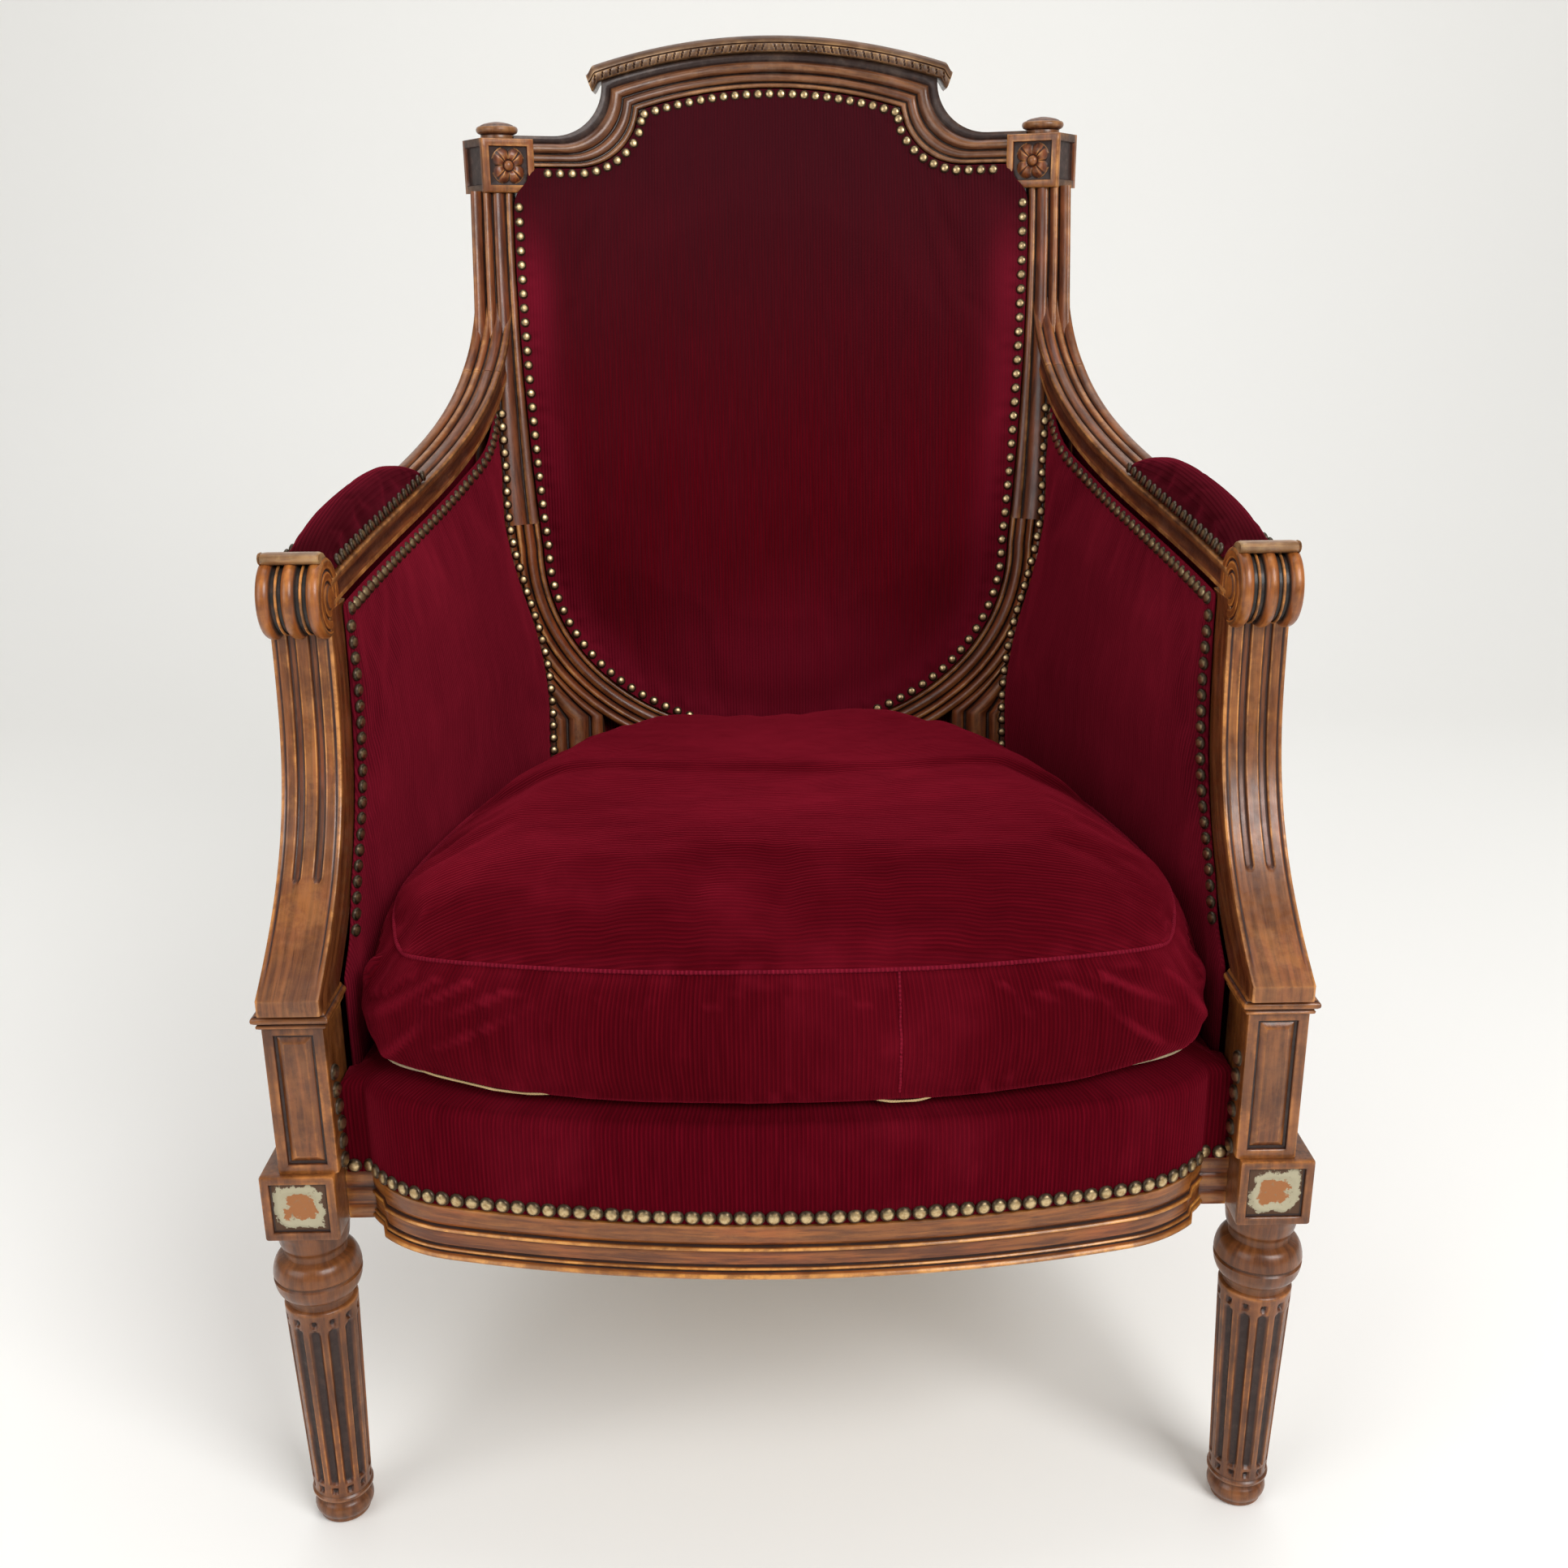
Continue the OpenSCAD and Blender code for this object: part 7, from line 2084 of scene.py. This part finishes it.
nailForm = {"flat": 0.5, "sides": 12, "rings": 6}


def buildNailTree():
    tree = bpy.data.node_groups.new("nailRow", "GeometryNodeTree")
    tree.interface.new_socket("Geometry", in_out="INPUT", socket_type="NodeSocketGeometry")
    for label, kind, value in (("Radius", "NodeSocketFloat", 4.8), ("Flatness", "NodeSocketFloat", 0.5),
                               ("Unevenness", "NodeSocketFloat", 0.05), ("Seed", "NodeSocketInt", 7),
                               ("Finish", "NodeSocketMaterial", None)):
        s = tree.interface.new_socket(label, in_out="INPUT", socket_type=kind)
        if value is not None:
            s.default_value = value
    tree.interface.new_socket("Geometry", in_out="OUTPUT", socket_type="NodeSocketGeometry")
    n = tree.nodes
    i, o = n.new("NodeGroupInput"), n.new("NodeGroupOutput")
    ball = n.new("GeometryNodeMeshUVSphere")
    ball.inputs["Segments"].default_value, ball.inputs["Rings"].default_value = nailForm["sides"], nailForm["rings"]
    link(i.outputs["Radius"], ball.inputs["Radius"])
    place = n.new("GeometryNodeInputPosition")
    split = n.new("ShaderNodeSeparateXYZ")
    link(place.outputs[0], split.inputs[0])
    share = maths(tree, "DIVIDE", split.outputs["Z"], i.outputs["Radius"])
    mark = n.new("GeometryNodeStoreNamedAttribute")
    mark.data_type, mark.domain = "FLOAT", "POINT"
    mark.inputs["Name"].default_value = "crown"
    link(ball.outputs["Mesh"], mark.inputs["Geometry"])
    link(share, mark.inputs["Value"])
    low = n.new("ShaderNodeCombineXYZ")
    low.inputs[0].default_value = low.inputs[1].default_value = 1
    link(i.outputs["Flatness"], low.inputs[2])
    press = n.new("GeometryNodeTransform")
    link(mark.outputs[0], press.inputs["Geometry"])
    link(low.outputs[0], press.inputs["Scale"])
    soft = n.new("GeometryNodeSetShadeSmooth")
    link(press.outputs[0], soft.inputs["Geometry"])
    face = node(tree, "GeometryNodeInputNamedAttribute")
    face.data_type = "FLOAT_VECTOR"
    face.inputs["Name"].default_value = "facing"
    turn = n.new("FunctionNodeAlignRotationToVector")
    turn.axis = "Z"
    tilt = n.new("FunctionNodeRandomValue")
    tilt.data_type = "FLOAT_VECTOR"
    link(i.outputs["Seed"], tilt.inputs["Seed"])
    least = n.new("ShaderNodeCombineXYZ")
    most = n.new("ShaderNodeCombineXYZ")
    minus = times(tree, i.outputs["Unevenness"], -1.0)
    for k in range(3):
        link(minus, least.inputs[k])
        link(i.outputs["Unevenness"], most.inputs[k])
    link(least.outputs[0], tilt.inputs[0])
    link(most.outputs[0], tilt.inputs[1])
    lean = n.new("ShaderNodeVectorMath")
    lean.operation = "ADD"
    link(face.outputs["Attribute"], lean.inputs[0])
    link(tilt.outputs[0], lean.inputs[1])
    link(lean.outputs[0], turn.inputs["Vector"])
    put = n.new("GeometryNodeInstanceOnPoints")
    link(i.outputs["Geometry"], put.inputs["Points"])
    link(soft.outputs[0], put.inputs["Instance"])
    link(turn.outputs[0], put.inputs["Rotation"])
    real = n.new("GeometryNodeRealizeInstances")
    link(put.outputs[0], real.inputs[0])
    paint = n.new("GeometryNodeSetMaterial")
    link(real.outputs[0], paint.inputs["Geometry"])
    link(i.outputs["Finish"], paint.inputs["Material"])
    link(paint.outputs[0], o.inputs[0])
    return tree


nailTree = buildNailTree()


def socketName(tree, label):
    return next(s.identifier for s in tree.interface.items_tree if s.name == label and s.in_out == "INPUT"
                and s.socket_type != "NodeSocketGeometry")


def addNails(name, rows, radius=4.8, seed=7, body="frame"):  # rows of (place, facing) in millimetres
    places = np.array([p for p, _ in rows], float)
    facing = np.array([Vector(d).normalized() for _, d in rows], float)
    mesh = bpy.data.meshes.new(name + "Points")
    mesh.from_pydata((places * mm).tolist(), [], [])
    setVectors(mesh, "facing", facing)
    piece = newObject(name, mesh)
    spread = piece.modifiers.new("nails", "NODES")
    spread.node_group = nailTree
    for label, value in (("Radius", radius * mm), ("Flatness", nailForm["flat"]), ("Unevenness", 0.07), ("Seed", seed),
                         ("Finish", agedBrass)):
        spread[socketName(nailTree, label)] = value
    made = finalMesh(piece)
    piece.modifiers.clear()
    piece.data = made
    made.name = name
    bpy.data.meshes.remove(mesh)
    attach(piece, body)


def rowAlong(points, pitch):  # places about a pitch apart, with one at each end of the line
    p = np.asarray(points, float)
    run = runOf(p)
    return placesAt(p, run, max(1, int(round(run[-1] / pitch))))


def bothSides(rows):
    return rows + [((-p[0], p[1], p[2]), (-d[0], d[1], d[2])) for p, d in rows]


def frontNails():
    line = [(x, y) for x, y in railOutline(0.5, endX=269.5, n=(60, 30, 10))]
    full = [(-x, y) for x, y in line[:0:-1]] + line
    rows = []
    spots = rowAlong(full, 9.55)
    for k, (x, y) in enumerate(spots):
        a, b = spots[max(k - 1, 0)], spots[min(k + 1, len(spots) - 1)]
        along = Vector((b[0] - a[0], b[1] - a[1], 0)).normalized()
        rows.append(((x + 0.25 * wobble(k * 1.7), y, 262.4 + 0.45 * wobble(k * 2.3, 5)), (along[1], -along[0], 0.03)))
    return rows


def backNails(e, lift, facing, crest=10.0, side=11.6):
    half = panelHalf(e)
    high = [p for p in half if p[1] > 855 and p[0] < 194]
    down = [p for p in half if p[1] < 838]
    top = [(-x, z) for x, z in high[:0:-1]] + high
    low = down + [(-x, z) for x, z in down[-2::-1]]
    spots = list(rowAlong(top, crest)) + list(rowAlong(low, side))
    rows = []
    for x, z in spots:
        slope = 2 * backForm["bow"] * x / backForm["blockX"] ** 2
        d = Vector((-slope, -1, rake)) * facing
        rows.append(((x, backY(x, z) + lift, z), d))
    return rows


def stileNails():
    line = [padInside(0.985, z) for z in steps(300, sideTopZ(0.985) - 4, 60)]
    return bothSides([(tuple(Vector(p) + Vector((-2.6, -1.2, 0))), (-0.35, -1, 0.2)) for p in rowAlong(line, 10.8)])


def padInside(s, z):
    y = lerp(padFrontY(z), padEndY(z), s)
    return Vector((padX(s, y, z) - sideForm["edge"] - sideSwell(s, z, sideTopZ(s)), y, z))


def underArmNails():
    line = [padInside(s, sideTopZ(s) - 5.5) for s in steps(0.02, 0.985, 80)]
    spots = rowAlong(line, 11.5)
    column = rowAlong([padInside(0.009, z) for z in steps(398, sideTopZ(0.02) - 16, 50)], 10.4)
    rows = [(p - [-0.6, 0, 0], (-1, -0.35, 0.25)) for p in spots] + [(p - [-0.6, 0, 0], (-1, -0.35, 0)) for p in column]
    return bothSides([(tuple(p), d) for p, d in rows])


def armPadNails():
    f = armPadForm
    rows = []
    t0, t1 = armShareAt(legY + f["from"]), armShareAt(legY + f["to"])
    for side in (-1, 1):
        line = []
        for k in steps(0.03, 0.97, 60):
            t = lerp(t0, t1, k)
            w = armWidth(t) / 2 - f["margin"]
            line.append(Vector(armPoint(t, side * (w + 0.3), -4.2)))
        rows += [(tuple(p), (side, 0, 0.25)) for p in rowAlong(line, 11.5)]
    return bothSides(rows)


def dadoNails():
    spots = rowAlong([(273.9, -305.5 + 1.5 * math.sin(k), z) for k, z in enumerate(steps(270, 331, 5))], 12.2)
    return bothSides([(tuple(p), (-1, -0.25, 0)) for p in spots])


def outerNails():
    def at(s, z):
        x, y, z = outerPlace(s, z)
        return Vector((x + outerForm["thick"] - 0.3, y, z))

    low, rows = sideForm["low"] + 5.5, []
    for line in ([at(s, low) for s in steps(0.015, 0.985, 70)], [at(s, sideTopZ(s) - 5.5) for s in steps(0.015, 0.985, 70)],
                 [at(0.015, z) for z in steps(low + 12, sideTopZ(0.015) - 17, 50)],
                 [at(0.985, z) for z in steps(low + 12, sideTopZ(0.985) - 17, 50)]):
        rows += [(tuple(p), (1, 0.1, 0)) for p in rowAlong(line, 12)]
    return bothSides(rows)


addNails("nailsFront", frontNails(), seed=3)
addNails("nailsPanel", backNails(5.4, -1.3, 1), radius=4.3, seed=11)
addNails("nailsStiles", stileNails(), radius=4.2, seed=5)
addNails("nailsUnderArms", underArmNails(), radius=4.4, seed=8)
addNails("nailsArmPads", armPadNails(), radius=4.0, seed=13)
addNails("nailsDadoes", dadoNails(), radius=5.2, seed=17)
addNails("nailsRear", backNails(6.2, backCoverForm["from"] + 2.4, -1, 12, 12.5), seed=19)
addNails("nailsOuter", outerNails(), seed=23)
print("nails set")
